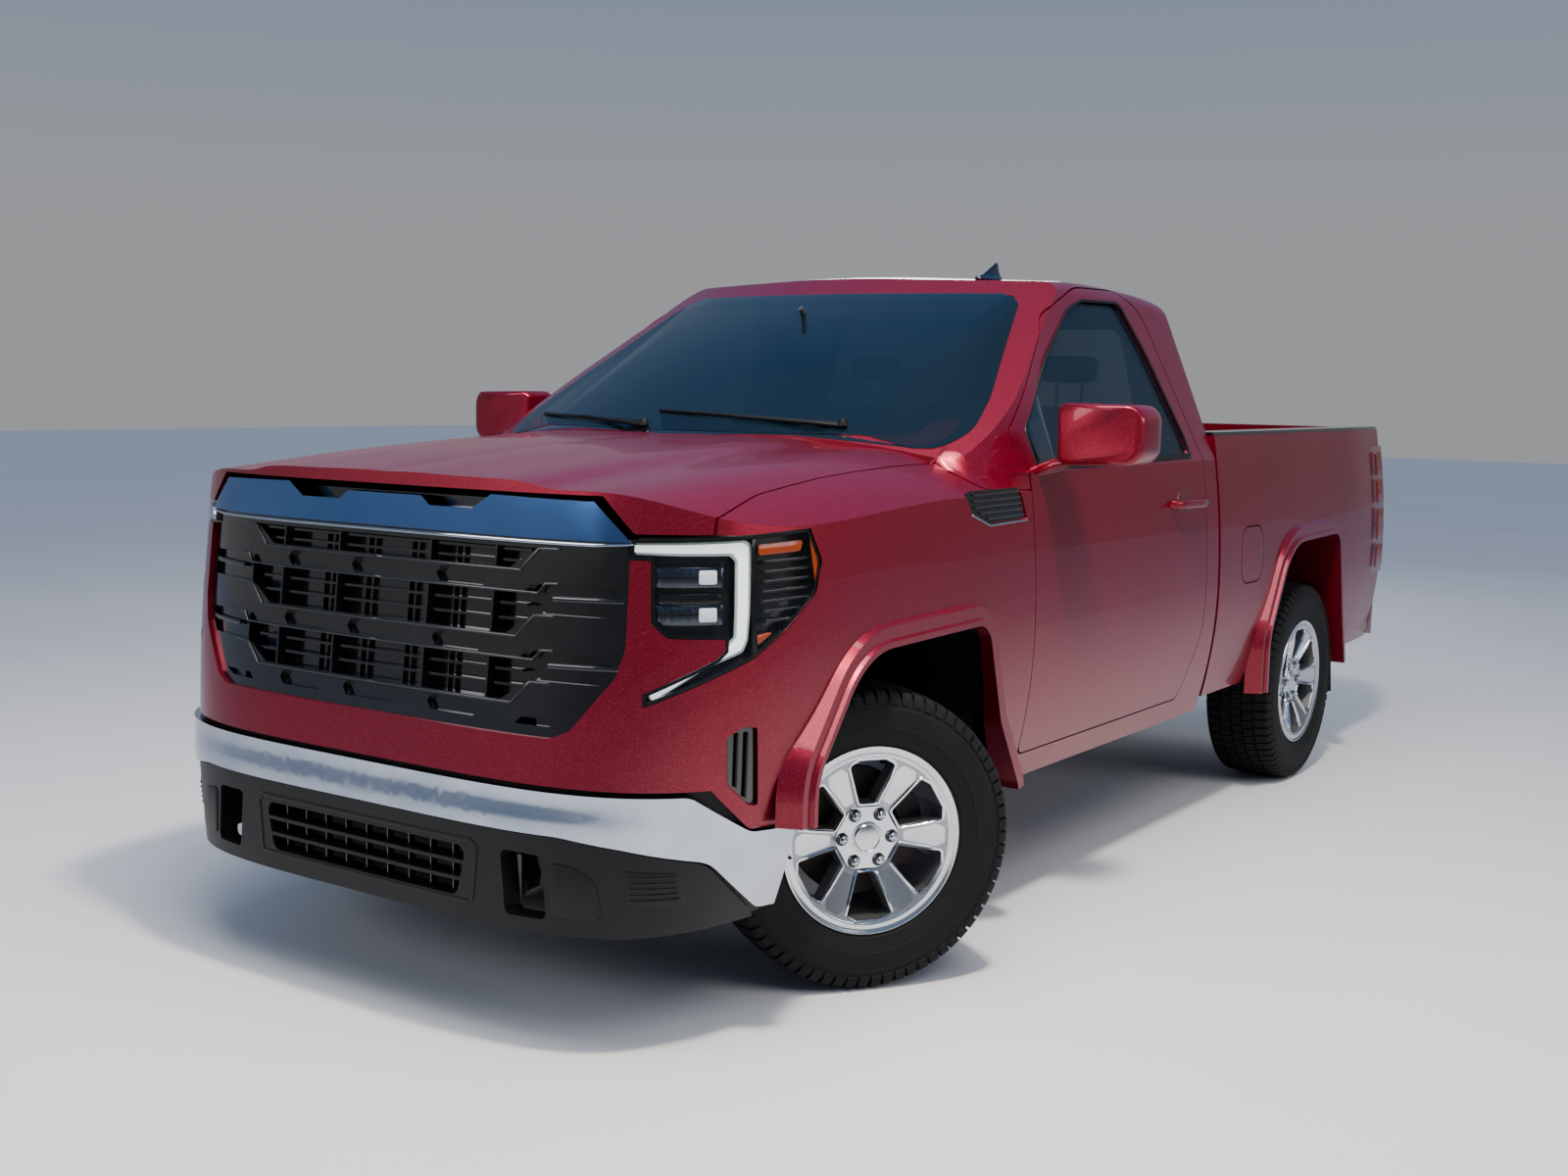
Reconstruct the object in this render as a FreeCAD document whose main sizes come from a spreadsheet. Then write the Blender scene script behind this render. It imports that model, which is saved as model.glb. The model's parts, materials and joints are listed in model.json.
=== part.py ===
"""Full-size pickup truck with a regular cab and a standard bed, in millimetres.

Frame: +X to the driver's (left) side, +Y to the tail, +Z up. The origin is on the ground, half-way
between the nose and the rear bumper. Stations along the truck are counted from the front axle.
"""
import FreeCAD, Part
import Sketcher
import math
import os
from types import SimpleNamespace
from FreeCAD import Placement, Rotation, Vector

# Driving dimensions, one group for each part of the truck
OVERALL = {
    "wheelbase": 3198,
    "front_overhang": 1003,
    "rear_overhang": 1180,
    "half_width": 1003,
    "widest_height": 880,
    "bumper_height": 540,
    "nose_power": 4.1,
    "nose_lean": 0.11,
    "seat_gap": 0.3,
    "running_gap": 5,
    "panel_gap": 4,
    "bumper_proud": 14,
}
BODY_SIDE = {
    "upper_tuck": 45,
    "upper_tuck_rise": 520,
    "lower_tuck": 62,
    "lower_tuck_drop": 450,
    "side_bottom": 425,
    "belt_height": 1330,
    "glass_lean": 0.406,
    "tail_taper": 22,
    "tail_taper_start": 3700,
    "panel_wall": 14,
}
CAB = {
    "firewall_station": 640,
    "cab_back_station": 2165,
    "cab_wall": 40,
    "cab_floor_height": 615,
    "floor_wall": 30,
    "rocker_bottom": 420,
    "tunnel_half": 180,
    "tunnel_top": 725,
    "tunnel_end": 1200,
    "roof_rail_half": 652,
    "roof_height": 1948,
    "roof_front_drop": 24,
    "roof_rear_drop": 36,
    "roof_peak_station": 1600,
    "roof_crown": 26,
    "roof_corner_radius": 92,
    "pillar_taper": 280,
    "pillar_taper_start": 700,
    "cowl_height": 1275,
    "windshield_base_station": 170,
    "windshield_base_height": 1385,
    "windshield_slope": 1.87,
    "windshield_bow": 0.00036,
    "windshield_half_base": 745,
    "windshield_half_top": 655,
    "windshield_bottom": 1432,
    "windshield_top": 1868,
    "rear_window_half_base": 690,
    "rear_window_half_top": 600,
    "rear_window_bottom": 1430,
    "rear_window_top": 1790,
    "glass_thickness": 6,
}
DOOR = {
    "door_front_station": 700,
    "door_rear_station": 2050,
    "door_bottom": 500,
    "door_thickness": 105,
    "door_skin": 24,
    "door_flange": 26,
    "frame_depth": 52,
    "door_glass_bottom": 1352,
    "hinge_length": 45,
    "hinge_thickness": 14,
    "hinge_lower_height": 620,
    "hinge_upper_height": 1020,
    "hinge_height": 44,
    "mirror_front_station": 712,
    "mirror_depth": 175,
    "mirror_bottom": 1352,
    "mirror_height": 182,
    "mirror_inner": 1028,
    "mirror_width": 262,
    "mirror_arm_height": 52,
}
HOOD = {
    "hood_height": 1410,
    "hood_drop": 90,
    "hood_rear_station": 250,
    "hood_crown": 14,
    "hood_crown_half": 650,
    "shoulder_drop": 105,
    "shoulder_width": 330,
    "hood_half_width": 822,
    "hood_wall": 22,
    "hood_front_height": 1229,
    "hood_corner_station": 390,
    "dome_rise": 13,
    "dome_half_width": 430,
    "dome_slope_width": 110,
    "hood_hinge_inner": 700,
    "hood_hinge_width": 60,
    "hood_hinge_length": 45,
}
ARCH = {
    "front_arch_front": 482,
    "front_arch_rear": 455,
    "front_arch_top": 922,
    "front_arch_foot": 122,
    "rear_arch_front": 498,
    "rear_arch_rear": 395,
    "rear_arch_top": 990,
    "rear_arch_foot": 62,
    "arch_bend_height": 640,
    "arch_foot_height": 440,
    "arch_front_corner": 212,
    "arch_rear_corner": 88,
    "flare_width": 88,
    "flare_crease": 52,
    "flare_stand": 24,
    "liner_wall": 8,
    "liner_inner": 560,
}
NOSE = {
    "fascia_bottom": 640,
    "fascia_wall": 22,
    "grille_top": 1208,
    "grille_bottom": 750,
    "grille_half_width": 738,
    "grille_low_half": 577,
    "grille_bars": 3,
    "grille_pitch": 155,
    "bar_height": 58,
    "bar_low": 1077,
    "pad_low": 1101,
    "pad_high": 1188,
    "pad_inner_half": 502,
    "slot_depth": 16,
    "grille_plate": 8,
    "grille_inset": 14,
    "grille_wall": 60,
    "trim_top": 1303,
    "trim_half_top": 646,
    "trim_notch_low": 1267,
    "hood_gap": 9,
    "bumper_top": 630,
    "bumper_wall": 26,
    "bumper_drop": 532,
    "valance_bottom": 292,
    "valance_proud": 4,
    "valance_wall": 30,
    "lamp_depth": 90,
    "vent_depth": 12,
    "fender_vent_depth": 8,
}
BED = {
    "bed_front_station": 2186,
    "bed_rear_station": 4262,
    "bed_rail_height": 1415,
    "bed_floor_top": 862,
    "bed_floor_wall": 32,
    "bed_inner_half": 907,
    "bed_rail_inner_half": 846,
    "bed_bottom": 470,
    "bed_headboard": 52,
    "bed_post_length": 64,
    "tailgate_inset": 12,
    "wheelhouse_inner_half": 643,
    "wheelhouse_wall": 9,
    "sill_count": 6,
    "tailgate_thickness": 62,
    "tailgate_half_width": 838,
    "tailgate_bottom": 846,
    "gate_pivot_station": 4280,
    "gate_pivot_height": 858,
    "gate_pin_radius": 10,
    "gate_pin_length": 22,
    "cap_height": 12,
    "lamp_bottom": 770,
    "lamp_top": 1340,
    "lamp_inboard": 112,
    "lamp_along": 150,
    "rear_bumper_bottom": 482,
    "rear_bumper_top": 718,
    "rear_bumper_wall": 48,
    "fuel_door_station": 2405,
    "fuel_door_length": 225,
    "fuel_door_bottom": 868,
    "fuel_door_height": 205,
    "fuel_door_wall": 10,
    "fuel_door_corner": 62,
    "fuel_cup_depth": 70,
}
CHASSIS = {
    "rail_inner": 400,
    "rail_width": 76,
    "rail_height": 150,
    "rail_bottom": 440,
    "rail_kick": 120,
    "rail_step": 75,
    "kick_start": 2560,
    "kick_end": 3820,
    "rail_rear_station": 4180,
    "crossmember_size": 52,
    "engine_width": 620,
    "engine_length": 740,
    "engine_height": 600,
    "engine_front_station": -260,
    "engine_bottom": 540,
    "gearbox_radius": 165,
    "gearbox_length": 640,
    "shaft_radius": 48,
    "shaft_height": 478,
    "axle_tube_radius": 46,
    "differential_radius": 148,
    "spring_offset": 528,
    "spring_width": 64,
    "spring_thickness": 34,
    "spring_front": 640,
    "spring_rear": 740,
    "pipe_radius": 34,
    "muffler_radius": 105,
    "tank_length": 880,
    "tank_width": 300,
    "tank_height": 205,
    "tank_front_station": 1330,
    "spare_radius": 372,
    "spare_width": 190,
    "spare_station": 3728,
    "spare_bottom": 440,
    "receiver_inner": 51,
    "receiver_wall": 7,
    "receiver_depth": 180,
    "receiver_height": 440,
}
WHEEL = {
    "tyre_radius": 401,
    "tyre_width": 265,
    "track": 1730,
    "rim_radius": 246,
    "bead_radius": 230,
    "barrel_radius": 214,
    "rim_width": 228,
    "hub_bore_radius": 39,
    "hub_cap_radius": 47,
    "mount_offset": 27,
    "spoke_depth": 34,
    "window_inner": 92,
    "window_outer": 212,
    "lug_count": 6,
    "brake_radius": 172,
    "brake_width": 28,
    "caliper_width": 74,
    "hub_radius": 74,
    "kingpin_half": 800,
    "kingpin_radius": 22,
    "ball_joint_height": 150,
    "steered_angle": 35,
}
CABIN = {
    "seat_front_station": 1290,
    "seat_length": 560,
    "seat_half_width": 760,
    "seat_cushion_top": 960,
    "seat_back_top": 1560,
    "seat_back_thickness": 140,
    "dash_station": 905,
    "dash_top": 1310,
    "dash_bottom": 930,
    "steering_x": 400,
    "steering_station": 1020,
    "steering_height": 1130,
    "steering_tilt": 24,
    "steering_radius": 188,
    "steering_tube": 14,
    "column_radius": 20,
    "column_length": 190,
    "boss_depth": 40,
    "shroud_radius": 36,
    "shroud_gap": 12,
    "headrest_half_width": 120,
    "headrest_height": 150,
    "headrest_x": 420,
}
GROUPS = (OVERALL, BODY_SIDE, CAB, DOOR, HOOD, ARCH, NOSE, BED, CHASSIS, WHEEL, CABIN)

doc = FreeCAD.newDocument("PickupTruck")
sheet = doc.addObject("Spreadsheet::Sheet", "Sizes")
row = 0
for group in GROUPS:
    for alias, value in group.items():
        row += 1
        sheet.set(f"A{row}", alias)
        sheet.set(f"B{row}", str(value))
        sheet.setAlias(f"B{row}", alias)
doc.recompute()
size = SimpleNamespace(**{alias: float(sheet.get(alias)) for group in GROUPS for alias in group})

NODES = []
FAR = 6000.0
LEFT = 1
RIGHT = -1
SIDES = {"left": LEFT, "right": RIGHT}
FRONT_AXLE = -(size.wheelbase + size.rear_overhang - size.front_overhang) / 2
FRONT_AXLE_TEXT = "(-(Sizes.wheelbase + Sizes.rear_overhang - Sizes.front_overhang) / 2)"
REAR_AXLE = FRONT_AXLE + size.wheelbase
AXLE_HEIGHT = size.tyre_radius


# Helpers for outlines and solids

def station(distance):
    """Y of a point that lies this far behind the front axle."""
    return FRONT_AXLE + distance


def outline(points):
    """Closed planar wire in XY; a point's third number is the radius of its corner."""
    corners = [Vector(p[0], p[1], 0) for p in points]
    radii = [p[2] if len(p) > 2 else 0 for p in points]
    edges = []
    starts = []
    ends = []
    arcs = []
    count = len(corners)
    for i in range(count):
        here = corners[i]
        to_last = (corners[i - 1] - here).normalize()
        to_next = (corners[(i + 1) % count] - here).normalize()
        if radii[i] <= 0:
            starts.append(here)
            ends.append(here)
            arcs.append(None)
            continue
        half_angle = to_last.getAngle(to_next) / 2
        reach = radii[i] / math.tan(half_angle)
        middle_way = (to_last + to_next).normalize()
        centre = here + middle_way * (radii[i] / math.sin(half_angle))
        starts.append(here + to_last * reach)
        ends.append(here + to_next * reach)
        arcs.append(centre + (here - centre).normalize() * radii[i])
    for i in range(count):
        if arcs[i] is not None:
            edges.append(Part.Arc(starts[i], arcs[i], ends[i]).toShape())
        after = starts[(i + 1) % count]
        if (after - ends[i]).Length > 1e-6:
            edges.append(Part.makeLine(ends[i], after))
    return Part.Wire(edges)


PLANE_TURNS = {
    "side": Rotation(Vector(0, 1, 0), Vector(0, 0, 1), Vector(1, 0, 0), "XYZ"),
    "front": Rotation(Vector(1, 0, 0), Vector(0, 0, 1), Vector(0, -1, 0), "XYZ"),
    "plan": Rotation(),
    "corner": Rotation(Vector(1, 1, 0), Vector(0, 0, 1), Vector(1, -1, 0), "XYZ"),
}


def prism(plane, points, low, high):
    """Solid between two planes across the plane's normal (+X side, -Y front, +Z plan)."""
    face = Part.Face(outline(points))
    solid = face.extrude(Vector(0, 0, high - low))
    solid.Placement = Placement(Vector(), PLANE_TURNS[plane]).multiply(Placement(Vector(0, 0, low), Rotation()))
    return solid.copy()


def side_prism(points, low, high):
    """Outline of (station, height) points, between two values of X."""
    return prism("side", [(station(p[0]),) + tuple(p[1:]) for p in points], low, high)


def front_prism(points, near, far):
    """Outline of (x, height) points, between two stations, the nearer the nose first."""
    return prism("front", points, -station(far), -station(near))


def corner_prism(points):
    """Outline of (w, height) points through the left front corner; w = (x + station) / sqrt(2)."""
    shift = FRONT_AXLE / math.sqrt(2)
    return prism("corner", [(p[0] + shift,) + tuple(p[1:]) for p in points], -FAR, FAR)


def block(x_low, x_high, y_low, y_high, z_low, z_high):
    return Part.makeBox(x_high - x_low, y_high - y_low, z_high - z_low, Vector(x_low, y_low, z_low))


def mirrored(shape):
    return shape.mirror(Vector(), Vector(1, 0, 0))


def both_sides(shape):
    """The left piece and its mirror image, as two solids."""
    return Part.makeCompound(shape.Solids + mirrored(shape).Solids)


def whole(shape):
    """One solid from the left half and its mirror image, which meet on the middle plane."""
    return shape.fuse(mirrored(shape)).removeSplitter()


def grid_face(rows):
    """Smooth face through a grid of points."""
    surface = Part.BSplineSurface()
    surface.interpolate(rows)
    return surface.toShape()


def steps(low, high, count):
    return [low + (high - low) * i / (count - 1) for i in range(count)]


def add_node(label, shape):
    """Sub-part whose form is worked out from the sheet's sizes by the functions above."""
    item = doc.addObject("Part::Feature", label)
    item.Label = label
    item.Shape = shape
    NODES.append(item)
    return item


# Form of the body: plan curve of the nose, tuck of the sides, hood and windshield

def side_inset(height):
    """How far the side lies inside its widest line at this height."""
    if height > size.widest_height:
        return size.upper_tuck * ((height - size.widest_height) / size.upper_tuck_rise) ** 2
    return size.lower_tuck * ((size.widest_height - height) / size.lower_tuck_drop) ** 2


def side_x(height):
    return size.half_width - side_inset(height)


def nose_point(angle):
    """Plan point and outward normal of the nose; 0 degrees is the side at the front axle."""
    c = math.cos(math.radians(angle))
    s = math.sin(math.radians(angle))
    power = size.nose_power
    nose_depth = size.front_overhang - size.bumper_proud
    reach = (abs(c / size.half_width) ** power + abs(s / nose_depth) ** power) ** (-1 / power)
    x = reach * c
    y = -reach * s
    normal_x = math.copysign(abs(x / size.half_width) ** (power - 1) / size.half_width, c)
    normal_y = -abs(y / nose_depth) ** (power - 1) / nose_depth
    normal = Vector(normal_x, normal_y, 0).normalize()
    return Vector(x, y, 0), normal


def nose_lean_inset(height):
    return size.nose_lean * max(0.0, height - size.bumper_height)


def front_skin_point(angle, height, inset):
    point, normal = nose_point(angle)
    ahead = normal.y ** 2
    depth = ahead * nose_lean_inset(height) + (1 - ahead) * side_inset(height) + inset
    place = point - normal * depth
    return Vector(place.x, FRONT_AXLE + place.y, height)


def front_skin_face(inset, low, high, rear):
    """Left half of the skin from just past the middle of the nose back to a station."""
    heights = steps(low - 20, high + 20, 11)
    rows = [[front_skin_point(angle, height, inset) for height in heights] for angle in steps(96, 0, 13)]
    for distance in steps(0, rear + 60, 6)[1:]:
        rows.append([Vector(side_x(h) - inset, station(distance), h) for h in heights])
    return grid_face(rows)


def front_skin_solid(inset, low, high, rear):
    """Left half of the nose, filled to the middle plane and to a station."""
    body = front_skin_face(inset, low, high, rear).extrude(Vector(-3000, 3000, 0))
    return body.common(block(0, 1200, station(-1100), station(rear), low, high))


def hood_z(x, distance):
    """Height of the hood and fender tops."""
    run = max(0.0, (size.hood_rear_station - distance) / (size.hood_rear_station + size.front_overhang))
    middle = size.hood_height - size.hood_drop * run ** 1.5
    crown = size.hood_crown * (x / size.hood_crown_half) ** 2
    past = max(0.0, abs(x) - size.hood_crown_half) / size.shoulder_width
    off_dome = min(1.0, max(0.0, abs(x) - size.dome_half_width) / size.dome_slope_width)
    dome = size.dome_rise * (1 - off_dome ** 2 * (3 - 2 * off_dome))
    return middle - crown - size.shoulder_drop * past ** 2 + dome


def top_solid(inset):
    """All that lies below the hood's surface, less an inset."""
    flank = size.dome_half_width + size.dome_slope_width
    xs = steps(-200, size.dome_half_width, 6) + steps(size.dome_half_width, flank, 4)[1:] + steps(flank, 1100, 9)[1:]
    distances = steps(-1150, 900, 10)
    rows = [[Vector(x, station(d), hood_z(x, d) - inset) for d in distances] for x in xs]
    body = grid_face(rows).extrude(Vector(0, 0, -1500))
    return body


def windshield_y(x, height):
    """Outer face of the windshield."""
    rise = height - size.windshield_base_height
    return station(size.windshield_base_station + rise * size.windshield_slope + size.windshield_bow * x * x)


def ahead_of_windshield(shift):
    """All that lies ahead of the windshield's face, moved rearwards by a shift."""
    xs = steps(-1200, 1200, 9)
    heights = (1150, 2150)
    rows = [[Vector(x, windshield_y(x, h) + shift, h) for h in heights] for x in xs]
    return grid_face(rows).extrude(Vector(0, -3000, 0))


def arch_outline(front, rear, top, foot):
    """Wheel arch opening about its axle, as (distance, height) points with corner radii."""
    low = size.arch_foot_height - 240
    return [
        (-front - 6, low),
        (-front, size.arch_bend_height, 160),
        (-front + size.arch_front_corner, top - 5, 250),
        (rear - size.arch_rear_corner, top + 6, 78),
        (rear, size.arch_bend_height, 160),
        (rear + foot, size.arch_foot_height, 60),
        (rear + foot + 30, low),
    ]


def spread(points, grow):
    """Outline moved outwards by a distance, with the same number of corners."""
    result = []
    count = len(points)
    for i in range(count):
        before = Vector(points[i - 1][0], points[i - 1][1], 0)
        here = Vector(points[i][0], points[i][1], 0)
        after = Vector(points[(i + 1) % count][0], points[(i + 1) % count][1], 0)
        first = (here - before).normalize()
        second = (after - here).normalize()
        first_out = Vector(-first.y, first.x, 0)
        second_out = Vector(-second.y, second.x, 0)
        middle = (first_out + second_out).normalize()
        place = here + middle * (grow / middle.dot(first_out))
        turns_in = first.cross(second).z < 0
        radius = points[i][2] if len(points[i]) > 2 else 0
        if radius:
            radius = radius + grow if turns_in else max(radius - grow, 10)
            result.append((place.x, place.y, radius))
        else:
            result.append((place.x, place.y))
    return result


def arch_prism(axle, arch, grow, low, high):
    shifted = [(axle + p[0],) + tuple(p[1:]) for p in spread(arch_outline(*arch), grow)]
    return side_prism(shifted, low, high)


def front_arch_sizes():
    return size.front_arch_front, size.front_arch_rear, size.front_arch_top, size.front_arch_foot


def rear_arch_sizes():
    return size.rear_arch_front, size.rear_arch_rear, size.rear_arch_top, size.rear_arch_foot


def front_arch(grow, low, high):
    return arch_prism(0, front_arch_sizes(), grow, low, high)


def rear_arch(grow, low, high):
    return arch_prism(size.wheelbase, rear_arch_sizes(), grow, low, high)


def flare(axle, arch):
    """Raised lip round an arch: a sloping band outside a crease, and a flatter one inside it."""
    def ring(grow, x):
        points = [(station(axle + p[0]),) + tuple(p[1:]) for p in spread(arch_outline(*arch), grow)]
        wire = outline(points)
        wire.Placement = Placement(Vector(x, 0, 0), PLANE_TURNS["side"])
        return wire
    root = size.half_width - 40
    outer = size.half_width + size.flare_stand
    crease = size.half_width + size.flare_stand * 0.6
    band = Part.makeLoft([ring(size.flare_width, root), ring(size.flare_crease, crease)], True)
    lip = Part.makeLoft([ring(size.flare_crease, root), ring(size.flare_crease * 0.3, outer)], True)
    body = band.fuse(lip).cut(arch_prism(axle, arch, 0, 0, FAR))
    return body.common(block(0, FAR, -FAR, FAR, size.side_bottom, FAR))


def side_section(inset, low, high):
    """Points of the body side's outer line, bottom first, as (x, z)."""
    return [(side_x(h) - inset, h) for h in (low, (low + size.widest_height) / 2, size.widest_height)] + [
        (side_x(h) - inset, h) for h in ((size.widest_height + high) / 2, high)]


def side_solid(inset, low, high, front, rear):
    """Left side of the body between two stations, filled to the middle plane."""
    points = [Vector(x, 0, z) for x, z in side_section(inset, low, high)]
    lower = Part.Arc(points[0], points[1], points[2]).toShape()
    upper = Part.Arc(points[2], points[3], points[4]).toShape()
    corner_top = Vector(0, 0, high)
    corner_low = Vector(0, 0, low)
    wire = Part.Wire([
        lower, upper, Part.makeLine(points[4], corner_top),
        Part.makeLine(corner_top, corner_low), Part.makeLine(corner_low, points[0])])
    body = Part.Face(wire).extrude(Vector(0, rear - front, 0))
    body.translate(Vector(0, station(front), 0))
    return body


def tail_skin_solid(inset, low, high, front, rear):
    """Left side of the bed, which narrows a little towards the tail."""
    heights = steps(low - 20, high + 20, 9)
    rows = []
    for distance in steps(front - 60, rear + 120, 12):
        past = max(0.0, distance - size.tail_taper_start) / (size.bed_rear_station - size.tail_taper_start)
        taper = size.tail_taper * past ** 2
        rows.append([Vector(side_x(h) - taper - inset, station(distance), h) for h in heights])
    body = grid_face(rows).extrude(Vector(-2000, 0, 0))
    return body.common(block(0, 1200, station(front), station(rear), low, high))


def greenhouse(inset, floor):
    """Upper cab from belt to roof, filled, behind the windshield's face."""
    wires = []
    for distance in (100, 300, 500, 700, 1000, 1300, size.roof_peak_station, 1900, size.cab_back_station):
        if distance < size.roof_peak_station:
            fall = size.roof_front_drop * ((size.roof_peak_station - distance) / 500) ** 2
            fall = min(fall, size.roof_front_drop * 1.4)
        else:
            reach = size.cab_back_station - size.roof_peak_station
            fall = size.roof_rear_drop * ((distance - size.roof_peak_station) / reach) ** 2
        top = size.roof_height - fall - inset
        edge_top = top - size.roof_crown
        ahead = max(0.0, size.pillar_taper_start - distance) / size.pillar_taper_start
        belt_x = side_x(size.belt_height) - inset - size.pillar_taper * ahead ** 1.5
        lean_x = belt_x - size.glass_lean * (edge_top - size.belt_height)
        low_x = belt_x + size.glass_lean * (size.belt_height - floor)
        radius = size.roof_corner_radius
        points = [(-low_x, floor), (low_x, floor), (lean_x, edge_top, radius), (0, top + size.roof_crown * 0.2, 5000),
                  (-lean_x, edge_top, radius)]
        wire = outline(points)
        wire.Placement = Placement(Vector(0, station(distance), 0), PLANE_TURNS["front"])
        wires.append(wire)
    return Part.makeLoft(wires, True)


def door_outline(grow):
    """Door seen from the side, as (station, height) points with corner radii."""
    front = size.door_front_station
    rear = size.door_rear_station
    low = size.door_bottom
    return [
        (front - grow, low - grow, 30),
        (front - grow, size.belt_height + 12, 40),
        (front - 42 - grow, size.belt_height + 62 , 20),
        (front - 42 - grow, size.belt_height + 118 + grow, 20),
        (1190, 1822 + grow, 500),
        (1450, 1902 + grow, 500),
        (1790, 1908 + grow, 90 + grow),
        (1925 + grow, 1840 + grow, 120 + grow),
        (rear + grow, size.belt_height, 200),
        (rear + grow, 740, 200),
        (rear - 115 + grow, 520, 60),
        (rear - 140 + grow, low - grow, 40),
    ]


def glass_outline(grow):
    front = size.door_front_station + 48
    bottom = size.door_glass_bottom
    return [
        (front - grow, bottom - grow, 25),
        (front - grow, bottom + 100, 30),
        (1050, 1668 + grow, 250),
        (1330, 1828 + grow, 160),
        (1460, 1862 + grow, 300),
        (1760, 1866 + grow, 70 + grow),
        (1850 + grow, 1700, 300),
        (1945 + grow, bottom + 60, 60),
        (1945 + grow, bottom - grow, 20),
    ]


def hood_plan(grow):
    """Left half of the hood in plan, rear corner last, as (x, y) points."""
    side = size.hood_half_width + grow
    rear = size.hood_corner_station + grow
    return [
        (-5, station(-1200)), (900 + grow, station(-1200)), (884 + grow, station(-700), 60), (side + 18, station(-500), 400),
        (side, station(-200), 400), (side - 4, station(rear)), (-5, station(rear - 190))]


def hood_region(grow):
    return prism("plan", hood_plan(grow), size.hood_front_height - grow, 1600)


# Chassis

def bound_box(label, lengths, corner):
    """Box whose sizes and place are expressions of the sheet."""
    item = doc.addObject("Part::Box", label)
    for name, text in zip(("Length", "Width", "Height"), lengths):
        item.setExpression(name, text)
    for name, text in zip("xyz", corner):
        item.setExpression(f"Placement.Base.{name}", text)
    return item


def bound_cylinder(label, radius, height, base, axis):
    """Cylinder whose sizes and place are expressions of the sheet."""
    item = doc.addObject("Part::Cylinder", label)
    item.Placement = Placement(Vector(), Rotation(Vector(0, 0, 1), axis))
    item.setExpression("Radius", radius)
    item.setExpression("Height", height)
    for name, text in zip("xyz", base):
        item.setExpression(f"Placement.Base.{name}", text)
    return item


def fusion(label, items):
    item = doc.addObject("Part::MultiFuse", label)
    item.Shapes = items
    item.Label = label
    return item


def nose_y_at(x, inset, height):
    """Y of the nose's skin at this X, by halving."""
    low = 40.0
    high = 100.0
    for _ in range(40):
        middle = (low + high) / 2
        if front_skin_point(middle, height, inset).x > x:
            low = middle
        else:
            high = middle
    return front_skin_point(low, height, inset).y


def frame_shape():
    outer = size.rail_inner + size.rail_width
    nose = nose_y_at(outer, size.bumper_wall - size.bumper_proud, size.rail_bottom + size.rail_height) + size.seat_gap
    front = nose - FRONT_AXLE
    low = size.rail_bottom
    high = low + size.rail_height
    kick = size.rail_kick
    rear = size.wheelbase + size.rear_overhang - size.rear_bumper_wall - size.seat_gap
    engine_seat = size.engine_bottom - size.seat_gap
    step_station = front + size.rail_step
    step_height = size.bumper_drop + size.running_gap
    points = [
        (front, step_height), (step_station, step_height), (step_station, low),
        (size.kick_start - 260, low, 200), (size.kick_start, low + kick, 200),
        (size.kick_end, low + kick, 200), (size.kick_end + 120, low + kick - 40, 100),
        (rear, low + kick - 40),
        (rear, high + kick - 40), (size.kick_end + 120, high + kick - 40, 100),
        (size.kick_end, high + kick, 200), (size.kick_start, high + kick, 200),
        (size.kick_start - 260, high, 200), (front, high)]
    rail = side_prism(points, size.rail_inner, outer)
    half = rail
    bar = size.crossmember_size
    for distance, top in ((-840, high), (-240, engine_seat), (300, engine_seat), (1290, high), (2230, high),
                          (size.kick_start + 80, high + kick), (size.kick_end - 480, high + kick),
                          (size.spare_station - bar / 2, high + kick),
                          (size.rail_rear_station - bar, high + kick - 40)):
        half = half.fuse(block(0, size.rail_inner, station(distance), station(distance + bar), top - bar, top))
    receiver_outer = size.receiver_inner / 2 + size.receiver_wall
    tail = station(size.rail_rear_station)
    low_z = size.receiver_height - receiver_outer
    socket = block(0, receiver_outer, tail - 60, tail + size.receiver_depth - 60, low_z, low_z + 2 * receiver_outer)
    hanger = block(0, 60, tail - bar, tail, low_z, high + kick - 40 - 1)
    half = half.fuse(hanger).fuse(socket)
    mouth = size.receiver_inner / 2
    half = half.cut(block(-1, mouth, tail, tail + 400, size.receiver_height - mouth, size.receiver_height + mouth))
    return whole(half)


add_node("frame", frame_shape())


def engine_item():
    """Engine with its gearbox housing: one closed mass."""
    item = bound_box(
        "engine", ("Sizes.engine_width", "Sizes.engine_length", "Sizes.engine_height"),
        ("-Sizes.engine_width / 2", f"{FRONT_AXLE_TEXT} + Sizes.engine_front_station", "Sizes.engine_bottom"))
    item.Label = "engine"
    NODES.append(item)


engine_item()


def driveline_shape():
    start = size.engine_front_station + size.engine_length + size.seat_gap
    axis = Vector(0, 1, 0)
    case = Part.makeCone(
        size.gearbox_radius, size.gearbox_radius * 0.55, size.gearbox_length,
        Vector(0, station(start), size.shaft_height + 60), axis)
    box_end = start + size.gearbox_length
    length = size.wheelbase - size.differential_radius - size.seat_gap - box_end + 10
    shaft = Part.makeCylinder(size.shaft_radius, length, Vector(0, station(box_end - 10), size.shaft_height), axis)
    return case.fuse(shaft)


add_node("driveline", driveline_shape())


def caliper(side, disc_out, axle_y):
    """Brake caliper that grips the disc behind the axle."""
    reach = size.brake_radius + 14
    centre_x = side * (disc_out - size.brake_width / 2)
    half = size.caliper_width / 2
    sector = Part.makeCylinder(reach, 2 * half, Vector(centre_x - half, axle_y, AXLE_HEIGHT), Vector(1, 0, 0))
    sector = sector.cut(Part.makeCylinder(size.brake_radius - 52, 2 * half, Vector(centre_x - half, axle_y, AXLE_HEIGHT), Vector(1, 0, 0)))
    return sector.common(block(-FAR, FAR, axle_y + 60, axle_y + FAR, AXLE_HEIGHT - 95, AXLE_HEIGHT + 95))


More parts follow.
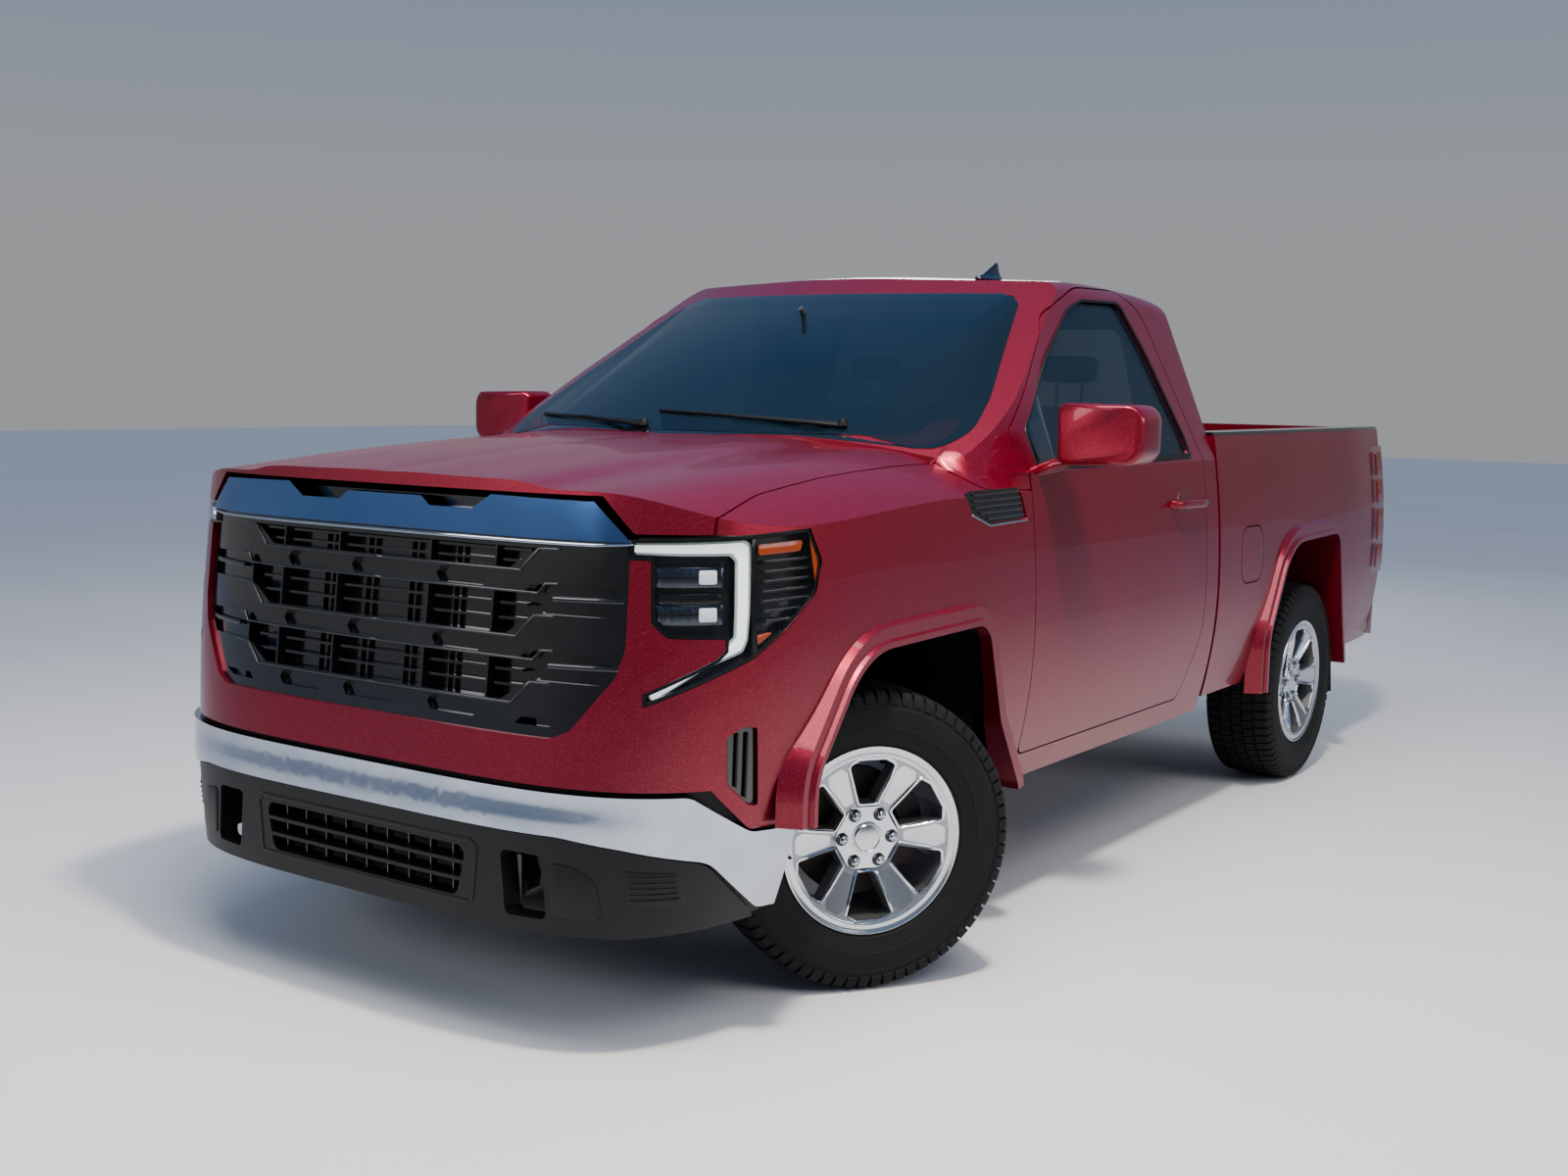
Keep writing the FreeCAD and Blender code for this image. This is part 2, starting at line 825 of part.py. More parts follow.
def rear_axle_shape():
    across = Vector(1, 0, 0)
    hub_end = size.track / 2 + size.mount_offset - size.seat_gap
    disc_out = hub_end - 22
    tube = Part.makeCylinder(size.axle_tube_radius, 2 * disc_out, Vector(-disc_out, REAR_AXLE, AXLE_HEIGHT), across)
    housing = Part.makeSphere(size.differential_radius, Vector(0, REAR_AXLE, AXLE_HEIGHT))
    flat = block(-200, 200, REAR_AXLE - 400, REAR_AXLE - size.differential_radius + 8, 0, FAR)
    nose = Part.makeCylinder(70, 60, Vector(0, REAR_AXLE - size.differential_radius, size.shaft_height), Vector(0, 1, 0))
    body = tube.fuse(housing.cut(flat)).fuse(nose)
    for side in SIDES.values():
        direction = Vector(side, 0, 0)
        disc = Part.makeCylinder(
            size.brake_radius, size.brake_width, Vector(side * (disc_out - size.brake_width), REAR_AXLE, AXLE_HEIGHT), direction)
        hub = Part.makeCylinder(size.hub_radius, hub_end - disc_out + 5, Vector(side * (disc_out - 5), REAR_AXLE, AXLE_HEIGHT), direction)
        body = body.fuse(disc).fuse(hub).fuse(caliper(side, disc_out, REAR_AXLE))
    return body


add_node("rear_axle", rear_axle_shape())


def spring_shape():
    low_x = size.spring_offset - size.spring_width / 2
    high_x = size.spring_offset + size.spring_width / 2
    seat = AXLE_HEIGHT - size.axle_tube_radius - size.seat_gap
    thick = size.spring_thickness
    eye_z = size.rail_bottom + size.rail_kick + 20
    front = size.wheelbase - size.spring_front
    rear = size.wheelbase + size.spring_rear
    eye_drop = 70
    leaf_low = [Vector(0, station(front), eye_z - eye_drop), Vector(0, REAR_AXLE, seat), Vector(0, station(rear), eye_z - eye_drop)]
    upper = Part.Arc(*leaf_low).toShape()
    lower = Part.Arc(*[p - Vector(0, 0, thick) for p in leaf_low]).toShape()
    wire = Part.Wire([
        upper, Part.makeLine(leaf_low[2], leaf_low[2] - Vector(0, 0, thick)), lower,
        Part.makeLine(leaf_low[0] - Vector(0, 0, thick), leaf_low[0])])
    leaf = Part.Face(wire).extrude(Vector(size.spring_width, 0, 0))
    leaf.translate(Vector(low_x, 0, 0))
    rail_side = size.rail_inner + size.rail_width + size.seat_gap
    shape = leaf
    for distance in (front, rear - 40):
        shape = shape.fuse(block(rail_side, high_x, station(distance), station(distance + 40), eye_z - eye_drop - thick, eye_z + 60))
    return both_sides(shape)


add_node("leaf_springs", spring_shape())


def front_suspension_shape():
    """Lower and upper arms with spring towers, fixed to the rails."""
    rail_side = size.rail_inner + size.rail_width + size.seat_gap
    tip = size.kingpin_half - size.kingpin_radius - size.seat_gap
    half = None
    for height, thick, base_half in ((AXLE_HEIGHT - size.ball_joint_height + 75, 34, 170), (AXLE_HEIGHT + size.ball_joint_height - 60, 26, 110)):
        arm = prism("plan", [
            (rail_side, station(-base_half)), (rail_side + 60, station(-base_half), 30), (tip, station(-32)),
            (tip, station(32)), (rail_side + 60, station(base_half), 30), (rail_side, station(base_half))],
            height, height + thick)
        half = arm if half is None else half.fuse(arm)
    foot = AXLE_HEIGHT - size.ball_joint_height + 75
    coil = Part.makeCylinder(52, 420, Vector(rail_side + 62, station(0), foot + 20), Vector(0, 0, 1))
    tower = block(rail_side, rail_side + 130, station(-90), station(90), foot + 400, foot + 440)
    web = block(rail_side, rail_side + 12, station(-90), station(90), size.rail_bottom + 20, foot + 440)
    return both_sides(half.fuse(coil).fuse(tower).fuse(web))


add_node("front_suspension", front_suspension_shape())


def steered(shape, side):
    """Turn a front wheel's piece about its kingpin to the angle that the truck stands at."""
    result = shape.copy()
    pivot = Vector(side * size.kingpin_half, FRONT_AXLE, 0)
    result.rotate(pivot, Vector(0, 0, 1), -size.steered_angle)
    return result


def knuckle_shape(side):
    across = Vector(side, 0, 0)
    pin_x = side * size.kingpin_half
    hub_end = size.track / 2 + size.mount_offset - size.seat_gap
    disc_out = hub_end - 22
    low = AXLE_HEIGHT - size.ball_joint_height
    post = Part.makeCylinder(size.kingpin_radius, 2 * size.ball_joint_height, Vector(pin_x, FRONT_AXLE, low), Vector(0, 0, 1))
    stub = Part.makeCylinder(45, disc_out - size.kingpin_half, Vector(pin_x, FRONT_AXLE, AXLE_HEIGHT), across)
    disc = Part.makeCylinder(size.brake_radius, size.brake_width, Vector(side * (disc_out - size.brake_width), FRONT_AXLE, AXLE_HEIGHT), across)
    hub = Part.makeCylinder(size.hub_radius, hub_end - disc_out + 5, Vector(side * (disc_out - 5), FRONT_AXLE, AXLE_HEIGHT), across)
    body = post.fuse(stub).fuse(disc).fuse(hub).fuse(caliper(side, disc_out, FRONT_AXLE))
    return steered(body, side)


for side_name, side in SIDES.items():
    add_node(f"knuckle_{side_name}", knuckle_shape(side))


# Wheels, drawn about the origin with the outer face towards +X

def sketch_on(body, name, role):
    sketch = body.newObject("Sketcher::SketchObject", name)
    plane = [f for f in body.Origin.OriginFeatures if f.Role == role][0]
    sketch.AttachmentSupport = [(plane, "")]
    sketch.MapMode = "FlatFace"
    return sketch


def number(text):
    return float(sheet.evalExpression(text))


def polygon(sketch, points):
    """Closed polygon whose corners are bound to expressions of the sheet."""
    places = [Vector(number(u), number(v), 0) for u, v in points]
    count = len(places)
    for i in range(count):
        sketch.addGeometry(Part.LineSegment(places[i], places[(i + 1) % count]), False)
    bind = Sketcher.Constraint
    for i in range(count):
        sketch.addConstraint(bind("Coincident", i, 2, (i + 1) % count, 1))
    for i, (u, v) in enumerate(points):
        sketch.addConstraint(bind("DistanceX", -1, 1, i, 1, places[i].x))
        sketch.setExpression(f"Constraints[{sketch.ConstraintCount - 1}]", u)
        sketch.addConstraint(bind("DistanceY", -1, 1, i, 1, places[i].y))
        sketch.setExpression(f"Constraints[{sketch.ConstraintCount - 1}]", v)


TYRE_PROFILE = (
    ("-Sizes.rim_width / 2 + 6", "Sizes.bead_radius + Sizes.seat_gap"),
    ("-Sizes.rim_width / 2 + 6", "Sizes.rim_radius + 10"),
    ("-Sizes.tyre_width / 2", "(Sizes.rim_radius + Sizes.tyre_radius) / 2"),
    ("-Sizes.tyre_width / 2 + 10", "Sizes.tyre_radius - 36"),
    ("-Sizes.tyre_width / 2 + 40", "Sizes.tyre_radius"),
    ("Sizes.tyre_width / 2 - 40", "Sizes.tyre_radius"),
    ("Sizes.tyre_width / 2 - 10", "Sizes.tyre_radius - 36"),
    ("Sizes.tyre_width / 2", "(Sizes.rim_radius + Sizes.tyre_radius) / 2"),
    ("Sizes.rim_width / 2 - 6", "Sizes.rim_radius + 10"),
    ("Sizes.rim_width / 2 - 6", "Sizes.bead_radius + Sizes.seat_gap"),
)
RIM_PROFILE = (
    ("-Sizes.rim_width / 2", "Sizes.barrel_radius"),
    ("-Sizes.rim_width / 2", "Sizes.rim_radius"),
    ("-Sizes.rim_width / 2 + 5", "Sizes.rim_radius"),
    ("-Sizes.rim_width / 2 + 5", "Sizes.bead_radius"),
    ("Sizes.rim_width / 2 - 5", "Sizes.bead_radius"),
    ("Sizes.rim_width / 2 - 5", "Sizes.rim_radius"),
    ("Sizes.rim_width / 2 + 3", "Sizes.rim_radius"),
    ("Sizes.rim_width / 2 + 3", "Sizes.barrel_radius + 6"),
    ("Sizes.mount_offset + Sizes.spoke_depth + 22", "Sizes.window_inner - 5"),
    ("Sizes.mount_offset + Sizes.spoke_depth", "Sizes.hub_cap_radius + 8"),
    ("Sizes.mount_offset + Sizes.spoke_depth", "Sizes.hub_bore_radius"),
    ("Sizes.mount_offset", "Sizes.hub_bore_radius"),
    ("Sizes.mount_offset", "Sizes.window_inner - 5"),
    ("Sizes.rim_width / 2 - 46", "Sizes.barrel_radius"),
)


def revolved_body(label, profile):
    body = doc.addObject("PartDesign::Body", label)
    body.Label = label
    sketch = sketch_on(body, label + "_section", "XY_Plane")
    polygon(sketch, profile)
    turn = body.newObject("PartDesign::Revolution", label + "_turn")
    turn.Profile = sketch
    turn.ReferenceAxis = (sketch, ["H_Axis"])
    turn.Angle = 360
    body.Tip = turn
    return body


def spoke_windows(body, label):
    """Six wedge-shaped windows between six spokes that meet the lugs."""
    sketch = sketch_on(body, label + "_window_outline", "YZ_Plane")
    half_inner = "Sizes.window_inner * 0.24"
    half_outer = "Sizes.window_outer * 0.30"
    polygon(sketch, (
        (f"-{half_inner}", "Sizes.window_inner"), (f"-{half_outer}", "Sizes.window_outer * 0.93"),
        (f"-{half_outer} * 0.55", "Sizes.window_outer"), (f"{half_outer} * 0.55", "Sizes.window_outer"),
        (half_outer, "Sizes.window_outer * 0.93"), (half_inner, "Sizes.window_inner")))
    pocket = body.newObject("PartDesign::Pocket", label + "_window")
    pocket.Profile = sketch
    pocket.Type = 1
    pocket.Midplane = True
    body.Tip = pocket
    doc.recompute()
    ring = body.newObject("PartDesign::PolarPattern", label + "_windows")
    ring.Originals = [pocket]
    axis = [f for f in body.Origin.OriginFeatures if f.Role == "X_Axis"][0]
    ring.Axis = (axis, [""])
    ring.Angle = 360
    ring.setExpression("Occurrences", "Sizes.lug_count")
    body.Tip = ring


def wheel_placement(side, axle_y, turned):
    centre = Vector(side * size.track / 2, axle_y, AXLE_HEIGHT)
    turn = Rotation(Vector(0, 0, 1), 0 if side == LEFT else 180)
    place = Placement(centre, turn)
    if turned:
        pivot = Vector(side * size.kingpin_half, FRONT_AXLE, 0)
        place = Placement(Vector(), Rotation(Vector(0, 0, 1), -size.steered_angle), pivot).multiply(place)
    return place


for end, axle_y in (("front", FRONT_AXLE), ("rear", REAR_AXLE)):
    for side_name, side in SIDES.items():
        place = wheel_placement(side, axle_y, end == "front")
        tyre = revolved_body(f"tyre_{end}_{side_name}", TYRE_PROFILE)
        tyre.Placement = place
        NODES.append(tyre)
        rim = revolved_body(f"rim_{end}_{side_name}", RIM_PROFILE)
        spoke_windows(rim, f"rim_{end}_{side_name}")
        rim.Placement = place
        NODES.append(rim)


def pipe_along(points, radius):
    """Tube along straight runs joined by tangent arcs."""
    edges = []
    last = points[0]
    for i in range(1, len(points) - 1):
        here = points[i]
        back = (points[i - 1] - here).normalize()
        on = (points[i + 1] - here).normalize()
        half = back.getAngle(on) / 2
        reach = 0.4 * min((points[i - 1] - here).Length, (points[i + 1] - here).Length)
        bend = reach * math.tan(half)
        centre = here + (back + on).normalize() * (bend / math.sin(half))
        first = here + back * reach
        second = here + on * reach
        edges.append(Part.makeLine(last, first))
        edges.append(Part.Arc(first, centre + (here - centre).normalize() * bend, second).toShape())
        last = second
    edges.append(Part.makeLine(last, points[-1]))
    path = Part.Wire(edges)
    ring = Part.Wire(Part.makeCircle(radius, points[0], points[1] - points[0]))
    return path.makePipeShell([ring], True, False)


def exhaust_shape():
    low = size.rail_bottom - size.pipe_radius - 12
    engine_side = -size.engine_width / 2 + 60
    engine_end = size.engine_front_station + size.engine_length
    route_front = [
        Vector(engine_side, station(engine_end - 60), size.engine_bottom - size.seat_gap - size.pipe_radius),
        Vector(engine_side, station(engine_end + 120), size.engine_bottom - 60),
        Vector(engine_side, station(engine_end + 700), low + 20),
        Vector(engine_side, station(1500), low + 20)]
    front = pipe_along(route_front, size.pipe_radius)
    box = Part.makeCylinder(size.muffler_radius, 560, Vector(engine_side, station(1490), low + 40), Vector(0, 1, 0))
    outboard = -(size.spring_offset + size.spring_width / 2 + size.pipe_radius + 22)
    over = AXLE_HEIGHT + size.axle_tube_radius + size.pipe_radius + 25
    route_rear = [
        Vector(engine_side, station(2040), low), Vector(engine_side, station(2200), low),
        Vector(outboard, station(2520), low), Vector(outboard, station(2900), low + 30),
        Vector(outboard, station(3060), over), Vector(outboard, station(3340), over),
        Vector(outboard, station(3560), over - 30), Vector(outboard, station(4080), over - 30)]
    return front.fuse(box).fuse(pipe_along(route_rear, size.pipe_radius))


add_node("exhaust", exhaust_shape())


def fuel_tank_item():
    item = bound_box(
        "fuel_tank", ("Sizes.tank_width", "Sizes.tank_length", "Sizes.tank_height"),
        ("Sizes.rail_inner - Sizes.seat_gap - Sizes.tank_width", f"{FRONT_AXLE_TEXT} + Sizes.tank_front_station",
         "Sizes.rail_bottom + Sizes.rail_height - Sizes.crossmember_size - Sizes.seat_gap - Sizes.tank_height"))
    item.Label = "fuel_tank"
    NODES.append(item)


fuel_tank_item()


def spare_shape():
    centre = Vector(0, station(size.spare_station), size.spare_bottom)
    up = Vector(0, 0, 1)
    ring = Part.makeCylinder(size.spare_radius, size.spare_width, centre, up)
    ring = ring.makeFillet(50, [ring.Edges[0], ring.Edges[2]])
    cup = Part.makeCylinder(205, size.spare_width, centre + Vector(0, 0, 60), up)
    top = size.rail_bottom + size.rail_height + size.rail_kick - size.crossmember_size - size.seat_gap
    winch = Part.makeCylinder(30, top - size.spare_bottom - 60, centre + Vector(0, 0, 60), up)
    return ring.cut(cup).fuse(winch)


add_node("spare_wheel", spare_shape())


# Cab

def cab_shape():
    firewall = size.firewall_station
    back = size.cab_back_station
    sides = side_solid(size.seat_gap, size.rocker_bottom, size.belt_height + 2, size.door_front_station, back)
    post_inset = size.panel_wall + size.panel_gap
    hinge_post = side_solid(post_inset, size.rocker_bottom, size.belt_height + 2, firewall, size.door_front_station + 1)
    hinge_post = hinge_post.common(top_solid(post_inset))
    lower = whole(sides.fuse(hinge_post))
    upper = greenhouse(0, size.belt_height)
    cowl = block(-860, 860, station(size.windshield_base_station - 20), station(firewall + 10),
                 size.cowl_height, size.belt_height + 2)
    upper = upper.fuse(cowl).fuse(lower).removeSplitter()
    upper = upper.cut(ahead_of_windshield(0))
    wall = size.cab_wall
    room_low = side_solid(size.door_thickness, size.cab_floor_height + size.floor_wall, size.belt_height + 3, firewall + wall, back - wall)
    room_low = whole(room_low)
    room_high = greenhouse(wall, size.belt_height).cut(ahead_of_windshield(wall * 2.2))
    room_high = room_high.common(block(-FAR, FAR, station(-300), station(back - wall), 0, FAR))
    room = room_low.fuse(room_high)
    body = upper.cut(room)
    body = body.cut(block(-rocker_inner(), rocker_inner(), -FAR, FAR, 0, size.cab_floor_height))
    tunnel = size.tunnel_half
    hump = block(-tunnel - size.floor_wall, tunnel + size.floor_wall, station(firewall + 5), station(size.tunnel_end + size.floor_wall),
                 size.cab_floor_height + 1, size.tunnel_top + size.floor_wall)
    body = body.fuse(hump).cut(block(-tunnel, tunnel, -FAR, station(size.tunnel_end), 0, size.tunnel_top))
    body = body.cut(whole(prism("plan", hood_plan(size.running_gap), size.belt_height + 2, 1700)))
    fender_top = block(size.hood_half_width + size.running_gap, FAR, -FAR, station(size.hood_corner_station + 55), size.belt_height - 5, FAR)
    body = body.cut(both_sides(fender_top))
    gap = size.running_gap
    opening = side_prism(door_outline(gap), size.roof_rail_half - gap, FAR)
    body = body.cut(opening).cut(mirrored(opening))
    shield = front_prism(windshield_outline(0), -400, 1500)
    body = body.cut(shield.cut(block(-FAR, FAR, station(1450), FAR, 0, FAR)))
    pane = front_prism(rear_window_outline(0), back - 2 * wall, back + 50)
    return body.cut(pane).multiFuse([both_sides(piece) for piece in hinge_pieces()])


def hinge_pieces():
    """Left door's hinge straps and the left hinge block of the hood, which reach up to what they carry."""
    pieces = []
    front = station(size.door_front_station - size.hinge_thickness)
    rear = station(size.door_front_station + size.door_flange) - size.seat_gap
    for height in (size.hinge_lower_height, size.hinge_upper_height):
        outer = side_x(height) - 2 * size.door_skin
        pieces.append(block(outer - size.hinge_length, outer, front, rear, height, height + size.hinge_height))
    inner = size.hood_hinge_inner
    hood_block = block(inner, inner + size.hood_hinge_width, station(300), station(300 + size.hood_hinge_length),
                       size.belt_height - 10, size.hood_height)
    pieces.append(hood_block.common(top_solid(size.hood_wall + size.seat_gap)))
    return pieces


def rocker_inner():
    return size.half_width - 190


def windshield_outline(shrink):
    base = size.windshield_half_base - shrink
    top = size.windshield_half_top - shrink
    low = size.windshield_bottom + shrink
    high = size.windshield_top - shrink
    return [(-base, low, 40), (base, low, 40), (top, high, 50), (-top, high, 50)]


def rear_window_outline(shrink):
    base = size.rear_window_half_base - shrink
    top = size.rear_window_half_top - shrink
    low = size.rear_window_bottom + shrink
    high = size.rear_window_top - shrink
    return [(-base, low, 40), (base, low, 40), (top, high, 50), (-top, high, 50)]


add_node("cab", cab_shape())


def cab_glass_shape():
    gap = size.seat_gap
    sheet_low = ahead_of_windshield(size.glass_thickness * 2.2)
    pane = sheet_low.cut(ahead_of_windshield(0)).common(front_prism(windshield_outline(gap), -400, 1500))
    back = size.cab_back_station - 8
    rear = front_prism(rear_window_outline(gap), back - size.glass_thickness, back)
    return Part.makeCompound(pane.Solids + rear.Solids)


add_node("cab_glass", cab_glass_shape())


# Front body panels

LAMP_OUTLINE = (
    (-90, 1169), (-88, 1216, 6), (120, 1224), (363, 1235, 6), (396, 1158, 30), (380, 1080, 60), (300, 1003, 60), (210, 941, 80),
    (71, 884, 60), (-51, 834, 6), (-51, 866, 6), (120, 946, 12), (140, 965, 8), (140, 991, 6), (4, 994, 30),
    (-31, 1027, 10), (-31, 1169, 4))


def grown(points, grow):
    """Outline moved outwards by a clearance."""
    return Part.Face(outline(points)).makeOffset2D(grow)


def lamp_prism(grow):
    face = grown(LAMP_OUTLINE, grow) if grow else Part.Face(outline(LAMP_OUTLINE))
    solid = face.extrude(Vector(0, 0, 2 * FAR))
    shift = Vector(FRONT_AXLE / math.sqrt(2), 0, -FAR)
    solid.Placement = Placement(Vector(), PLANE_TURNS["corner"]).multiply(Placement(shift, Rotation()))
    return solid.copy()


FASCIA_REGION = ((-1200, 1229), (118, 1229), (350, 1215), (300, 1003), (420, 900), (640, 620), (640, 0), (-1200, 0))


def front_shell(inset, wall, low, high, rear):
    return front_skin_solid(inset, low, high, rear).cut(front_skin_solid(inset + wall, low - 5, high + 5, rear + 5))


def front_body(inset, low, rear):
    """Left half of the whole front body, closed by the hood's surface."""
    return front_skin_solid(inset, low, 1440, rear).common(top_solid(inset))


def fenders_shape():
    rear = size.door_front_station - size.panel_gap
    shell = front_body(0, size.side_bottom, rear).cut(front_body(size.panel_wall, size.side_bottom - 5, rear + 5))
    shell = shell.cut(corner_prism(FASCIA_REGION)).cut(lamp_prism(size.seat_gap))
    shell = shell.cut(hood_region(size.running_gap))
    cowl_side = block(0, size.hood_half_width + size.running_gap, station(0), FAR, size.hood_front_height, FAR)
    pillar_foot = block(0, 905, station(size.hood_corner_station + 50), FAR, size.cowl_height, FAR)
    shell = shell.cut(cowl_side).cut(pillar_foot).cut(front_arch(0, 0, FAR))
    vent = side_prism([(294, 1286, 5), (327, 1228, 8), (427, 1193, 8), (656, 1199, 5), (622, 1297, 5), (332, 1296, 5)], 800, FAR)
    shell = shell.cut(vent.cut(side_solid(size.fender_vent_depth, 1100, 1330, 100, 690)))
    return both_sides(shell.fuse(front_lip().cut(corner_prism(FASCIA_REGION))))


def front_lip():
    """Raised lip of the front arch, set half-way into the panel's wall."""
    lip = flare(0, front_arch_sizes())
    return lip.cut(front_skin_solid(size.panel_wall / 2, 200, 1430, size.door_front_station + 300))


add_node("fenders", fenders_shape())


def wheelhouse_liner_shape():
    outer = side_x(size.front_arch_top) - size.panel_wall - 8
    gap = size.seat_gap
    body = front_arch(size.liner_wall + gap + 6, size.liner_inner, outer).cut(front_arch(gap + 6, size.liner_inner - 1, outer + 1))
    inside_bumper = size.fascia_wall + size.valance_wall + 5 * gap
    low = size.fascia_bottom + 24
    reach = size.door_front_station
    room = front_skin_solid(size.fascia_wall + gap, low, 1300, reach).fuse(front_skin_solid(inside_bumper, 300, low + 1, reach))
    body = body.common(room)
    return both_sides(body.common(block(0, FAR, station(-760), station(640 - 3), size.side_bottom + 10, FAR)))


add_node("wheelhouse_liners", wheelhouse_liner_shape())


def hood_shape():
    low = size.hood_front_height
    rear = size.hood_corner_station + 10
    shell = front_body(0, low, rear).cut(front_body(size.hood_wall, low - 5, rear + 5))
    shell = shell.common(hood_region(0))
    chrome = front_prism([(-800, 1000), (800, 1000), (size.grille_half_width + 6, low),
                          (size.trim_half_top + 20, size.trim_top + size.hood_gap),
                          (-size.trim_half_top - 20, size.trim_top + size.hood_gap), (-size.grille_half_width - 6, low)], -1200, -700)
    shell = shell.cut(chrome)
    return whole(shell)


add_node("hood", hood_shape())


def grille_outline(grow):
    top = size.grille_top + grow
    wide = size.grille_half_width + grow
    low = size.grille_bottom - grow
    half = size.grille_low_half + grow * 0.5
    return [(-wide, top), (wide, top), (wide + 6, 970, 60), (wide - 12, 900, 60), (half + 50, low + 22, 30), (half, low, 30),
            (-half, low, 30), (-half - 50, low + 22, 30), (-wide + 12, 900, 60), (-wide - 6, 970, 60)]


def fascia_shape():
    lower = corner_prism([(-1200, size.fascia_bottom), (110, size.fascia_bottom), (212, size.bumper_drop), (700, size.bumper_drop - 24),
                          (700, 1400), (-1200, 1400)])
    tall = front_shell(0, size.fascia_wall, size.side_bottom, size.grille_top - 10, 500).common(lower)
    shell = tall.common(corner_prism(FASCIA_REGION))
    shell = shell.cut(front_arch(0, 0, FAR)).cut(lamp_prism(size.seat_gap))
    vent = corner_prism([(146, 763, 10), (190, 785, 8), (223, 780, 8), (232, 588, 8), (206, 593, 8), (149, 648, 10)])
    shell = shell.cut(front_shell(-5, 5 + size.vent_depth, 560, 800, 0).common(vent))
    lip = front_lip().common(corner_prism(FASCIA_REGION)).common(lower)
    shell = whole(shell.fuse(lip.common(block(0, FAR, -FAR, station(-100), 0, FAR))))
    mouth = front_prism(grille_outline(size.seat_gap), -1300, -500)
    over = block(-size.grille_half_width, size.grille_half_width, -FAR, 0, size.grille_top - 40, FAR)
    return shell.cut(mouth).cut(over)


add_node("fascia", fascia_shape())


def headlamp_shape():
    lamp = front_shell(0, size.lamp_depth, 800, 1240, 0).common(lamp_prism(0))
    lamp = lamp.cut(block(0, size.grille_half_width + 7, -FAR, FAR, 0, FAR))
    return both_sides(lamp)


add_node("headlamps", headlamp_shape())


def bar_outline(drop):
    """Heavy bar of the grille, deeper at its two ends."""
    low = size.bar_low - drop
    outer_low = size.pad_low - drop
    middle_top = size.bar_low + size.bar_height - drop
    high = size.pad_high - drop
    inner = size.pad_inner_half
    step = size.pad_low - size.bar_low
    right = [(inner - 40, low), (inner + step - 40, outer_low), (FAR / 5, outer_low), (FAR / 5, high), (inner, high), (inner - 82, middle_top)]
    left = [(-x, z) for x, z in reversed(right)]
    return right + left


def slot_outline(low_x, high_x, drop):
    """Six-sided slot in a bar."""
    low = size.bar_low + 9 - drop
    high = size.bar_low + size.bar_height - 11 - drop
    middle = (low + high) / 2
    return [(low_x + 14, low), (high_x - 14, low), (high_x, middle), (high_x - 14, high), (low_x + 14, high), (low_x, middle)]


def grille_shape():
    inset = size.grille_inset
    depth = size.grille_wall
    low = size.grille_bottom
    high = size.grille_top
    opening = front_prism(grille_outline(0), -1300, -500)
    half_opening = opening.common(block(0, FAR, -FAR, FAR, 0, FAR))
    deep = front_shell(inset, depth, low, high, 100).common(half_opening)
    bar_layer = front_shell(inset, 34, low, high, 100).common(half_opening)
    pad_layer = front_shell(inset + 12, 26, low, high, 100).common(half_opening)
    slot_layer = front_shell(inset - 1, size.slot_depth + 1, low, high, 100)
    frame = deep.cut(front_prism(grille_outline(-24), -1300, -500))
    pieces = [pad_layer.common(block(size.pad_inner_half + 20, FAR, -FAR, FAR, 0, FAR))]
    for i in range(int(size.grille_bars)):
        drop = i * size.grille_pitch
        bar = bar_layer.common(front_prism(bar_outline(drop), -1300, -500))
        for low_x, high_x in ((-112, 112), (188, 355)):
            bar = bar.cut(slot_layer.common(front_prism(slot_outline(low_x, high_x, drop), -1300, -500)))
        pieces.append(bar)
    for x in (162, 375):
        pieces.append(deep.common(block(x - 3, x + 3, -FAR, FAR, 0, FAR)))
    plate_layer = front_shell(inset + depth - 2 * size.grille_plate, size.grille_plate, low + 5, size.trim_top - 13, 90)
    behind_trim = block(0, size.trim_half_top - 6, -FAR, FAR, size.grille_top - 40, FAR)
    lattice = frame
    for piece in pieces + [plate_layer.common(front_prism(grille_outline(-6), -1300, -500).fuse(behind_trim))]:
        lattice = lattice.fuse(piece)
    return whole(lattice)


add_node("grille", grille_shape())


def grille_trim_shape():
    """Chrome bar over the grille, with a notch each side of its middle."""
    shell = front_shell(0, 40, size.grille_top + size.seat_gap, size.trim_top, 0)
    wide = size.grille_half_width
    bar = front_prism([
        (-5, size.grille_top), (wide, size.grille_top), (wide - 16, size.grille_top + 18), (size.trim_half_top, size.trim_top - 5),
        (358, size.trim_top), (300, size.trim_notch_low), (160, size.trim_notch_low), (130, size.trim_top - 14),
        (-5, size.trim_top - 14)], -1200, -600)
    return whole(shell.common(bar))


add_node("grille_trim", grille_trim_shape())


def bumper_front_shape():
    shell = front_shell(-size.bumper_proud, size.bumper_wall, 280, size.bumper_top, 0)
    region = corner_prism([
        (-1200, size.bumper_top), (60, size.bumper_top, 60), (215, 528, 60), (450, 512),
        (450, 300), (245, 320, 40), (110, 468, 90), (-100, 510, 200), (-240, size.bumper_drop - 2, 200),
        (-1200, size.bumper_drop)])
    return whole(shell.common(region).cut(front_arch(0, 0, FAR)))


add_node("bumper_front", bumper_front_shape())


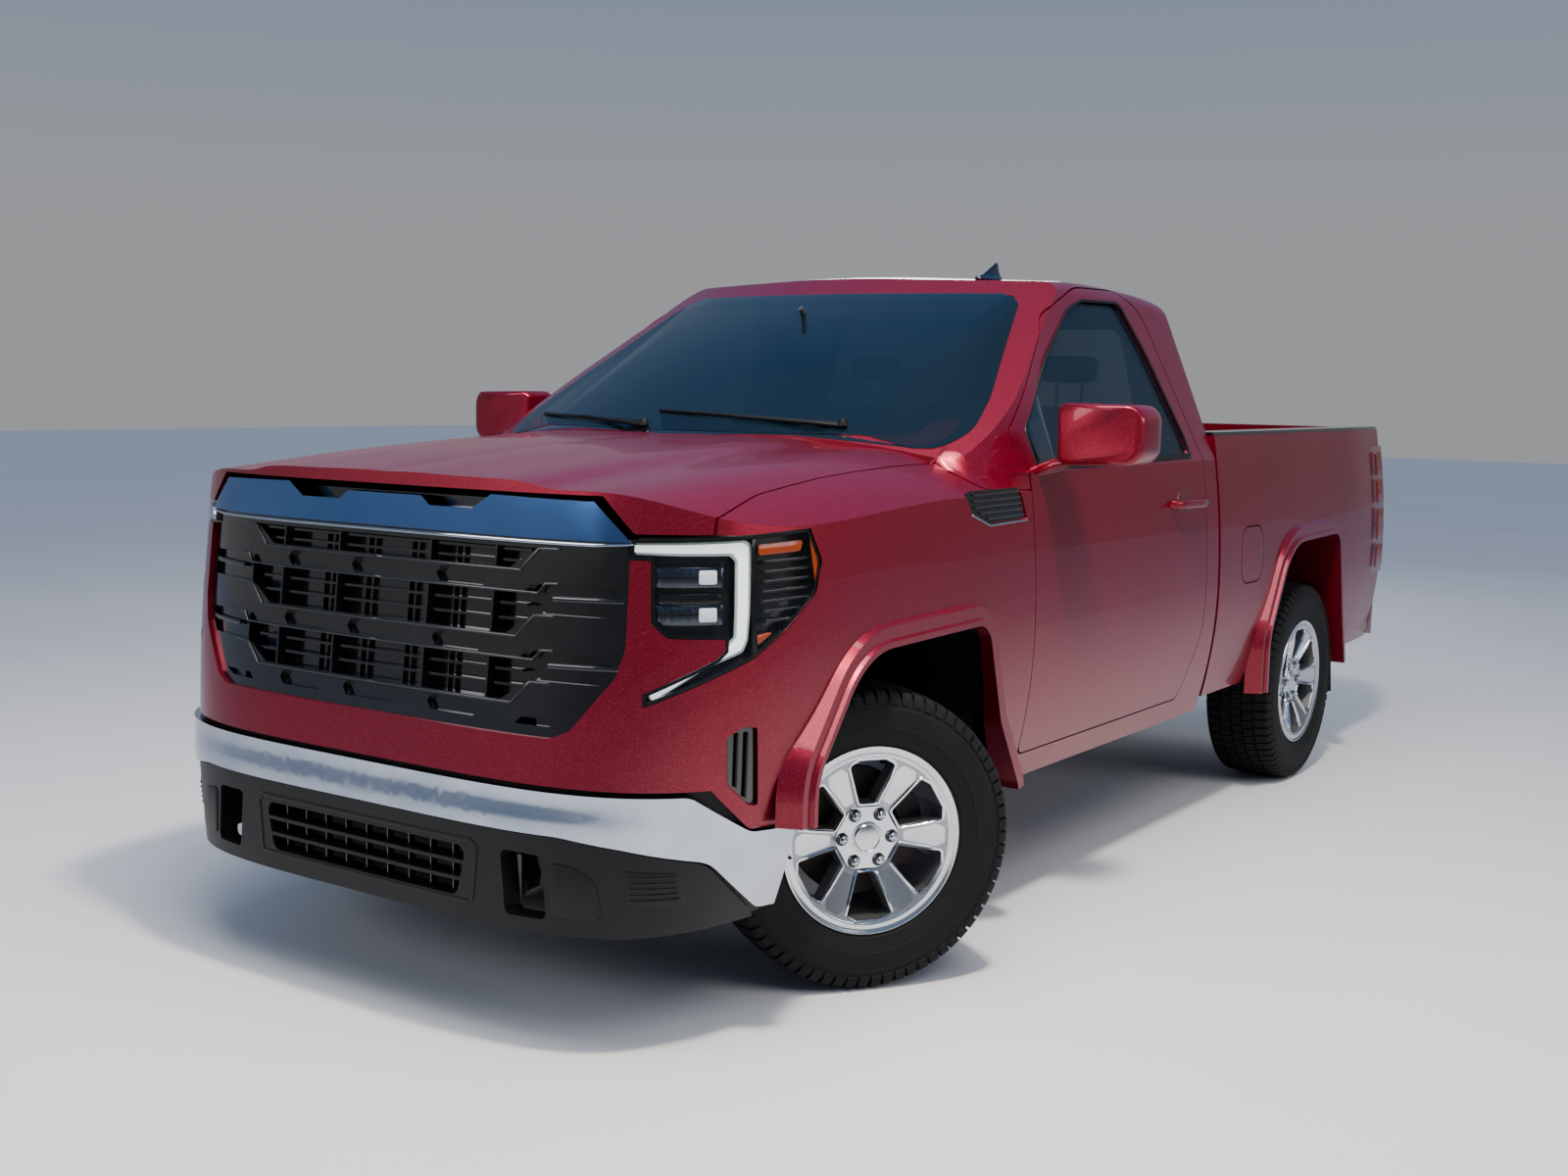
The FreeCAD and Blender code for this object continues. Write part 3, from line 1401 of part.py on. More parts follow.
def valance_shape():
    """Lower front panel: it stands forward below the chrome, with a mouth and a hook opening each side."""
    inset = size.fascia_wall + 3 * size.seat_gap
    low = size.valance_bottom
    shell = front_shell(inset, size.valance_wall, low, size.fascia_bottom + 20, 0)
    region = corner_prism([
        (-1200, size.fascia_bottom + 20), (110, size.fascia_bottom + 20), (230, size.bumper_drop - 10),
        (470, 500), (470, 330), (260, low), (-1200, low)])
    under = corner_prism([
        (-1200, low), (-1200, size.bumper_drop - 5), (-242, size.bumper_drop - 7, 200),
        (-103, 505, 200), (105, 462, 85), (228, 318), (240, low)])
    deep = inset + size.valance_proud + size.valance_wall / 4
    proud = front_shell(-size.valance_proud, deep, low, size.bumper_drop, 0).common(under)
    half = shell.common(region).fuse(proud).cut(front_arch(0, 0, FAR))
    hook = front_prism([(478, 326, 15), (590, 326, 15), (575, 478, 15), (463, 480, 15)], -1300, -700)
    vent = front_prism([(-5, 345), (330, 345, 25), (360, 470, 25), (-5, 470)], -1300, -700)
    bars = [half.common(block(0, 362, -FAR, FAR, z, z + 9)).common(vent) for z in (382, 424)]
    half = half.cut(hook).cut(vent).multiFuse(bars)
    top = size.rail_bottom + size.rail_height + 1
    rail = block(size.rail_inner - 1, size.rail_inner + size.rail_width + 1, -FAR, station(-700),
                 size.bumper_drop + size.running_gap - 1, top)
    return whole(half.cut(rail))


add_node("valance", valance_shape())


def radiator_shape():
    rear = -840 + size.crossmember_size
    low = size.rail_bottom + size.rail_height - size.crossmember_size
    core = block(-390, 390, station(rear + size.seat_gap), station(rear + 60), low, 1120)
    tie = block(-640, 640, station(rear + size.seat_gap), station(rear + 50), 1120, 1160)
    return core.fuse(tie)


add_node("radiator", radiator_shape())


# Doors

def door_body():
    """Lower door behind its skin, with a frame round the glass."""
    past = size.door_skin
    front = size.door_front_station - past
    rear = size.door_rear_station + past
    low = size.door_bottom - past
    belt = size.belt_height
    skin = side_solid(0, low, belt, front, rear)
    skin = skin.cut(side_solid(size.door_skin, low - past, belt + past, front - past, rear + past))
    skin = skin.common(side_prism(door_outline(0), 0, FAR))
    core = side_solid(size.door_skin - 1, low, belt, front, rear)
    core = core.cut(side_solid(size.door_thickness, low - past, belt + past, front - past, rear + past))
    core = core.common(side_prism(door_outline(-size.door_flange), 0, FAR))
    upper = greenhouse(0, belt).cut(greenhouse(size.frame_depth, belt - past))
    upper = upper.common(side_prism(door_outline(0), size.roof_rail_half, FAR))
    upper = upper.cut(side_prism(glass_outline(0), 100, FAR))
    upper = upper.common(block(0, FAR, -FAR, FAR, belt, FAR))
    return skin.fuse(core).fuse(upper).removeSplitter()


def door_glass():
    sheet_body = greenhouse(10, size.belt_height - 40).cut(greenhouse(10 + size.glass_thickness, size.belt_height - 45))
    return sheet_body.common(side_prism(glass_outline(-size.seat_gap), 100, FAR))


def mirror_body():
    """Mirror head on a short arm that meets the door's front upper corner."""
    front = size.mirror_front_station
    rear = front + size.mirror_depth
    low = size.mirror_bottom
    high = low + size.mirror_height
    inner = size.mirror_inner
    outer = inner + size.mirror_width
    face = prism("front", [(inner, low, 40), (outer - 24, low + 14, 55), (outer, high - 8, 60), (inner - 4, high, 40)],
                 -station(rear), -station(front))
    plan = prism("plan", [
        (inner - 10, station(front + 70), 20), (inner + 36, station(front + 12), 60), (outer - 70, station(front + 22), 90),
        (outer + 2, station(front + 100), 40), (outer + 2, station(rear - 20), 12), (inner - 10, station(rear - 36), 12)], low - 5, high + 5)
    head = face.common(plan)
    arm_low = low + 18
    lean_x = side_x(size.belt_height) - size.glass_lean * (arm_low + size.mirror_arm_height - size.belt_height)
    door_side = size.door_front_station
    arm = prism("plan", [
        (lean_x - 10, station(door_side + 4)), (inner + 34, station(front + 34)), (inner + 34, station(front + 90)),
        (lean_x - 10, station(door_side + 46))], arm_low, arm_low + size.mirror_arm_height)
    return head.fuse(arm).cut(door_filled())


def door_filled():
    return greenhouse(-size.seat_gap, size.belt_height - 20).common(block(0, FAR, -FAR, FAR, 0, FAR))


DOOR_LEFT = door_body()
GLASS_LEFT = door_glass()
MIRROR_LEFT = mirror_body()
for side_name, side in SIDES.items():
    for label, shape in (("door", DOOR_LEFT), ("door_glass", GLASS_LEFT), ("mirror", MIRROR_LEFT)):
        add_node(f"{label}_{side_name}", shape if side == LEFT else mirrored(shape))


# Bed

def bed_shape():
    front = size.bed_front_station
    rear = size.bed_rear_station
    high = size.bed_rail_height
    outer = tail_skin_solid(0, size.bed_bottom, high, front, rear)
    floor_low = size.bed_floor_top - size.bed_floor_wall
    post_front = rear - size.bed_post_length
    cavity = front_prism([(0, size.bed_floor_top), (size.bed_inner_half, size.bed_floor_top, 20),
                          (size.bed_rail_inner_half, high + 20), (0, high + 20)], front + size.bed_headboard, post_front)
    gate_half = size.tailgate_half_width + size.running_gap
    cavity = cavity.fuse(block(0, gate_half, station(post_front - 1), FAR, size.bed_floor_top, FAR))
    cavity = cavity.fuse(block(0, gate_half, station(rear - size.tailgate_inset - size.running_gap), FAR, 0, FAR))
    under_half = size.bed_inner_half - 20
    under = block(0, under_half, -FAR, FAR, 0, floor_low)
    body = outer.cut(cavity).cut(under)
    arch_cut = rear_arch(0, size.wheelhouse_inner_half + size.wheelhouse_wall, FAR)
    house = rear_arch(size.wheelhouse_wall, size.wheelhouse_inner_half, size.half_width - 50)
    house = house.common(block(0, FAR, -FAR, FAR, floor_low - 60, FAR))
    lip = flare(size.wheelbase, rear_arch_sizes())
    lip = lip.cut(tail_skin_solid(size.panel_wall, 200, 1400, front + 10, rear + 100))
    body = body.fuse(house).fuse(lip).cut(arch_cut)
    kick_top = size.rail_bottom + size.rail_height + size.rail_kick
    pitch = (rear - front - 260) / (size.sill_count - 1)
    for i in range(int(size.sill_count)):
        distance = front + 60 + i * pitch
        if abs(distance - size.wheelbase) < 560:
            continue
        sill_low = max(kick_top, size.rail_bottom + size.rail_height) + size.seat_gap
        body = body.fuse(block(0, under_half, station(distance), station(distance + 70), sill_low, floor_low + 1))
    body = body.cut(tail_lamp_space(size.seat_gap)).fuse(gate_bracket())
    body = whole(body)
    return body.cut(fuel_recess())


def gate_pin(radius, low_x, high_x):
    pivot = Vector(low_x, station(size.gate_pivot_station), size.gate_pivot_height)
    return Part.makeCylinder(radius, high_x - low_x, pivot, Vector(1, 0, 0))


def gate_bracket():
    """Left bracket at the bed's rear corner, bored for the tailgate's pin."""
    inner = size.tailgate_half_width + size.running_gap
    pivot = size.gate_pivot_station
    height = size.gate_pivot_height
    plate = block(inner, inner + size.gate_pin_length, station(size.bed_rear_station - 8), station(pivot + 16), height - 16, height + 16)
    return plate.cut(gate_pin(size.gate_pin_radius + size.seat_gap, inner - 5, inner + 2 * size.gate_pin_length))


def tail_lamp_space(grow):
    rear = size.bed_rear_station
    x_low = side_x(size.lamp_bottom) - size.tail_taper - size.lamp_inboard - grow
    return block(x_low, FAR, station(rear - size.lamp_along) - grow, FAR, size.lamp_bottom - grow, size.lamp_top + grow)


def fuel_outline(grow):
    low = size.fuel_door_bottom
    start = size.fuel_door_station
    end = start + size.fuel_door_length
    high = low + size.fuel_door_height
    radius = size.fuel_door_corner + grow
    return [(start - grow, low - grow, radius), (end + grow, low - grow, radius), (end + grow, high + grow, radius),
            (start - grow, high + grow, radius)]


def fuel_recess():
    depth = size.half_width - size.fuel_cup_depth
    return side_prism(fuel_outline(size.running_gap), depth, FAR)


add_node("bed", bed_shape())


def fuel_door_shape():
    skin = tail_skin_solid(0, 700, 1300, size.bed_front_station, 3200).cut(
        tail_skin_solid(size.fuel_door_wall, 690, 1310, size.bed_front_station - 5, 3210))
    skin = skin.common(side_prism(fuel_outline(0), 800, FAR))
    middle = size.fuel_door_bottom + size.fuel_door_height / 2
    face = side_x(middle) - size.fuel_door_wall
    edge = size.fuel_door_station - size.running_gap + size.seat_gap
    lug = block(face - 16, face + 4, station(edge), station(edge + 30), middle - 18, middle + 18)
    return skin.fuse(lug)


add_node("fuel_door", fuel_door_shape())


def tail_lamp_shape():
    rear = size.bed_rear_station
    body = tail_skin_solid(0, size.lamp_bottom, size.lamp_top, rear - size.lamp_along, rear + 60)
    body = body.common(tail_lamp_space(0))
    return both_sides(body)


add_node("taillamps", tail_lamp_shape())


def rail_cap_shape():
    low = size.bed_rail_height + size.seat_gap
    outer = tail_skin_solid(2, size.bed_rail_height - 40, 1460, size.bed_front_station, size.bed_rear_station)
    slab = block(size.bed_rail_inner_half - 4, FAR, -FAR, FAR, low, low + size.cap_height)
    return both_sides(outer.common(slab))


add_node("rail_caps", rail_cap_shape())


def tailgate_shape():
    """Tailgate with a raised border, a spoiler lip, a handle pocket and a pin at each lower corner."""
    half = size.tailgate_half_width
    rear = size.bed_rear_station - size.tailgate_inset
    thick = size.tailgate_thickness
    low = size.tailgate_bottom
    high = size.bed_rail_height + 6
    panel = front_prism([(-half, low, 20), (half, low, 20), (half, high, 20), (-half, high, 20)], rear, rear + thick)
    field = front_prism([(-half + 60, low + 70, 40), (half - 60, low + 70, 40), (half - 60, high - 190, 40), (-half + 60, high - 190, 40)],
                        rear + thick - 9, rear + thick + 5)
    pocket = front_prism([(-120, high - 150, 15), (120, high - 150, 15), (120, high - 75, 15), (-120, high - 75, 15)],
                         rear + thick - 24, rear + thick + 5)
    lip = side_prism([(rear + thick - 5, high - 62), (rear + thick + 10, high - 52), (rear + thick + 14, high - 6), (rear + thick - 5, high - 2)],
                     -half + 12, half - 12)
    pin = gate_pin(size.gate_pin_radius, half - 10, half + size.running_gap + size.gate_pin_length)
    return panel.cut(field).cut(pocket).multiFuse([lip, pin, mirrored(pin)])


add_node("tailgate", tailgate_shape())


def rear_bumper_shape():
    rear = size.wheelbase + size.rear_overhang
    low = size.rear_bumper_bottom
    high = size.rear_bumper_top
    front = size.bed_rear_station + size.panel_gap
    wall = size.rear_bumper_wall
    half = 960
    outer = prism("plan", [(-half, station(front)), (half, station(front)), (half, station(rear - 60), 50), (560, station(rear)),
                           (-560, station(rear)), (-half, station(rear - 60), 50)], low, high)
    inner = prism("plan", [(-half + wall, station(front) - 1), (half - wall, station(front) - 1), (half - wall, station(rear - 60 - wall), 50),
                           (520, station(rear - wall)), (-520, station(rear - wall)), (-half + wall, station(rear - 60 - wall), 50)], low - 1, high - 10)
    body = outer.cut(inner)
    return body


add_node("bumper_rear", rear_bumper_shape())


# Cabin

def seat_shape():
    front = size.seat_front_station
    half = size.seat_half_width
    top = size.seat_cushion_top
    low = size.cab_floor_height + size.floor_wall + size.seat_gap
    thick = size.seat_back_thickness
    rear = front + size.seat_length
    back_top = size.seat_back_top
    profile = [(front, low + 60, 20), (front + 60, low), (rear, low), (rear + 150, back_top - 20, 30),
               (rear + 150 - thick * 0.5, back_top, 30), (rear - thick, top + 20, 30), (front, top, 40)]
    bench = side_prism(profile, -half, half)
    pad = [(rear + 62, back_top + 22, 25), (rear + 148, back_top + 26, 25), (rear + 158, back_top + size.headrest_height, 28),
           (rear + 84, back_top + size.headrest_height + 12, 28)]
    pieces = []
    for x in (-size.headrest_x, size.headrest_x):
        pieces.append(side_prism(pad, x - size.headrest_half_width, x + size.headrest_half_width))
        for post in (x - 50, x + 50):
            pieces.append(Part.makeCylinder(7, 80, Vector(post, station(rear + 112), back_top - 40), Vector(0, 0, 1)))
    return bench.multiFuse(pieces)


add_node("seat", seat_shape())


def along_column(radius, near, far):
    """Cylinder about the steering axis between two distances ahead of the wheel's centre."""
    tilt = math.radians(size.steering_tilt)
    axis = Vector(0, math.cos(tilt), math.sin(tilt))
    centre = Vector(size.steering_x, station(size.steering_station), size.steering_height)
    return Part.makeCylinder(radius, far - near, centre - axis * far, axis)


def dashboard_shape():
    front = size.firewall_station + size.cab_wall + size.seat_gap
    profile = [(front, size.dash_bottom), (size.dash_station - 70, size.dash_bottom, 40), (size.dash_station, size.dash_bottom + 190, 40),
               (size.dash_station - 30, size.dash_top, 50), (front, size.dash_top - 20)]
    half = side_x(size.widest_height) - size.door_thickness - 40
    near = size.boss_depth + size.shroud_gap
    body = side_prism(profile, -half, half).fuse(along_column(size.shroud_radius, near, size.column_length + 12))
    return body.cut(along_column(size.column_radius + size.seat_gap, near - 5, size.column_length + 5))


add_node("dashboard", dashboard_shape())


def steering_axis():
    tilt = math.radians(size.steering_tilt)
    return Vector(0, math.cos(tilt), math.sin(tilt))


def steering_wheel_shape():
    axis = steering_axis()
    centre = Vector(size.steering_x, station(size.steering_station), size.steering_height)
    rim = Part.makeTorus(size.steering_radius, size.steering_tube, centre, axis)
    boss = Part.makeCylinder(62, size.boss_depth + 6, centre - axis * size.boss_depth, axis)
    shape = rim.fuse(boss)
    across = Vector(1, 0, 0)
    for direction in (across, across * -1, axis.cross(across) * -1):
        shape = shape.fuse(Part.makeCylinder(12, size.steering_radius, centre - axis * 8, direction))
    return shape.fuse(along_column(size.column_radius, size.boss_depth - 5, size.column_length))


add_node("steering_wheel", steering_wheel_shape())


# Check every object, then write each sub-part to its own file

doc.recompute()
for item in doc.Objects:
    if "Invalid" in item.State or "Error" in item.State:
        raise RuntimeError(f"{item.Label} did not compute: {item.State}")
os.makedirs("parts", exist_ok=True)
for item in NODES:
    shape = item.Shape
    if shape.isNull() or not shape.isValid():
        raise RuntimeError(f"{item.Label} has no valid shape")
for item in NODES:
    item.Shape.exportStep(f"parts/{item.Label}.step")
    print(item.Label, len(item.Shape.Solids), round(item.Shape.Volume / 1e6, 2))
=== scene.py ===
"""Looks of a full-size pickup truck: finishes, wheels, lamps, grille, cabin and trim.

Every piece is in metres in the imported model's frame: +X to the driver's side, +Y to the tail, +Z up,
with the origin on the ground half-way along the truck. Stations are counted from the front axle.
"""
import json
import logging
import math
from dataclasses import dataclass, field
from enum import Enum
from typing import Callable, Sequence

import bmesh
import bpy
from mathutils import Matrix, Vector


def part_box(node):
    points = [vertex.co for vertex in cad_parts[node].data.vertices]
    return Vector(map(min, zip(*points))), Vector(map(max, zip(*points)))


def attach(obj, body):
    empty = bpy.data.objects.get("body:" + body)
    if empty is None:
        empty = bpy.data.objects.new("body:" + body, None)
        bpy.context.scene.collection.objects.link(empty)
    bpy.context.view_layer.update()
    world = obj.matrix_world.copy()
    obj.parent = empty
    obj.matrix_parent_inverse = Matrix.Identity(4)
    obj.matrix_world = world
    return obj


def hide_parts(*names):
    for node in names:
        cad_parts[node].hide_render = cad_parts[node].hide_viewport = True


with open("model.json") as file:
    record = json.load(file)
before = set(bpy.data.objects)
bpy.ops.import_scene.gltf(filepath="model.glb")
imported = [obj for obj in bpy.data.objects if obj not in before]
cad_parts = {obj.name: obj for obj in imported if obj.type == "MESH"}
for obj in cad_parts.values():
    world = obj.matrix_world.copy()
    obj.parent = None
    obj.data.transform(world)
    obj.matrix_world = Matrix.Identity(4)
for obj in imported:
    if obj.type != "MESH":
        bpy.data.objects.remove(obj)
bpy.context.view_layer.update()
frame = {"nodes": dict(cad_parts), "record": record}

LOG = logging.getLogger("pickup")
MM = 0.001
BEVEL_FROM_DEG = 35
REAR_AXLE = 3198.0

Point = tuple[float, float, float]
Point2 = tuple[float, float]
Outline = tuple[Point, ...]
Corners = Sequence[Sequence[float]]


# Colour and node helpers

def linear(code: str) -> tuple[float, float, float, float]:
    """Turn an sRGB hex colour into Blender's linear colour.

    Args:
        code: colour such as "#a01020".

    Returns:
        Red, green, blue and alpha, each from 0 to 1.
    """
    parts = [int(code[i:i + 2], 16) / 255 for i in (1, 3, 5)]
    red, green, blue = [c / 12.92 if c <= 0.04045 else ((c + 0.055) / 1.055) ** 2.4 for c in parts]
    return red, green, blue, 1.0


def add(tree: bpy.types.NodeTree, kind: str, settings: dict | None = None,
        links: dict | None = None) -> bpy.types.Node:
    """Add one node to a tree.

    Args:
        tree: the tree that gets the node.
        kind: Blender's name of the node's type.
        settings: the node's own properties by name, and input values by index or socket name.
        links: output sockets of other nodes, by the index or name of the input they feed.

    Returns:
        The new node.
    """
    node = tree.nodes.new(kind)
    for name, value in (settings or {}).items():
        if isinstance(name, str) and hasattr(node, name):
            setattr(node, name, value)
        else:
            node.inputs[name].default_value = value
    for name, socket in (links or {}).items():
        tree.links.new(socket, node.inputs[name])
    return node


def ramp(tree: bpy.types.NodeTree, source: bpy.types.NodeSocket,
         stops: Sequence[tuple[float, str]]) -> bpy.types.NodeSocket:
    """Colour ramp between hex colours.

    Args:
        tree: the material's tree.
        source: the socket that drives the ramp.
        stops: pairs of position and hex colour, in order.

    Returns:
        The ramp's colour output.
    """
    node = add(tree, "ShaderNodeValToRGB", links={"Fac": source})
    elements = node.color_ramp.elements
    while len(elements) < len(stops):
        elements.new(0.5)
    for element, (position, code) in zip(elements, stops):
        element.position = position
        element.color = linear(code)
    return node.outputs["Color"]


def position_nodes(tree: bpy.types.NodeTree) -> bpy.types.NodeSocket:
    """Object coordinates, which are metres in the truck's frame."""
    return add(tree, "ShaderNodeTexCoord").outputs["Object"]


# Finishes: each is named for the real material and how its surface was made, or for the light painted into it

@dataclass(frozen=True)
class Finish:
    """One surface finish.

    The grain is a noise of a real size that roughens the surface. The second colour mixes in by broad
    soft patches, and the roughness swings with them, as dust and handling make it do.
    """

    name: str
    colour: str
    second: str
    roughness: float
    metallic: float = 0.0
    grain_mm: float = 1.0
    grain_depth_mm: float = 0.0
    patch_mm: float = 220.0
    roughness_swing: float = 0.06
    coat: float = 0.0
    coat_roughness: float = 0.03
    ior: float = 1.5
    alpha: float = 1.0
    sheen: float = 0.0
    glow: float = 0.0
    specular: float = 0.5

    def build(self) -> bpy.types.Material:
        """Make the material.

        Returns:
            The finished node material.
        """
        material = bpy.data.materials.new(self.name)
        material.use_nodes = True
        tree = material.node_tree
        tree.nodes.clear()
        place = position_nodes(tree)
        shader = add(tree, "ShaderNodeBsdfPrincipled", {"Metallic": self.metallic})
        if self.metallic < 0.5:
            shader.inputs["IOR"].default_value = self.ior
            shader.inputs["Specular IOR Level"].default_value = self.specular
        if self.coat:
            shader.inputs["Coat Weight"].default_value = self.coat
            shader.inputs["Coat Roughness"].default_value = self.coat_roughness
        if self.alpha < 1:
            shader.inputs["Alpha"].default_value = self.alpha
        if self.sheen:
            shader.inputs["Sheen Weight"].default_value = self.sheen
        if self.glow:
            shader.inputs["Emission Color"].default_value = linear(self.colour)
            shader.inputs["Emission Strength"].default_value = self.glow
        patches = add(tree, "ShaderNodeTexNoise",
                      {"Scale": 1 / (self.patch_mm * MM), "Detail": 3.0, "Roughness": 0.6}, {"Vector": place})
        colour = ramp(tree, patches.outputs["Fac"], ((0.35, self.colour), (0.72, self.second)))
        tree.links.new(colour, shader.inputs["Base Color"])
        swing = add(tree, "ShaderNodeMapRange",
                    {"To Min": max(0.0, self.roughness - self.roughness_swing),
                     "To Max": self.roughness + self.roughness_swing}, {"Value": patches.outputs["Fac"]})
        tree.links.new(swing.outputs["Result"], shader.inputs["Roughness"])
        if self.grain_depth_mm:
            grain = add(tree, "ShaderNodeTexNoise",
                        {"Scale": 1 / (self.grain_mm * MM), "Detail": 2.0}, {"Vector": place})
            bump = add(tree, "ShaderNodeBump", {"Distance": self.grain_depth_mm * MM, "Strength": 0.6},
                       {"Height": grain.outputs["Fac"]})
            tree.links.new(bump.outputs["Normal"], shader.inputs["Normal"])
        add(tree, "ShaderNodeOutputMaterial", links={"Surface": shader.outputs["BSDF"]})
        return material


@dataclass(frozen=True)
class CandyPaint(Finish):
    """Metallic base coat under a clear coat: flakes glint below, and the coat has a faint peel."""

    flake_mm: float = 1.6
    flake_share: float = 0.14
    flake_strength: float = 0.22
    peel_mm: float = 14.0
    peel_depth_mm: float = 0.02
    flake_colour: str = "#ff5a70"

    def build(self) -> bpy.types.Material:
        """Make the paint: base, flakes and clear coat.

        Returns:
            The finished node material.
        """
        material = super().build()
        tree = material.node_tree
        shader = next(n for n in tree.nodes if n.bl_idname == "ShaderNodeBsdfPrincipled")
        place = position_nodes(tree)
        base = shader.inputs["Base Color"].links[0].from_socket
        flakes = add(tree, "ShaderNodeTexVoronoi", {"Scale": 1 / (self.flake_mm * MM)}, {"Vector": place})
        glint = add(tree, "ShaderNodeMapRange",
                    {"From Min": 1 - self.flake_share, "From Max": 1.0, "To Max": self.flake_strength},
                    {"Value": add(tree, "ShaderNodeSeparateColor",
                                  links={"Color": flakes.outputs["Color"]}).outputs["Red"]})
        mix = add(tree, "ShaderNodeMix", {"data_type": "RGBA"}, {"Factor": glint.outputs["Result"]})
        tree.links.new(base, mix.inputs[6])
        mix.inputs[7].default_value = linear(self.flake_colour)
        tree.links.new(mix.outputs[2], shader.inputs["Base Color"])
        peel = add(tree, "ShaderNodeTexNoise", {"Scale": 1 / (self.peel_mm * MM), "Detail": 1.0},
                   {"Vector": place})
        skin = add(tree, "ShaderNodeBump", {"Distance": self.peel_depth_mm * MM, "Strength": 0.25},
                   {"Height": peel.outputs["Fac"]})
        tree.links.new(skin.outputs["Normal"], shader.inputs["Coat Normal"])
        return material


class Finishes(Enum):
    """The truck's finishes by name."""

    # Deep candy red: dark body, sharp reflections and fine glints
    PAINT = CandyPaint("red_clearcoat_paint", "#780020", "#6c001c", 0.31, metallic=0.7,
                       coat=0.4, coat_roughness=0.015, patch_mm=900)
    # Bright mirror that takes the colours round it
    CHROME = Finish("chrome_plate", "#b9c0c9", "#a9b1bc", 0.045, metallic=1.0, patch_mm=160,
                    roughness_swing=0.03)
    # Dull black whose moulded grain breaks up the light
    BLACK_TRIM = Finish("grained_black_pp", "#070708", "#0b0c0d", 0.46, grain_mm=1.6, grain_depth_mm=0.2,
                        specular=0.25)
    # Black with sharp highlights
    GLOSS_BLACK = Finish("gloss_black_abs", "#040506", "#07080a", 0.16, coat=0.6, coat_roughness=0.05)
    # Dark blue-green pane through which the cabin shows dimly
    GLASS = Finish("tinted_safety_glass", "#07131c", "#0a1822", 0.015, patch_mm=600, roughness_swing=0.005,
                   ior=1.52, alpha=0.55)
    # Hardly seen apart from its highlights
    LENS = Finish("clear_polycarbonate", "#0a0c0e", "#0d0f12", 0.02, roughness_swing=0.01, ior=1.58,
                  alpha=0.16)
    # Deep red with a wet shine
    TAIL_LENS = Finish("red_acrylic_lens", "#5c060c", "#4c0409", 0.12, coat=0.4, coat_roughness=0.03)
    # Matt black, a little dusty in patches
    TYRE = Finish("tyre_rubber", "#080809", "#0d0e0f", 0.72, grain_mm=3.0, grain_depth_mm=0.3, patch_mm=90,
                  specular=0.2)
    # Silver with soft broad highlights
    RIM = Finish("painted_cast_aluminium", "#9a9da1", "#8d9095", 0.30, metallic=0.9, grain_mm=0.8,
                 grain_depth_mm=0.04, patch_mm=70)
    # Rough brown-grey
    DARK_METAL = Finish("dark_cast_iron", "#2b2a29", "#3c332c", 0.55, metallic=0.7, grain_mm=4.0,
                        grain_depth_mm=0.4, patch_mm=60)
    # Uneven black, half dull
    CHASSIS = Finish("waxed_frame_steel", "#0f0f10", "#1d1b19", 0.45, metallic=0.2, grain_mm=9.0,
                     grain_depth_mm=0.5, patch_mm=120)
    # Grey with a sandy grain
    ENGINE = Finish("sand_cast_aluminium", "#6d6e70", "#57585a", 0.5, metallic=0.8, grain_mm=2.0,
                    grain_depth_mm=0.3)
    # Grey-brown, tinted by heat
    EXHAUST = Finish("dull_stainless_steel", "#8b857c", "#6a5e50", 0.38, metallic=0.95, patch_mm=110)
    # Dark weave with a soft pale edge
    CLOTH = Finish("woven_seat_cloth", "#1b1c1f", "#26272b", 0.9, grain_mm=2.2, grain_depth_mm=0.5, sheen=0.4)
    # Dark grain without shine
    CABIN = Finish("grained_soft_pvc", "#191a1c", "#222327", 0.6, grain_mm=2.0, grain_depth_mm=0.2)
    # The same red painted darker: painted shade for recesses where little light falls
    RED_PAINTED_SHADE = CandyPaint("red_clearcoat_painted_shade", "#680017", "#5e0014", 0.42, metallic=0.7,
                             coat=1.0, coat_roughness=0.03, patch_mm=900)
    # Sharp bright edges along the spokes
    RIM_BRIGHT = Finish("polished_rib_aluminium", "#d9dcdf", "#cdd0d4", 0.12, metallic=1.0, patch_mm=60)
    # Bright rings with a thin sheen
    MACHINED = Finish("turned_aluminium", "#d0d3d6", "#c2c5c9", 0.16, metallic=1.0, patch_mm=90)
    # Half-dull black in which the lit parts stand out
    LAMP_BLACK = Finish("satin_black_lamp_housing", "#0a0b0d", "#111317", 0.28, coat=0.3, coat_roughness=0.1)
    # Mirror tinted blue: a painted reflection of the sky's blue, as seen from the camera's place
    CHROME_PAINTED_SKY = Finish("chrome_with_painted_sky_blue", "#5c86c4", "#5079b4", 0.12, metallic=1.0, patch_mm=300)
    # Smoky mirror
    CHROME_DARK = Finish("smoked_chrome", "#6f757c", "#5b6067", 0.10, metallic=1.0, patch_mm=60)
    # Pale colour on the clear guide's edge: painted glow
    LIGHT_GUIDE = Finish("light_guide_painted_glow", "#b9cfc4", "#c9dbd2", 0.10, coat=0.6)
    # Even white light
    LED_WHITE = Finish("lit_white_diffuser", "#fbfdff", "#f4f8fb", 0.3, glow=1.5)
    # Bright lens with a hard highlight
    LED_LENS = Finish("lit_projector_lens", "#eef4fb", "#dfe9f4", 0.08, coat=0.8, glow=0.35)
    # Unlit orange
    AMBER = Finish("amber_acrylic", "#b8480c", "#a03c08", 0.15, coat=0.6)
    # Milky white
    LENS_WHITE = Finish("white_ribbed_lens", "#d9dde0", "#cfd3d6", 0.12, coat=0.7)
    # Clean flat mirror
    MIRROR_GLASS = Finish("silvered_mirror_glass", "#c8ced4", "#c2c8ce", 0.02, metallic=1.0,
                          roughness_swing=0.01)
    # Plain dull black
    PLATE = Finish("plain_plate_holder", "#1a1b1d", "#202123", 0.5)


SHOP: dict[Finishes, bpy.types.Material] = {}


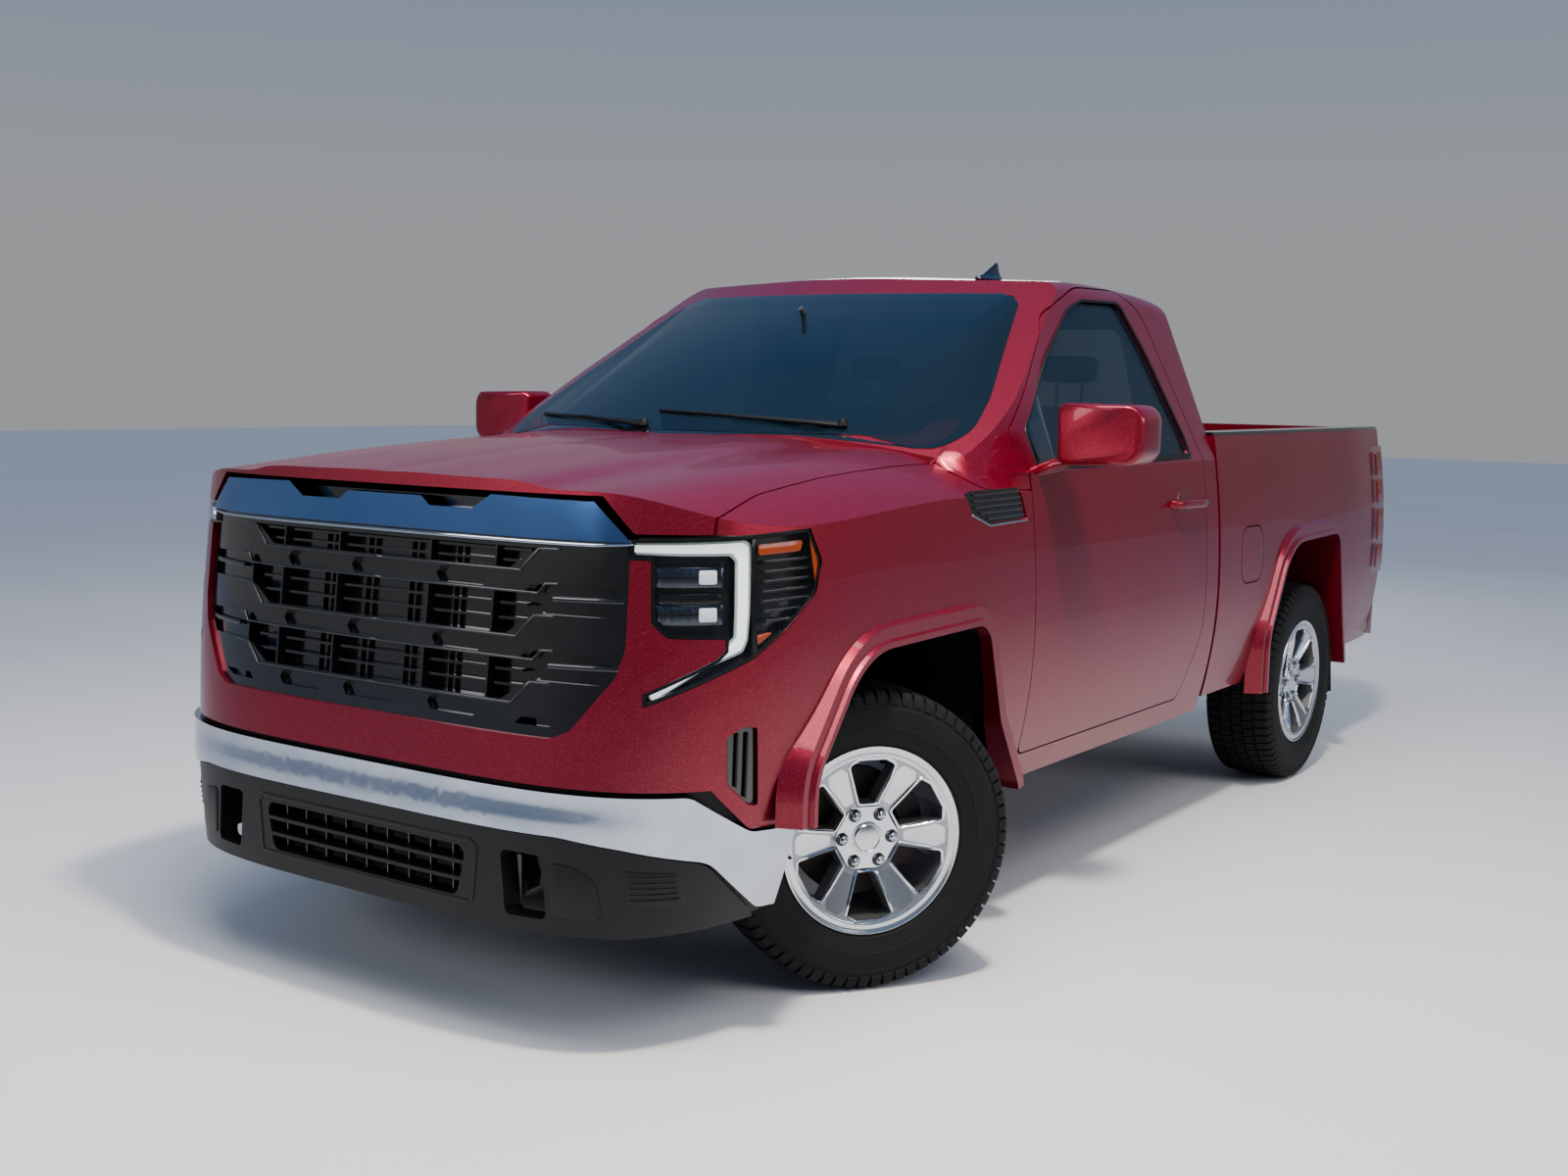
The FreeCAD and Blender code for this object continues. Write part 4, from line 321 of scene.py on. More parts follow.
def material(finish: Finishes) -> bpy.types.Material:
    """The finish's material, built the first time it is asked for.

    Args:
        finish: one of the truck's finishes.

    Returns:
        The material.
    """
    if finish not in SHOP:
        SHOP[finish] = finish.value.build()
    return SHOP[finish]


# The finishes of each material slot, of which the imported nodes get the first, and the nodes that get another

SLOT_FINISHES = {
    "red_paint": (Finishes.PAINT, Finishes.RED_PAINTED_SHADE),
    "chrome": (Finishes.CHROME, Finishes.CHROME_DARK, Finishes.MIRROR_GLASS),
    "black_trim": (Finishes.BLACK_TRIM, Finishes.PLATE),
    "glass": (Finishes.GLASS,),
    "lamp_lens": (Finishes.GLOSS_BLACK, Finishes.LIGHT_GUIDE, Finishes.LED_WHITE, Finishes.LED_LENS,
                  Finishes.LENS, Finishes.AMBER, Finishes.LENS_WHITE),
    "gloss_black": (Finishes.GLOSS_BLACK, Finishes.LAMP_BLACK),
    "tail_lens": (Finishes.TAIL_LENS,),
    "tyre": (Finishes.TYRE,),
    "rim": (Finishes.RIM, Finishes.RIM_BRIGHT, Finishes.MACHINED),
    "chassis": (Finishes.CHASSIS,),
    "cast_iron": (Finishes.DARK_METAL,),
    "engine": (Finishes.ENGINE,),
    "exhaust": (Finishes.EXHAUST,),
    "seat_cloth": (Finishes.CLOTH,),
    "cabin_plastic": (Finishes.CABIN,),
}
FINISH_SLOT = {finish: slot for slot, finishes in SLOT_FINISHES.items() for finish in finishes}
# The grille's trim gets chrome tinted with a painted reflection of the blue sky
NODE_FINISH = {"grille_trim": Finishes.CHROME_PAINTED_SKY, "rail_caps": Finishes.GLOSS_BLACK}


def dress_nodes() -> None:
    """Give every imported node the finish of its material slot."""
    for part in frame["record"]["subparts"]:
        node = frame["nodes"][part["node"]]
        node.data.materials.clear()
        finish = NODE_FINISH.get(part["node"], SLOT_FINISHES[part["material_slot"]][0])
        node.data.materials.append(material(finish))


# Solids as points and faces, in millimetres, turned into pieces at the end

@dataclass
class Solid:
    """Points and faces that grow by joining, before they become one piece."""

    points: list[Vector] = field(default_factory=list)
    faces: list[tuple[int, ...]] = field(default_factory=list)

    def join(self, *others: "Solid") -> "Solid":
        """Add other solids to this one, which is returned.

        Args:
            others: what is added.

        Returns:
            This solid.
        """
        for other in others:
            start = len(self.points)
            self.points.extend(p.copy() for p in other.points)
            self.faces.extend(tuple(i + start for i in f) for f in other.faces)
        return self

    def mapped(self, move: Callable[[Vector], Vector]) -> "Solid":
        """Copy whose points go through a function."""
        return Solid([move(p) for p in self.points], list(self.faces))

    def turned(self, matrix: Matrix) -> "Solid":
        """Copy moved by a matrix."""
        return self.mapped(lambda p: matrix @ p)

    def mirrored(self) -> "Solid":
        """Mirror image across the truck's middle plane."""
        return Solid([Vector((-p.x, p.y, p.z)) for p in self.points],
                     [tuple(reversed(f)) for f in self.faces])

    def both(self) -> "Solid":
        """This solid and its mirror image."""
        return Solid().join(self, self.mirrored())


def rounded(corners: Corners, pace: float = 9.0) -> list[Point2]:
    """Closed outline with its corners rounded and its long sides divided.

    Args:
        corners: points as (u, v) or (u, v, radius).
        pace: longest distance between two points of the result. One longer than every side divides none.

    Returns:
        Points of the outline.
    """
    result: list[Vector] = []
    count = len(corners)
    arc_parts = 5
    for i, corner in enumerate(corners):
        here = Vector(corner[:2])
        back = Vector(corners[i - 1][:2]) - here
        on = Vector(corners[(i + 1) % count][:2]) - here
        radius = corner[2] if len(corner) > 2 else 0.0
        if not radius:
            result.append(here)
            continue
        half = back.angle(on) / 2
        reach = min(radius / math.tan(half), 0.48 * back.length, 0.48 * on.length)
        first = here + back.normalized() * reach
        last = here + on.normalized() * reach
        for k in range(arc_parts + 1):
            t = k / arc_parts
            result.append(first * (1 - t) ** 2 + here * 2 * t * (1 - t) + last * t ** 2)
    dense: list[Point2] = []
    for i, here in enumerate(result):
        after = result[(i + 1) % len(result)]
        parts = max(1, math.ceil((after - here).length / pace))
        dense.extend(tuple(here.lerp(after, k / parts)) for k in range(parts))
    return dense


def rect(u0: float, v0: float, u1: float, v1: float, radius: float = 0.0) -> list[Point]:
    """Corners of a rectangle, all with one radius."""
    return [(u0, v0, radius), (u0, v1, radius), (u1, v1, radius), (u1, v0, radius)]


def sheet_grid(outline: Sequence[Point2], pace_u: float, pace_v: float) -> Solid:
    """Flat face inside an outline, divided by lines so that it can follow a curved skin.

    Args:
        outline: points (u, v).
        pace_u: distance between the lines across u.
        pace_v: distance between the lines across v.

    Returns:
        The divided face at a depth of zero.
    """
    work = bmesh.new()
    work.faces.new([work.verts.new((u, v, 0)) for u, v in outline])
    for axis, pace in ((0, pace_u), (1, pace_v)):
        values = [p[axis] for p in outline]
        cut = min(values) + pace
        while cut < max(values) - 0.2 * pace:
            place = Vector((cut, 0, 0)) if axis == 0 else Vector((0, cut, 0))
            normal = Vector((1, 0, 0)) if axis == 0 else Vector((0, 1, 0))
            bmesh.ops.bisect_plane(work, geom=work.verts[:] + work.edges[:] + work.faces[:], dist=1e-4,
                                   plane_co=place, plane_no=normal)
            cut += pace
    work.verts.index_update()
    flat = Solid([v.co.copy() for v in work.verts], [tuple(v.index for v in f.verts) for f in work.faces])
    work.free()
    return flat


def thick(sheet: Solid, outer: Callable[[Vector], Vector], inner: Callable[[Vector], Vector]) -> Solid:
    """Closed solid between two images of a flat sheet.

    Args:
        sheet: flat faces.
        outer: function that places the outer face's points.
        inner: function that places the inner face's points.

    Returns:
        The solid, with walls along the sheet's border.
    """
    count = len(sheet.points)
    used: dict[tuple[int, int], int] = {}
    for face in sheet.faces:
        for a, b in zip(face, face[1:] + face[:1]):
            used[(a, b)] = used.get((a, b), 0) + 1
    border = [(a, b) for a, b in used if (b, a) not in used]
    points = [outer(p) for p in sheet.points] + [inner(p) for p in sheet.points]
    faces = list(sheet.faces) + [tuple(i + count for i in reversed(f)) for f in sheet.faces]
    faces += [(b, a, a + count, b + count) for a, b in border]
    return Solid(points, faces)


def box(low: Point, high: Point) -> Solid:
    """Box between two corners.

    Args:
        low: its lowest corner.
        high: its highest corner.

    Returns:
        The box.
    """
    (a, b, c), (d, e, f) = low, high
    corners = ((a, b, c), (d, b, c), (d, e, c), (a, e, c), (a, b, f), (d, b, f), (d, e, f), (a, e, f))
    points = [Vector(p) for p in corners]
    return Solid(points, [(0, 3, 2, 1), (4, 5, 6, 7), (0, 1, 5, 4), (1, 2, 6, 5), (2, 3, 7, 6), (3, 0, 4, 7)])


def slab(outline: Sequence[Point2], place: Callable[[float, float, float], Point], near: float,
         far: float) -> Solid:
    """Straight extrusion of an outline.

    Args:
        outline: points (u, v).
        place: turns (u, v, depth) into a point.
        near: depth of the first face.
        far: depth of the last face.

    Returns:
        The closed solid.
    """
    count = len(outline)
    points = [Vector(place(u, v, near)) for u, v in outline] + [Vector(place(u, v, far)) for u, v in outline]
    faces = [tuple(range(count)), tuple(reversed(range(count, 2 * count)))]
    faces += [((i + 1) % count, i, i + count, (i + 1) % count + count) for i in range(count)]
    return Solid(points, faces)


def upright(corners: Corners, near: float, far: float, pace: float = 9.0) -> Solid:
    """Flat plate across the truck with rounded corners.

    Args:
        corners: outline in (x, z), with radii.
        near: Y of its front face.
        far: Y of its back face.
        pace: distance between points on long sides.

    Returns:
        The plate.
    """
    return slab(rounded(corners, pace), lambda u, v, d: (u, d, v), near, far)


def lathe(profile: Sequence[Point2], steps: int = 96, closed: bool = True) -> Solid:
    """Solid of revolution about X.

    Args:
        profile: (x, radius) points; a radius of zero closes on the axis.
        steps: points round the circle.
        closed: whether the last point joins the first, as on a hollow ring.

    Returns:
        The solid.
    """
    points: list[Vector] = []
    rings: list[list[int]] = []
    for x, radius in profile:
        if radius < 1e-6:
            rings.append([len(points)] * steps)
            points.append(Vector((x, 0, 0)))
            continue
        rings.append(list(range(len(points), len(points) + steps)))
        for k in range(steps):
            angle = 2 * math.pi * k / steps
            points.append(Vector((x, -radius * math.sin(angle), radius * math.cos(angle))))
    faces = []
    count = len(rings)
    for i in range(count if closed else count - 1):
        one, two = rings[i], rings[(i + 1) % count]
        for k in range(steps):
            n = (k + 1) % steps
            corners = [one[k], two[k], two[n], one[n]]
            unique = list(dict.fromkeys(corners))
            if len(unique) > 2:
                faces.append(tuple(unique))
    return Solid(points, faces)


def tube(path: Sequence[Point], radius: float | Sequence[float], sides: int = 12) -> Solid:
    """Round bar along a path, closed at both ends.

    Args:
        path: points of its middle line.
        radius: one radius, or one for each point.
        sides: points round the bar.

    Returns:
        The bar.
    """
    line = [Vector(p) for p in path]
    radii = [radius] * len(line) if isinstance(radius, (int, float)) else list(radius)
    points: list[Vector] = []
    side = None
    for i, here in enumerate(line):
        along = (line[min(i + 1, len(line) - 1)] - line[max(i - 1, 0)]).normalized()
        if side is None:
            side = along.orthogonal().normalized()
        side = (side - along * side.dot(along)).normalized()
        other = along.cross(side)
        for k in range(sides):
            angle = 2 * math.pi * k / sides
            points.append(here + (side * math.cos(angle) + other * math.sin(angle)) * radii[i])
    faces: list[tuple[int, ...]] = [tuple(reversed(range(sides)))]
    for i in range(len(line) - 1):
        for k in range(sides):
            n = (k + 1) % sides
            faces.append((i * sides + k, i * sides + n, (i + 1) * sides + n, (i + 1) * sides + k))
    last = (len(line) - 1) * sides
    faces.append(tuple(range(last, last + sides)))
    return Solid(points, faces)


def loft(sections: Sequence[Sequence[Point]]) -> Solid:
    """Skin over closed sections with the same number of points, capped at both ends.

    Args:
        sections: the sections in order.

    Returns:
        The closed solid.
    """
    size = len(sections[0])
    points = [Vector(p) for section in sections for p in section]
    faces: list[tuple[int, ...]] = [tuple(reversed(range(size)))]
    for i in range(len(sections) - 1):
        for k in range(size):
            n = (k + 1) % size
            faces.append((i * size + k, i * size + n, (i + 1) * size + n, (i + 1) * size + k))
    last = (len(sections) - 1) * size
    faces.append(tuple(range(last, last + size)))
    return Solid(points, faces)


def to_mesh(name: str, solid: Solid, scale: float = MM) -> bpy.types.Mesh:
    """Mesh in metres with its doubles joined and its normals outwards.

    Args:
        name: the mesh's name.
        solid: its form.
        scale: metres in one of the solid's units.

    Returns:
        The mesh.
    """
    mesh = bpy.data.meshes.new(name)
    mesh.from_pydata([tuple(p * scale) for p in solid.points], [], solid.faces)
    work = bmesh.new()
    work.from_mesh(mesh)
    bmesh.ops.remove_doubles(work, verts=work.verts[:], dist=1e-6)
    bmesh.ops.recalc_face_normals(work, faces=work.faces[:])
    work.to_mesh(mesh)
    work.free()
    return mesh


def linked(name: str, data: bpy.types.ID) -> bpy.types.Object:
    """New object in the scene.

    Args:
        name: its name.
        data: its mesh, camera or light.

    Returns:
        The object.
    """
    item = bpy.data.objects.new(name, data)
    bpy.context.scene.collection.objects.link(item)
    return item


def painted(item: bpy.types.Object, finish: Finishes) -> None:
    """Name an object's mesh after it, give it one finish and smooth its faces.

    Args:
        item: the object.
        finish: its finish.
    """
    item.data.name = item.name
    item.data.materials.clear()
    item.data.materials.append(material(finish))
    item.data.shade_smooth()


def applied(item: bpy.types.Object) -> None:
    """Put the result of an object's modifiers into its own mesh.

    Args:
        item: the object, which keeps no modifier.
    """
    graph = bpy.context.evaluated_depsgraph_get()
    done = bpy.data.meshes.new_from_object(item.evaluated_get(graph))
    item.modifiers.clear()
    old = item.data
    item.data = done
    bpy.data.meshes.remove(old)


def piece(name: str, solid: Solid, finish: Finishes, body: str = "root", bevel: float = 0.0,
          smooth_deg: float = 32.0, stands_for: Sequence[str] = (), cuts: Solid | None = None,
          levels: int = 0) -> bpy.types.Object:
    """Make one piece of the visual model.

    Args:
        name: the piece's name.
        solid: its form in millimetres.
        finish: its finish.
        body: the body that it moves with.
        bevel: width of the softened edges in millimetres.
        smooth_deg: edges sharper than this stay sharp.
        stands_for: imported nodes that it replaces.
        cuts: solids that are cut out of it first.
        levels: rounds of subdivision.

    Returns:
        The new object.
    """
    item = linked(name, to_mesh(name, solid))
    if cuts:
        cutter = linked(name + "_cutter", to_mesh(name + "_cutter", cuts))
        cut = item.modifiers.new("cut", "BOOLEAN")
        cut.object = cutter
        cut.solver = "EXACT"
        applied(item)
        bpy.data.objects.remove(cutter)
    if bevel:
        edge = item.modifiers.new("edge", "BEVEL")
        edge.width = bevel * MM
        edge.segments = 2
        edge.limit_method = "ANGLE"
        edge.angle_limit = math.radians(BEVEL_FROM_DEG)
        applied(item)
    if levels:
        item.modifiers.new("smooth", "SUBSURF").levels = levels
        applied(item)
    painted(item, finish)
    item.data.set_sharp_from_angle(angle=math.radians(smooth_deg))
    if stands_for:
        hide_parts(*stands_for)
    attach(item, body)
    LOG.info("%s: %d faces", name, len(item.data.polygons))
    return item


# Geometry Nodes: one group sets copies on a ring, the other on a grid

def copies_tree(name: str, inputs: Sequence[tuple[str, str]]) -> tuple[bpy.types.NodeTree, bpy.types.Node]:
    """New group with a Geometry input and output, and the given named inputs.

    Args:
        name: the group's name.
        inputs: name and socket type of each input.

    Returns:
        The group and its input node.
    """
    tree = bpy.data.node_groups.new(name, "GeometryNodeTree")
    tree.interface.new_socket("Geometry", in_out="INPUT", socket_type="NodeSocketGeometry")
    for label, kind in inputs:
        tree.interface.new_socket(label, in_out="INPUT", socket_type=kind)
    tree.interface.new_socket("Geometry", in_out="OUTPUT", socket_type="NodeSocketGeometry")
    return tree, add(tree, "NodeGroupInput")


def finish_copies(tree: bpy.types.NodeTree, given: bpy.types.Node, copies: bpy.types.Node) -> None:
    """Realize the instances, set their material and send them out.

    Args:
        tree: the group.
        given: its input node.
        copies: the node that makes the instances.
    """
    real = add(tree, "GeometryNodeRealizeInstances", links={"Geometry": copies.outputs["Instances"]})
    painted = add(tree, "GeometryNodeSetMaterial",
                  links={"Geometry": real.outputs["Geometry"], "Material": given.outputs["Material"]})
    add(tree, "NodeGroupOutput", links={"Geometry": painted.outputs["Geometry"]})


def ring_tree() -> bpy.types.NodeTree:
    """Copies turned about X, evenly round the full circle.

    Returns:
        The group.
    """
    tree, given = copies_tree("ring_of_copies", (
        ("Count", "NodeSocketInt"), ("Material", "NodeSocketMaterial")))
    places = add(tree, "GeometryNodePoints", links={"Count": given.outputs["Count"]})
    share = add(tree, "ShaderNodeMath", {"operation": "DIVIDE"},
                {0: add(tree, "GeometryNodeInputIndex").outputs[0], 1: given.outputs["Count"]})
    angle = add(tree, "ShaderNodeMath", {"operation": "MULTIPLY", 1: 2 * math.pi}, {0: share.outputs[0]})
    turn = add(tree, "FunctionNodeEulerToRotation",
               links={0: add(tree, "ShaderNodeCombineXYZ", links={"X": angle.outputs[0]}).outputs[0]})
    copies = add(tree, "GeometryNodeInstanceOnPoints",
                 links={"Points": places.outputs[0], "Instance": given.outputs["Geometry"],
                        "Rotation": turn.outputs[0]})
    finish_copies(tree, given, copies)
    return tree


def grid_tree() -> bpy.types.NodeTree:
    """Copies on a flat grid in X and Y, whose middle is the origin.

    Returns:
        The group.
    """
    tree, given = copies_tree("grid_of_copies", (
        ("Width", "NodeSocketFloat"), ("Height", "NodeSocketFloat"), ("Columns", "NodeSocketInt"),
        ("Rows", "NodeSocketInt"), ("Material", "NodeSocketMaterial")))
    net = add(tree, "GeometryNodeMeshGrid", links={
        "Size X": given.outputs["Width"], "Size Y": given.outputs["Height"],
        "Vertices X": given.outputs["Columns"], "Vertices Y": given.outputs["Rows"]})
    copies = add(tree, "GeometryNodeInstanceOnPoints",
                 links={"Points": net.outputs["Mesh"], "Instance": given.outputs["Geometry"]})
    finish_copies(tree, given, copies)
    return tree


TREES: dict[str, bpy.types.NodeTree] = {}


def copied(solid: Solid, kind: str, finish: Finishes, **values: float) -> Solid:
    """Copies of a solid made by one of the two node groups.

    Args:
        solid: what is copied, in millimetres.
        kind: "ring" or "grid".
        finish: the copies' finish.
        values: the group's other inputs by name.

    Returns:
        All copies as one solid.
    """
    if kind not in TREES:
        TREES[kind] = ring_tree() if kind == "ring" else grid_tree()
    tree = TREES[kind]
    item = linked("copies", to_mesh("copies", solid, 1.0))
    live = item.modifiers.new("copies", "NODES")
    live.node_group = tree
    names = {s.name: s.identifier for s in tree.interface.items_tree if s.in_out == "INPUT"}
    for label, value in values.items():
        live[names[label]] = value
    live[names["Material"]] = material(finish)
    applied(item)
    mesh = item.data
    result = Solid([v.co.copy() for v in mesh.vertices], [tuple(f.vertices) for f in mesh.polygons])
    bpy.data.objects.remove(item)
    bpy.data.meshes.remove(mesh)
    return result


# The body's outer surface, as the CAD source lays it out

@dataclass(frozen=True)
class Skin:
    """Plan curve of the nose and tuck of the sides, in millimetres and stations."""

    axle_y: float = -1687.5
    half_width: float = 1003.0
    nose_depth: float = 989.0
    power: float = 4.1
    lean: float = 0.11
    lean_height: float = 540.0
    widest_height: float = 880.0
    upper_tuck: Point2 = (45.0, 520.0)
    lower_tuck: Point2 = (62.0, 450.0)

    def side_inset(self, height: float) -> float:
        """How far the side lies inside its widest line."""
        depth, rise = self.upper_tuck if height > self.widest_height else self.lower_tuck
        return depth * ((height - self.widest_height) / rise) ** 2

    def at_angle(self, angle: float, height: float, inset: float) -> Vector:
        """Point of the nose at a plan angle in degrees; 0 is the side at the front axle.

        Args:
            angle: the plan angle.
            height: the point's height.
            inset: how far it lies inside the outer surface.

        Returns:
            The point, with its station as Y.
        """
        c, s = math.cos(math.radians(angle)), math.sin(math.radians(angle))
        wide, deep, power = self.half_width, self.nose_depth, self.power
        reach = (abs(c / wide) ** power + abs(s / deep) ** power) ** (-1 / power)
        x, y = reach * c, -reach * s
        normal = Vector((math.copysign(abs(x / wide) ** (power - 1) / wide, c),
                         -abs(y / deep) ** (power - 1) / deep, 0)).normalized()
        ahead = normal.y ** 2
        leaned = self.lean * max(0.0, height - self.lean_height)
        depth = ahead * leaned + (1 - ahead) * self.side_inset(height) + inset
        return Vector((x - normal.x * depth, y - normal.y * depth, height))

    def solve(self, wanted: float, height: float, inset: float, key: Callable[[Vector], float]) -> Vector:
        """Point of the nose where a quantity that falls with the plan angle has the wanted value.

        Args:
            wanted: the value.
            height: the point's height.
            inset: how far it lies inside the outer surface.
            key: gives the quantity at a point.

        Returns:
            The point in the truck's frame.
        """
        low, high = 0.0, 175.0
        for _ in range(22):
            middle = (low + high) / 2
            if key(self.at_angle(middle, height, inset)) > wanted:
                low = middle
            else:
                high = middle
        return self.placed(self.at_angle(low, height, inset))

    def placed(self, point: Vector) -> Vector:
        """Station turned into the frame's Y."""
        return Vector((point.x, point.y + self.axle_y, point.z))

    def front(self, x: float, height: float, inset: float) -> Vector:
        """Point of the nose at this X."""
        return self.solve(x, height, inset, lambda p: p.x)

    def corner(self, w: float, height: float, inset: float) -> Vector:
        """Point of the left front corner at w = (x + station) / sqrt(2)."""
        return self.solve(w, height, inset, lambda p: (p.x + p.y) / math.sqrt(2))

    def side(self, station: float, height: float, inset: float) -> Vector:
        """Point of the left side at this station.

        Args:
            station: distance behind the front axle.
            height: the point's height.
            inset: how far it lies inside the outer surface.

        Returns:
            The point in the truck's frame.
        """
        if station < 0:
            return self.solve(station, height, inset, lambda p: p.y)
        return self.placed(Vector((self.half_width - self.side_inset(height) - inset, station, height)))

    def plate(self, view: Callable[[float, float, float], Vector], corners: Corners,
              outer: float, inner: float, pace: float = 16.0) -> Solid:
        """Solid that follows the skin between two insets.

        Args:
            view: self.front, self.corner or self.side.
            corners: outline in that view, with corner radii.
            outer: inset of the outer face; below zero it stands proud.
            inner: inset of the inner face.
            pace: distance between its dividing lines.

        Returns:
            The solid.
        """
        flat = sheet_grid(rounded(corners, pace), pace, 3 * pace)
        return thick(flat, lambda p: view(p.x, p.y, outer), lambda p: view(p.x, p.y, inner))


SKIN = Skin()


# Wheels

@dataclass(frozen=True)
class Wheel:
    """Tyre and rim dressing of one wheel, in its own frame: outer face towards +X, hub at the origin."""

    tyre_radius: float = 400.8
    carcass_radius: float = 390.0
    tread_pitches: int = 68
    window_count: int = 6
    nut_circle: float = 69.85
    centre_height: float = 401.0
    half_track: float = 865.0
    kingpin: float = 800.0
    steered_deg: float = -35.0

    def place(self, side: int, station: float, turned: bool) -> Matrix:
        """Matrix from the wheel's frame to the truck's, in millimetres.

        Args:
            side: 1 for the left side and -1 for the right.
            station: the axle's station.
            turned: whether the wheel is steered as in the photo.

        Returns:
            The matrix.
        """
        y = station + SKIN.axle_y
        matrix = Matrix.Translation((side * self.half_track, y, self.centre_height))
        if side < 0:
            matrix = matrix @ Matrix.Rotation(math.pi, 4, "Z")
        if turned:
            pivot = Matrix.Translation((side * self.kingpin, y, 0))
            steer = Matrix.Rotation(math.radians(self.steered_deg), 4, "Z")
            matrix = pivot @ steer @ pivot.inverted() @ matrix
        return matrix

    def crown(self, x: float) -> float:
        """Tread radius at this distance from the middle plane."""
        return self.tyre_radius - 9.0 * (abs(x) / 122.0) ** 3

    def carcass(self) -> Solid:
        """Hollow tyre with rim protector and thin rings on its sidewalls.

        Returns:
            The carcass.
        """
        half = ((100, 231), (109, 234), (114.5, 243), (119.5, 256), (122.5, 258), (124.5, 264), (124.5, 274),
                (125.5, 276.5), (128.0, 288), (129.6, 297), (130.9, 298), (131.2, 301), (130.6, 302),
                (131.6, 316), (132.2, 327), (131.8, 336), (131.0, 345), (131.6, 346), (131.4, 349),
                (130.4, 350), (127.5, 363), (123, 374), (116, 382), (100, 387),
                (60, self.carcass_radius - 0.6), (0, self.carcass_radius))
        inside = ((0, 379), (80, 377), (112, 362), (119, 325), (116, 290), (96, 252))
        far_side = [(-x, r) for x, r in (*reversed(half[:-1]), *reversed(inside[1:]))]
        return lathe([*half, *far_side, *inside], 144)

    def block(self, low: float, high: float, start: float, end: float, skew: float) -> Solid:
        """One tread block between two widths and two angles in degrees.

        Args:
            low: X of one side.
            high: X of the other side.
            start: angle of its first edge.
            end: angle of its last edge.
            skew: degrees by which it leans for each millimetre of width.

        Returns:
            The block, whose hidden foot is wider than its top.
        """
        points = []
        for grow, deep in ((0.0, False), (1.6, True)):
            for x, angle in ((low, start), (high, start), (high, end), (low, end)):
                side = 1 if x == high else -1
                spread = 0.18 if angle == end else -0.18
                turn = math.radians(angle + skew * (x - (low + high) / 2) + (spread if deep else 0))
                radius = self.carcass_radius - 6 if deep else self.crown(x)
                points.append(Vector((x + side * grow, -radius * math.sin(turn), radius * math.cos(turn))))
        walls = [(0, 4, 5, 1), (1, 5, 6, 2), (2, 6, 7, 3), (3, 7, 4, 0)]
        return Solid(points, [(0, 1, 2, 3), (7, 6, 5, 4), *walls])

    def tread(self) -> Solid:
        """Ring of tread blocks in five rows; a fine sipe cuts each block of the inner three.

        Returns:
            The blocks of the whole tyre.
        """
        pitch = 360.0 / self.tread_pitches
        half_sipe = 0.09
        rows = ((-17, 17, 0.0, 0.012), (26, 62, 0.35, -0.022), (-62, -26, 0.6, -0.022))
        one = Solid()
        for low, high, shift, skew in rows:
            start = shift * pitch
            middle = start + 0.41 * pitch
            one.join(self.block(low, high, start, middle - half_sipe, skew),
                     self.block(low, high, middle + half_sipe, start + 0.84 * pitch, skew))
        for side in (-1, 1):
            start = (0.15 if side > 0 else 0.5) * pitch
            one.join(self.shoulder(side, start, start + 0.80 * pitch))
        return copied(one, "ring", Finishes.TYRE, Count=self.tread_pitches)

    def shoulder(self, side: int, start: float, end: float) -> Solid:
        """Shoulder block that runs over the edge and down the sidewall.

        Args:
            side: 1 or -1, the edge it lies on.
            start: angle of its first edge.
            end: angle of its last edge.

        Returns:
            The block.
        """
        path = ((71, self.crown(71), 384), (100, self.crown(100), 382), (116, self.crown(116), 378),
                (124.5, 385, 375), (129.5, 373, 368), (130.9, 363, 361))
        points, faces = [], []
        for x, top, low in path:
            trim = 0.18 if x > 120 else 0.0
            first, last = start + trim, end - trim
            for radius, angle in ((top, first), (top, last), (low, last), (low, first)):
                turn = math.radians(angle)
                width = x - 3.5 if radius == low and x > 110 else x
                points.append(Vector((side * width, -radius * math.sin(turn), radius * math.cos(turn))))
        for i in range(len(path) - 1):
            for k in range(4):
                n = (k + 1) % 4
                faces.append((4 * i + k, 4 * i + n, 4 * i + 4 + n, 4 * i + 4 + k))
        faces += [(3, 2, 1, 0), tuple(range(4 * len(path) - 4, 4 * len(path)))]
        return Solid(points, faces)

    def face(self, radius: float) -> float:
        """Height of the cast face above the wheel's middle plane."""
        return 83.0 + (radius - 87.0) * 34.0 / 133.0

    def window_ribs(self) -> Solid:
        """Raised bead round each window, which gives every spoke its two ribs.

        Returns:
            The beads of all windows.
        """
        outline = rounded(((-28, 88, 14), (-69, 198, 14), (-40, 217, 12), (40, 217, 12), (69, 198, 14),
                           (28, 88, 14)), 12.0)
        wide, high, sides = 5.6, 7.5, 5
        count = len(outline)
        points, faces = [], []
        for i, here in enumerate(outline):
            along = (Vector(outline[(i + 1) % count]) - Vector(outline[i - 1])).normalized()
            out = Vector((-along.y, along.x))
            radius = math.hypot(*here)
            crest = high * min(1.0, max(0.15, (222 - radius) / 60))
            for shift, lift in ((-wide, -3.0), (-wide * 0.75, crest * 0.75), (-wide * 0.45, crest),
                                (wide * 0.35, crest * 0.9), (wide, -3.0)):
                u, v = here[0] + out.x * shift, here[1] + out.y * shift
                points.append(Vector((self.face(math.hypot(u, v)) + lift, u, v)))
        for i in range(count):
            n = (i + 1) % count
            for k in range(sides):
                m = (k + 1) % sides
                faces.append((sides * i + k, sides * n + k, sides * n + m, sides * i + m))
        return copied(Solid(points, faces), "ring", Finishes.RIM, Count=self.window_count)

    def lip(self) -> Solid:
        """Machined outer flange and the step down to the spokes."""
        return lathe(((108.5, 222), (117.2, 221), (119.6, 226), (118.4, 231), (119.0, 240), (122.0, 244.5),
                      (122.4, 248.5), (119.4, 250.2), (110, 250), (107, 246)), 144)

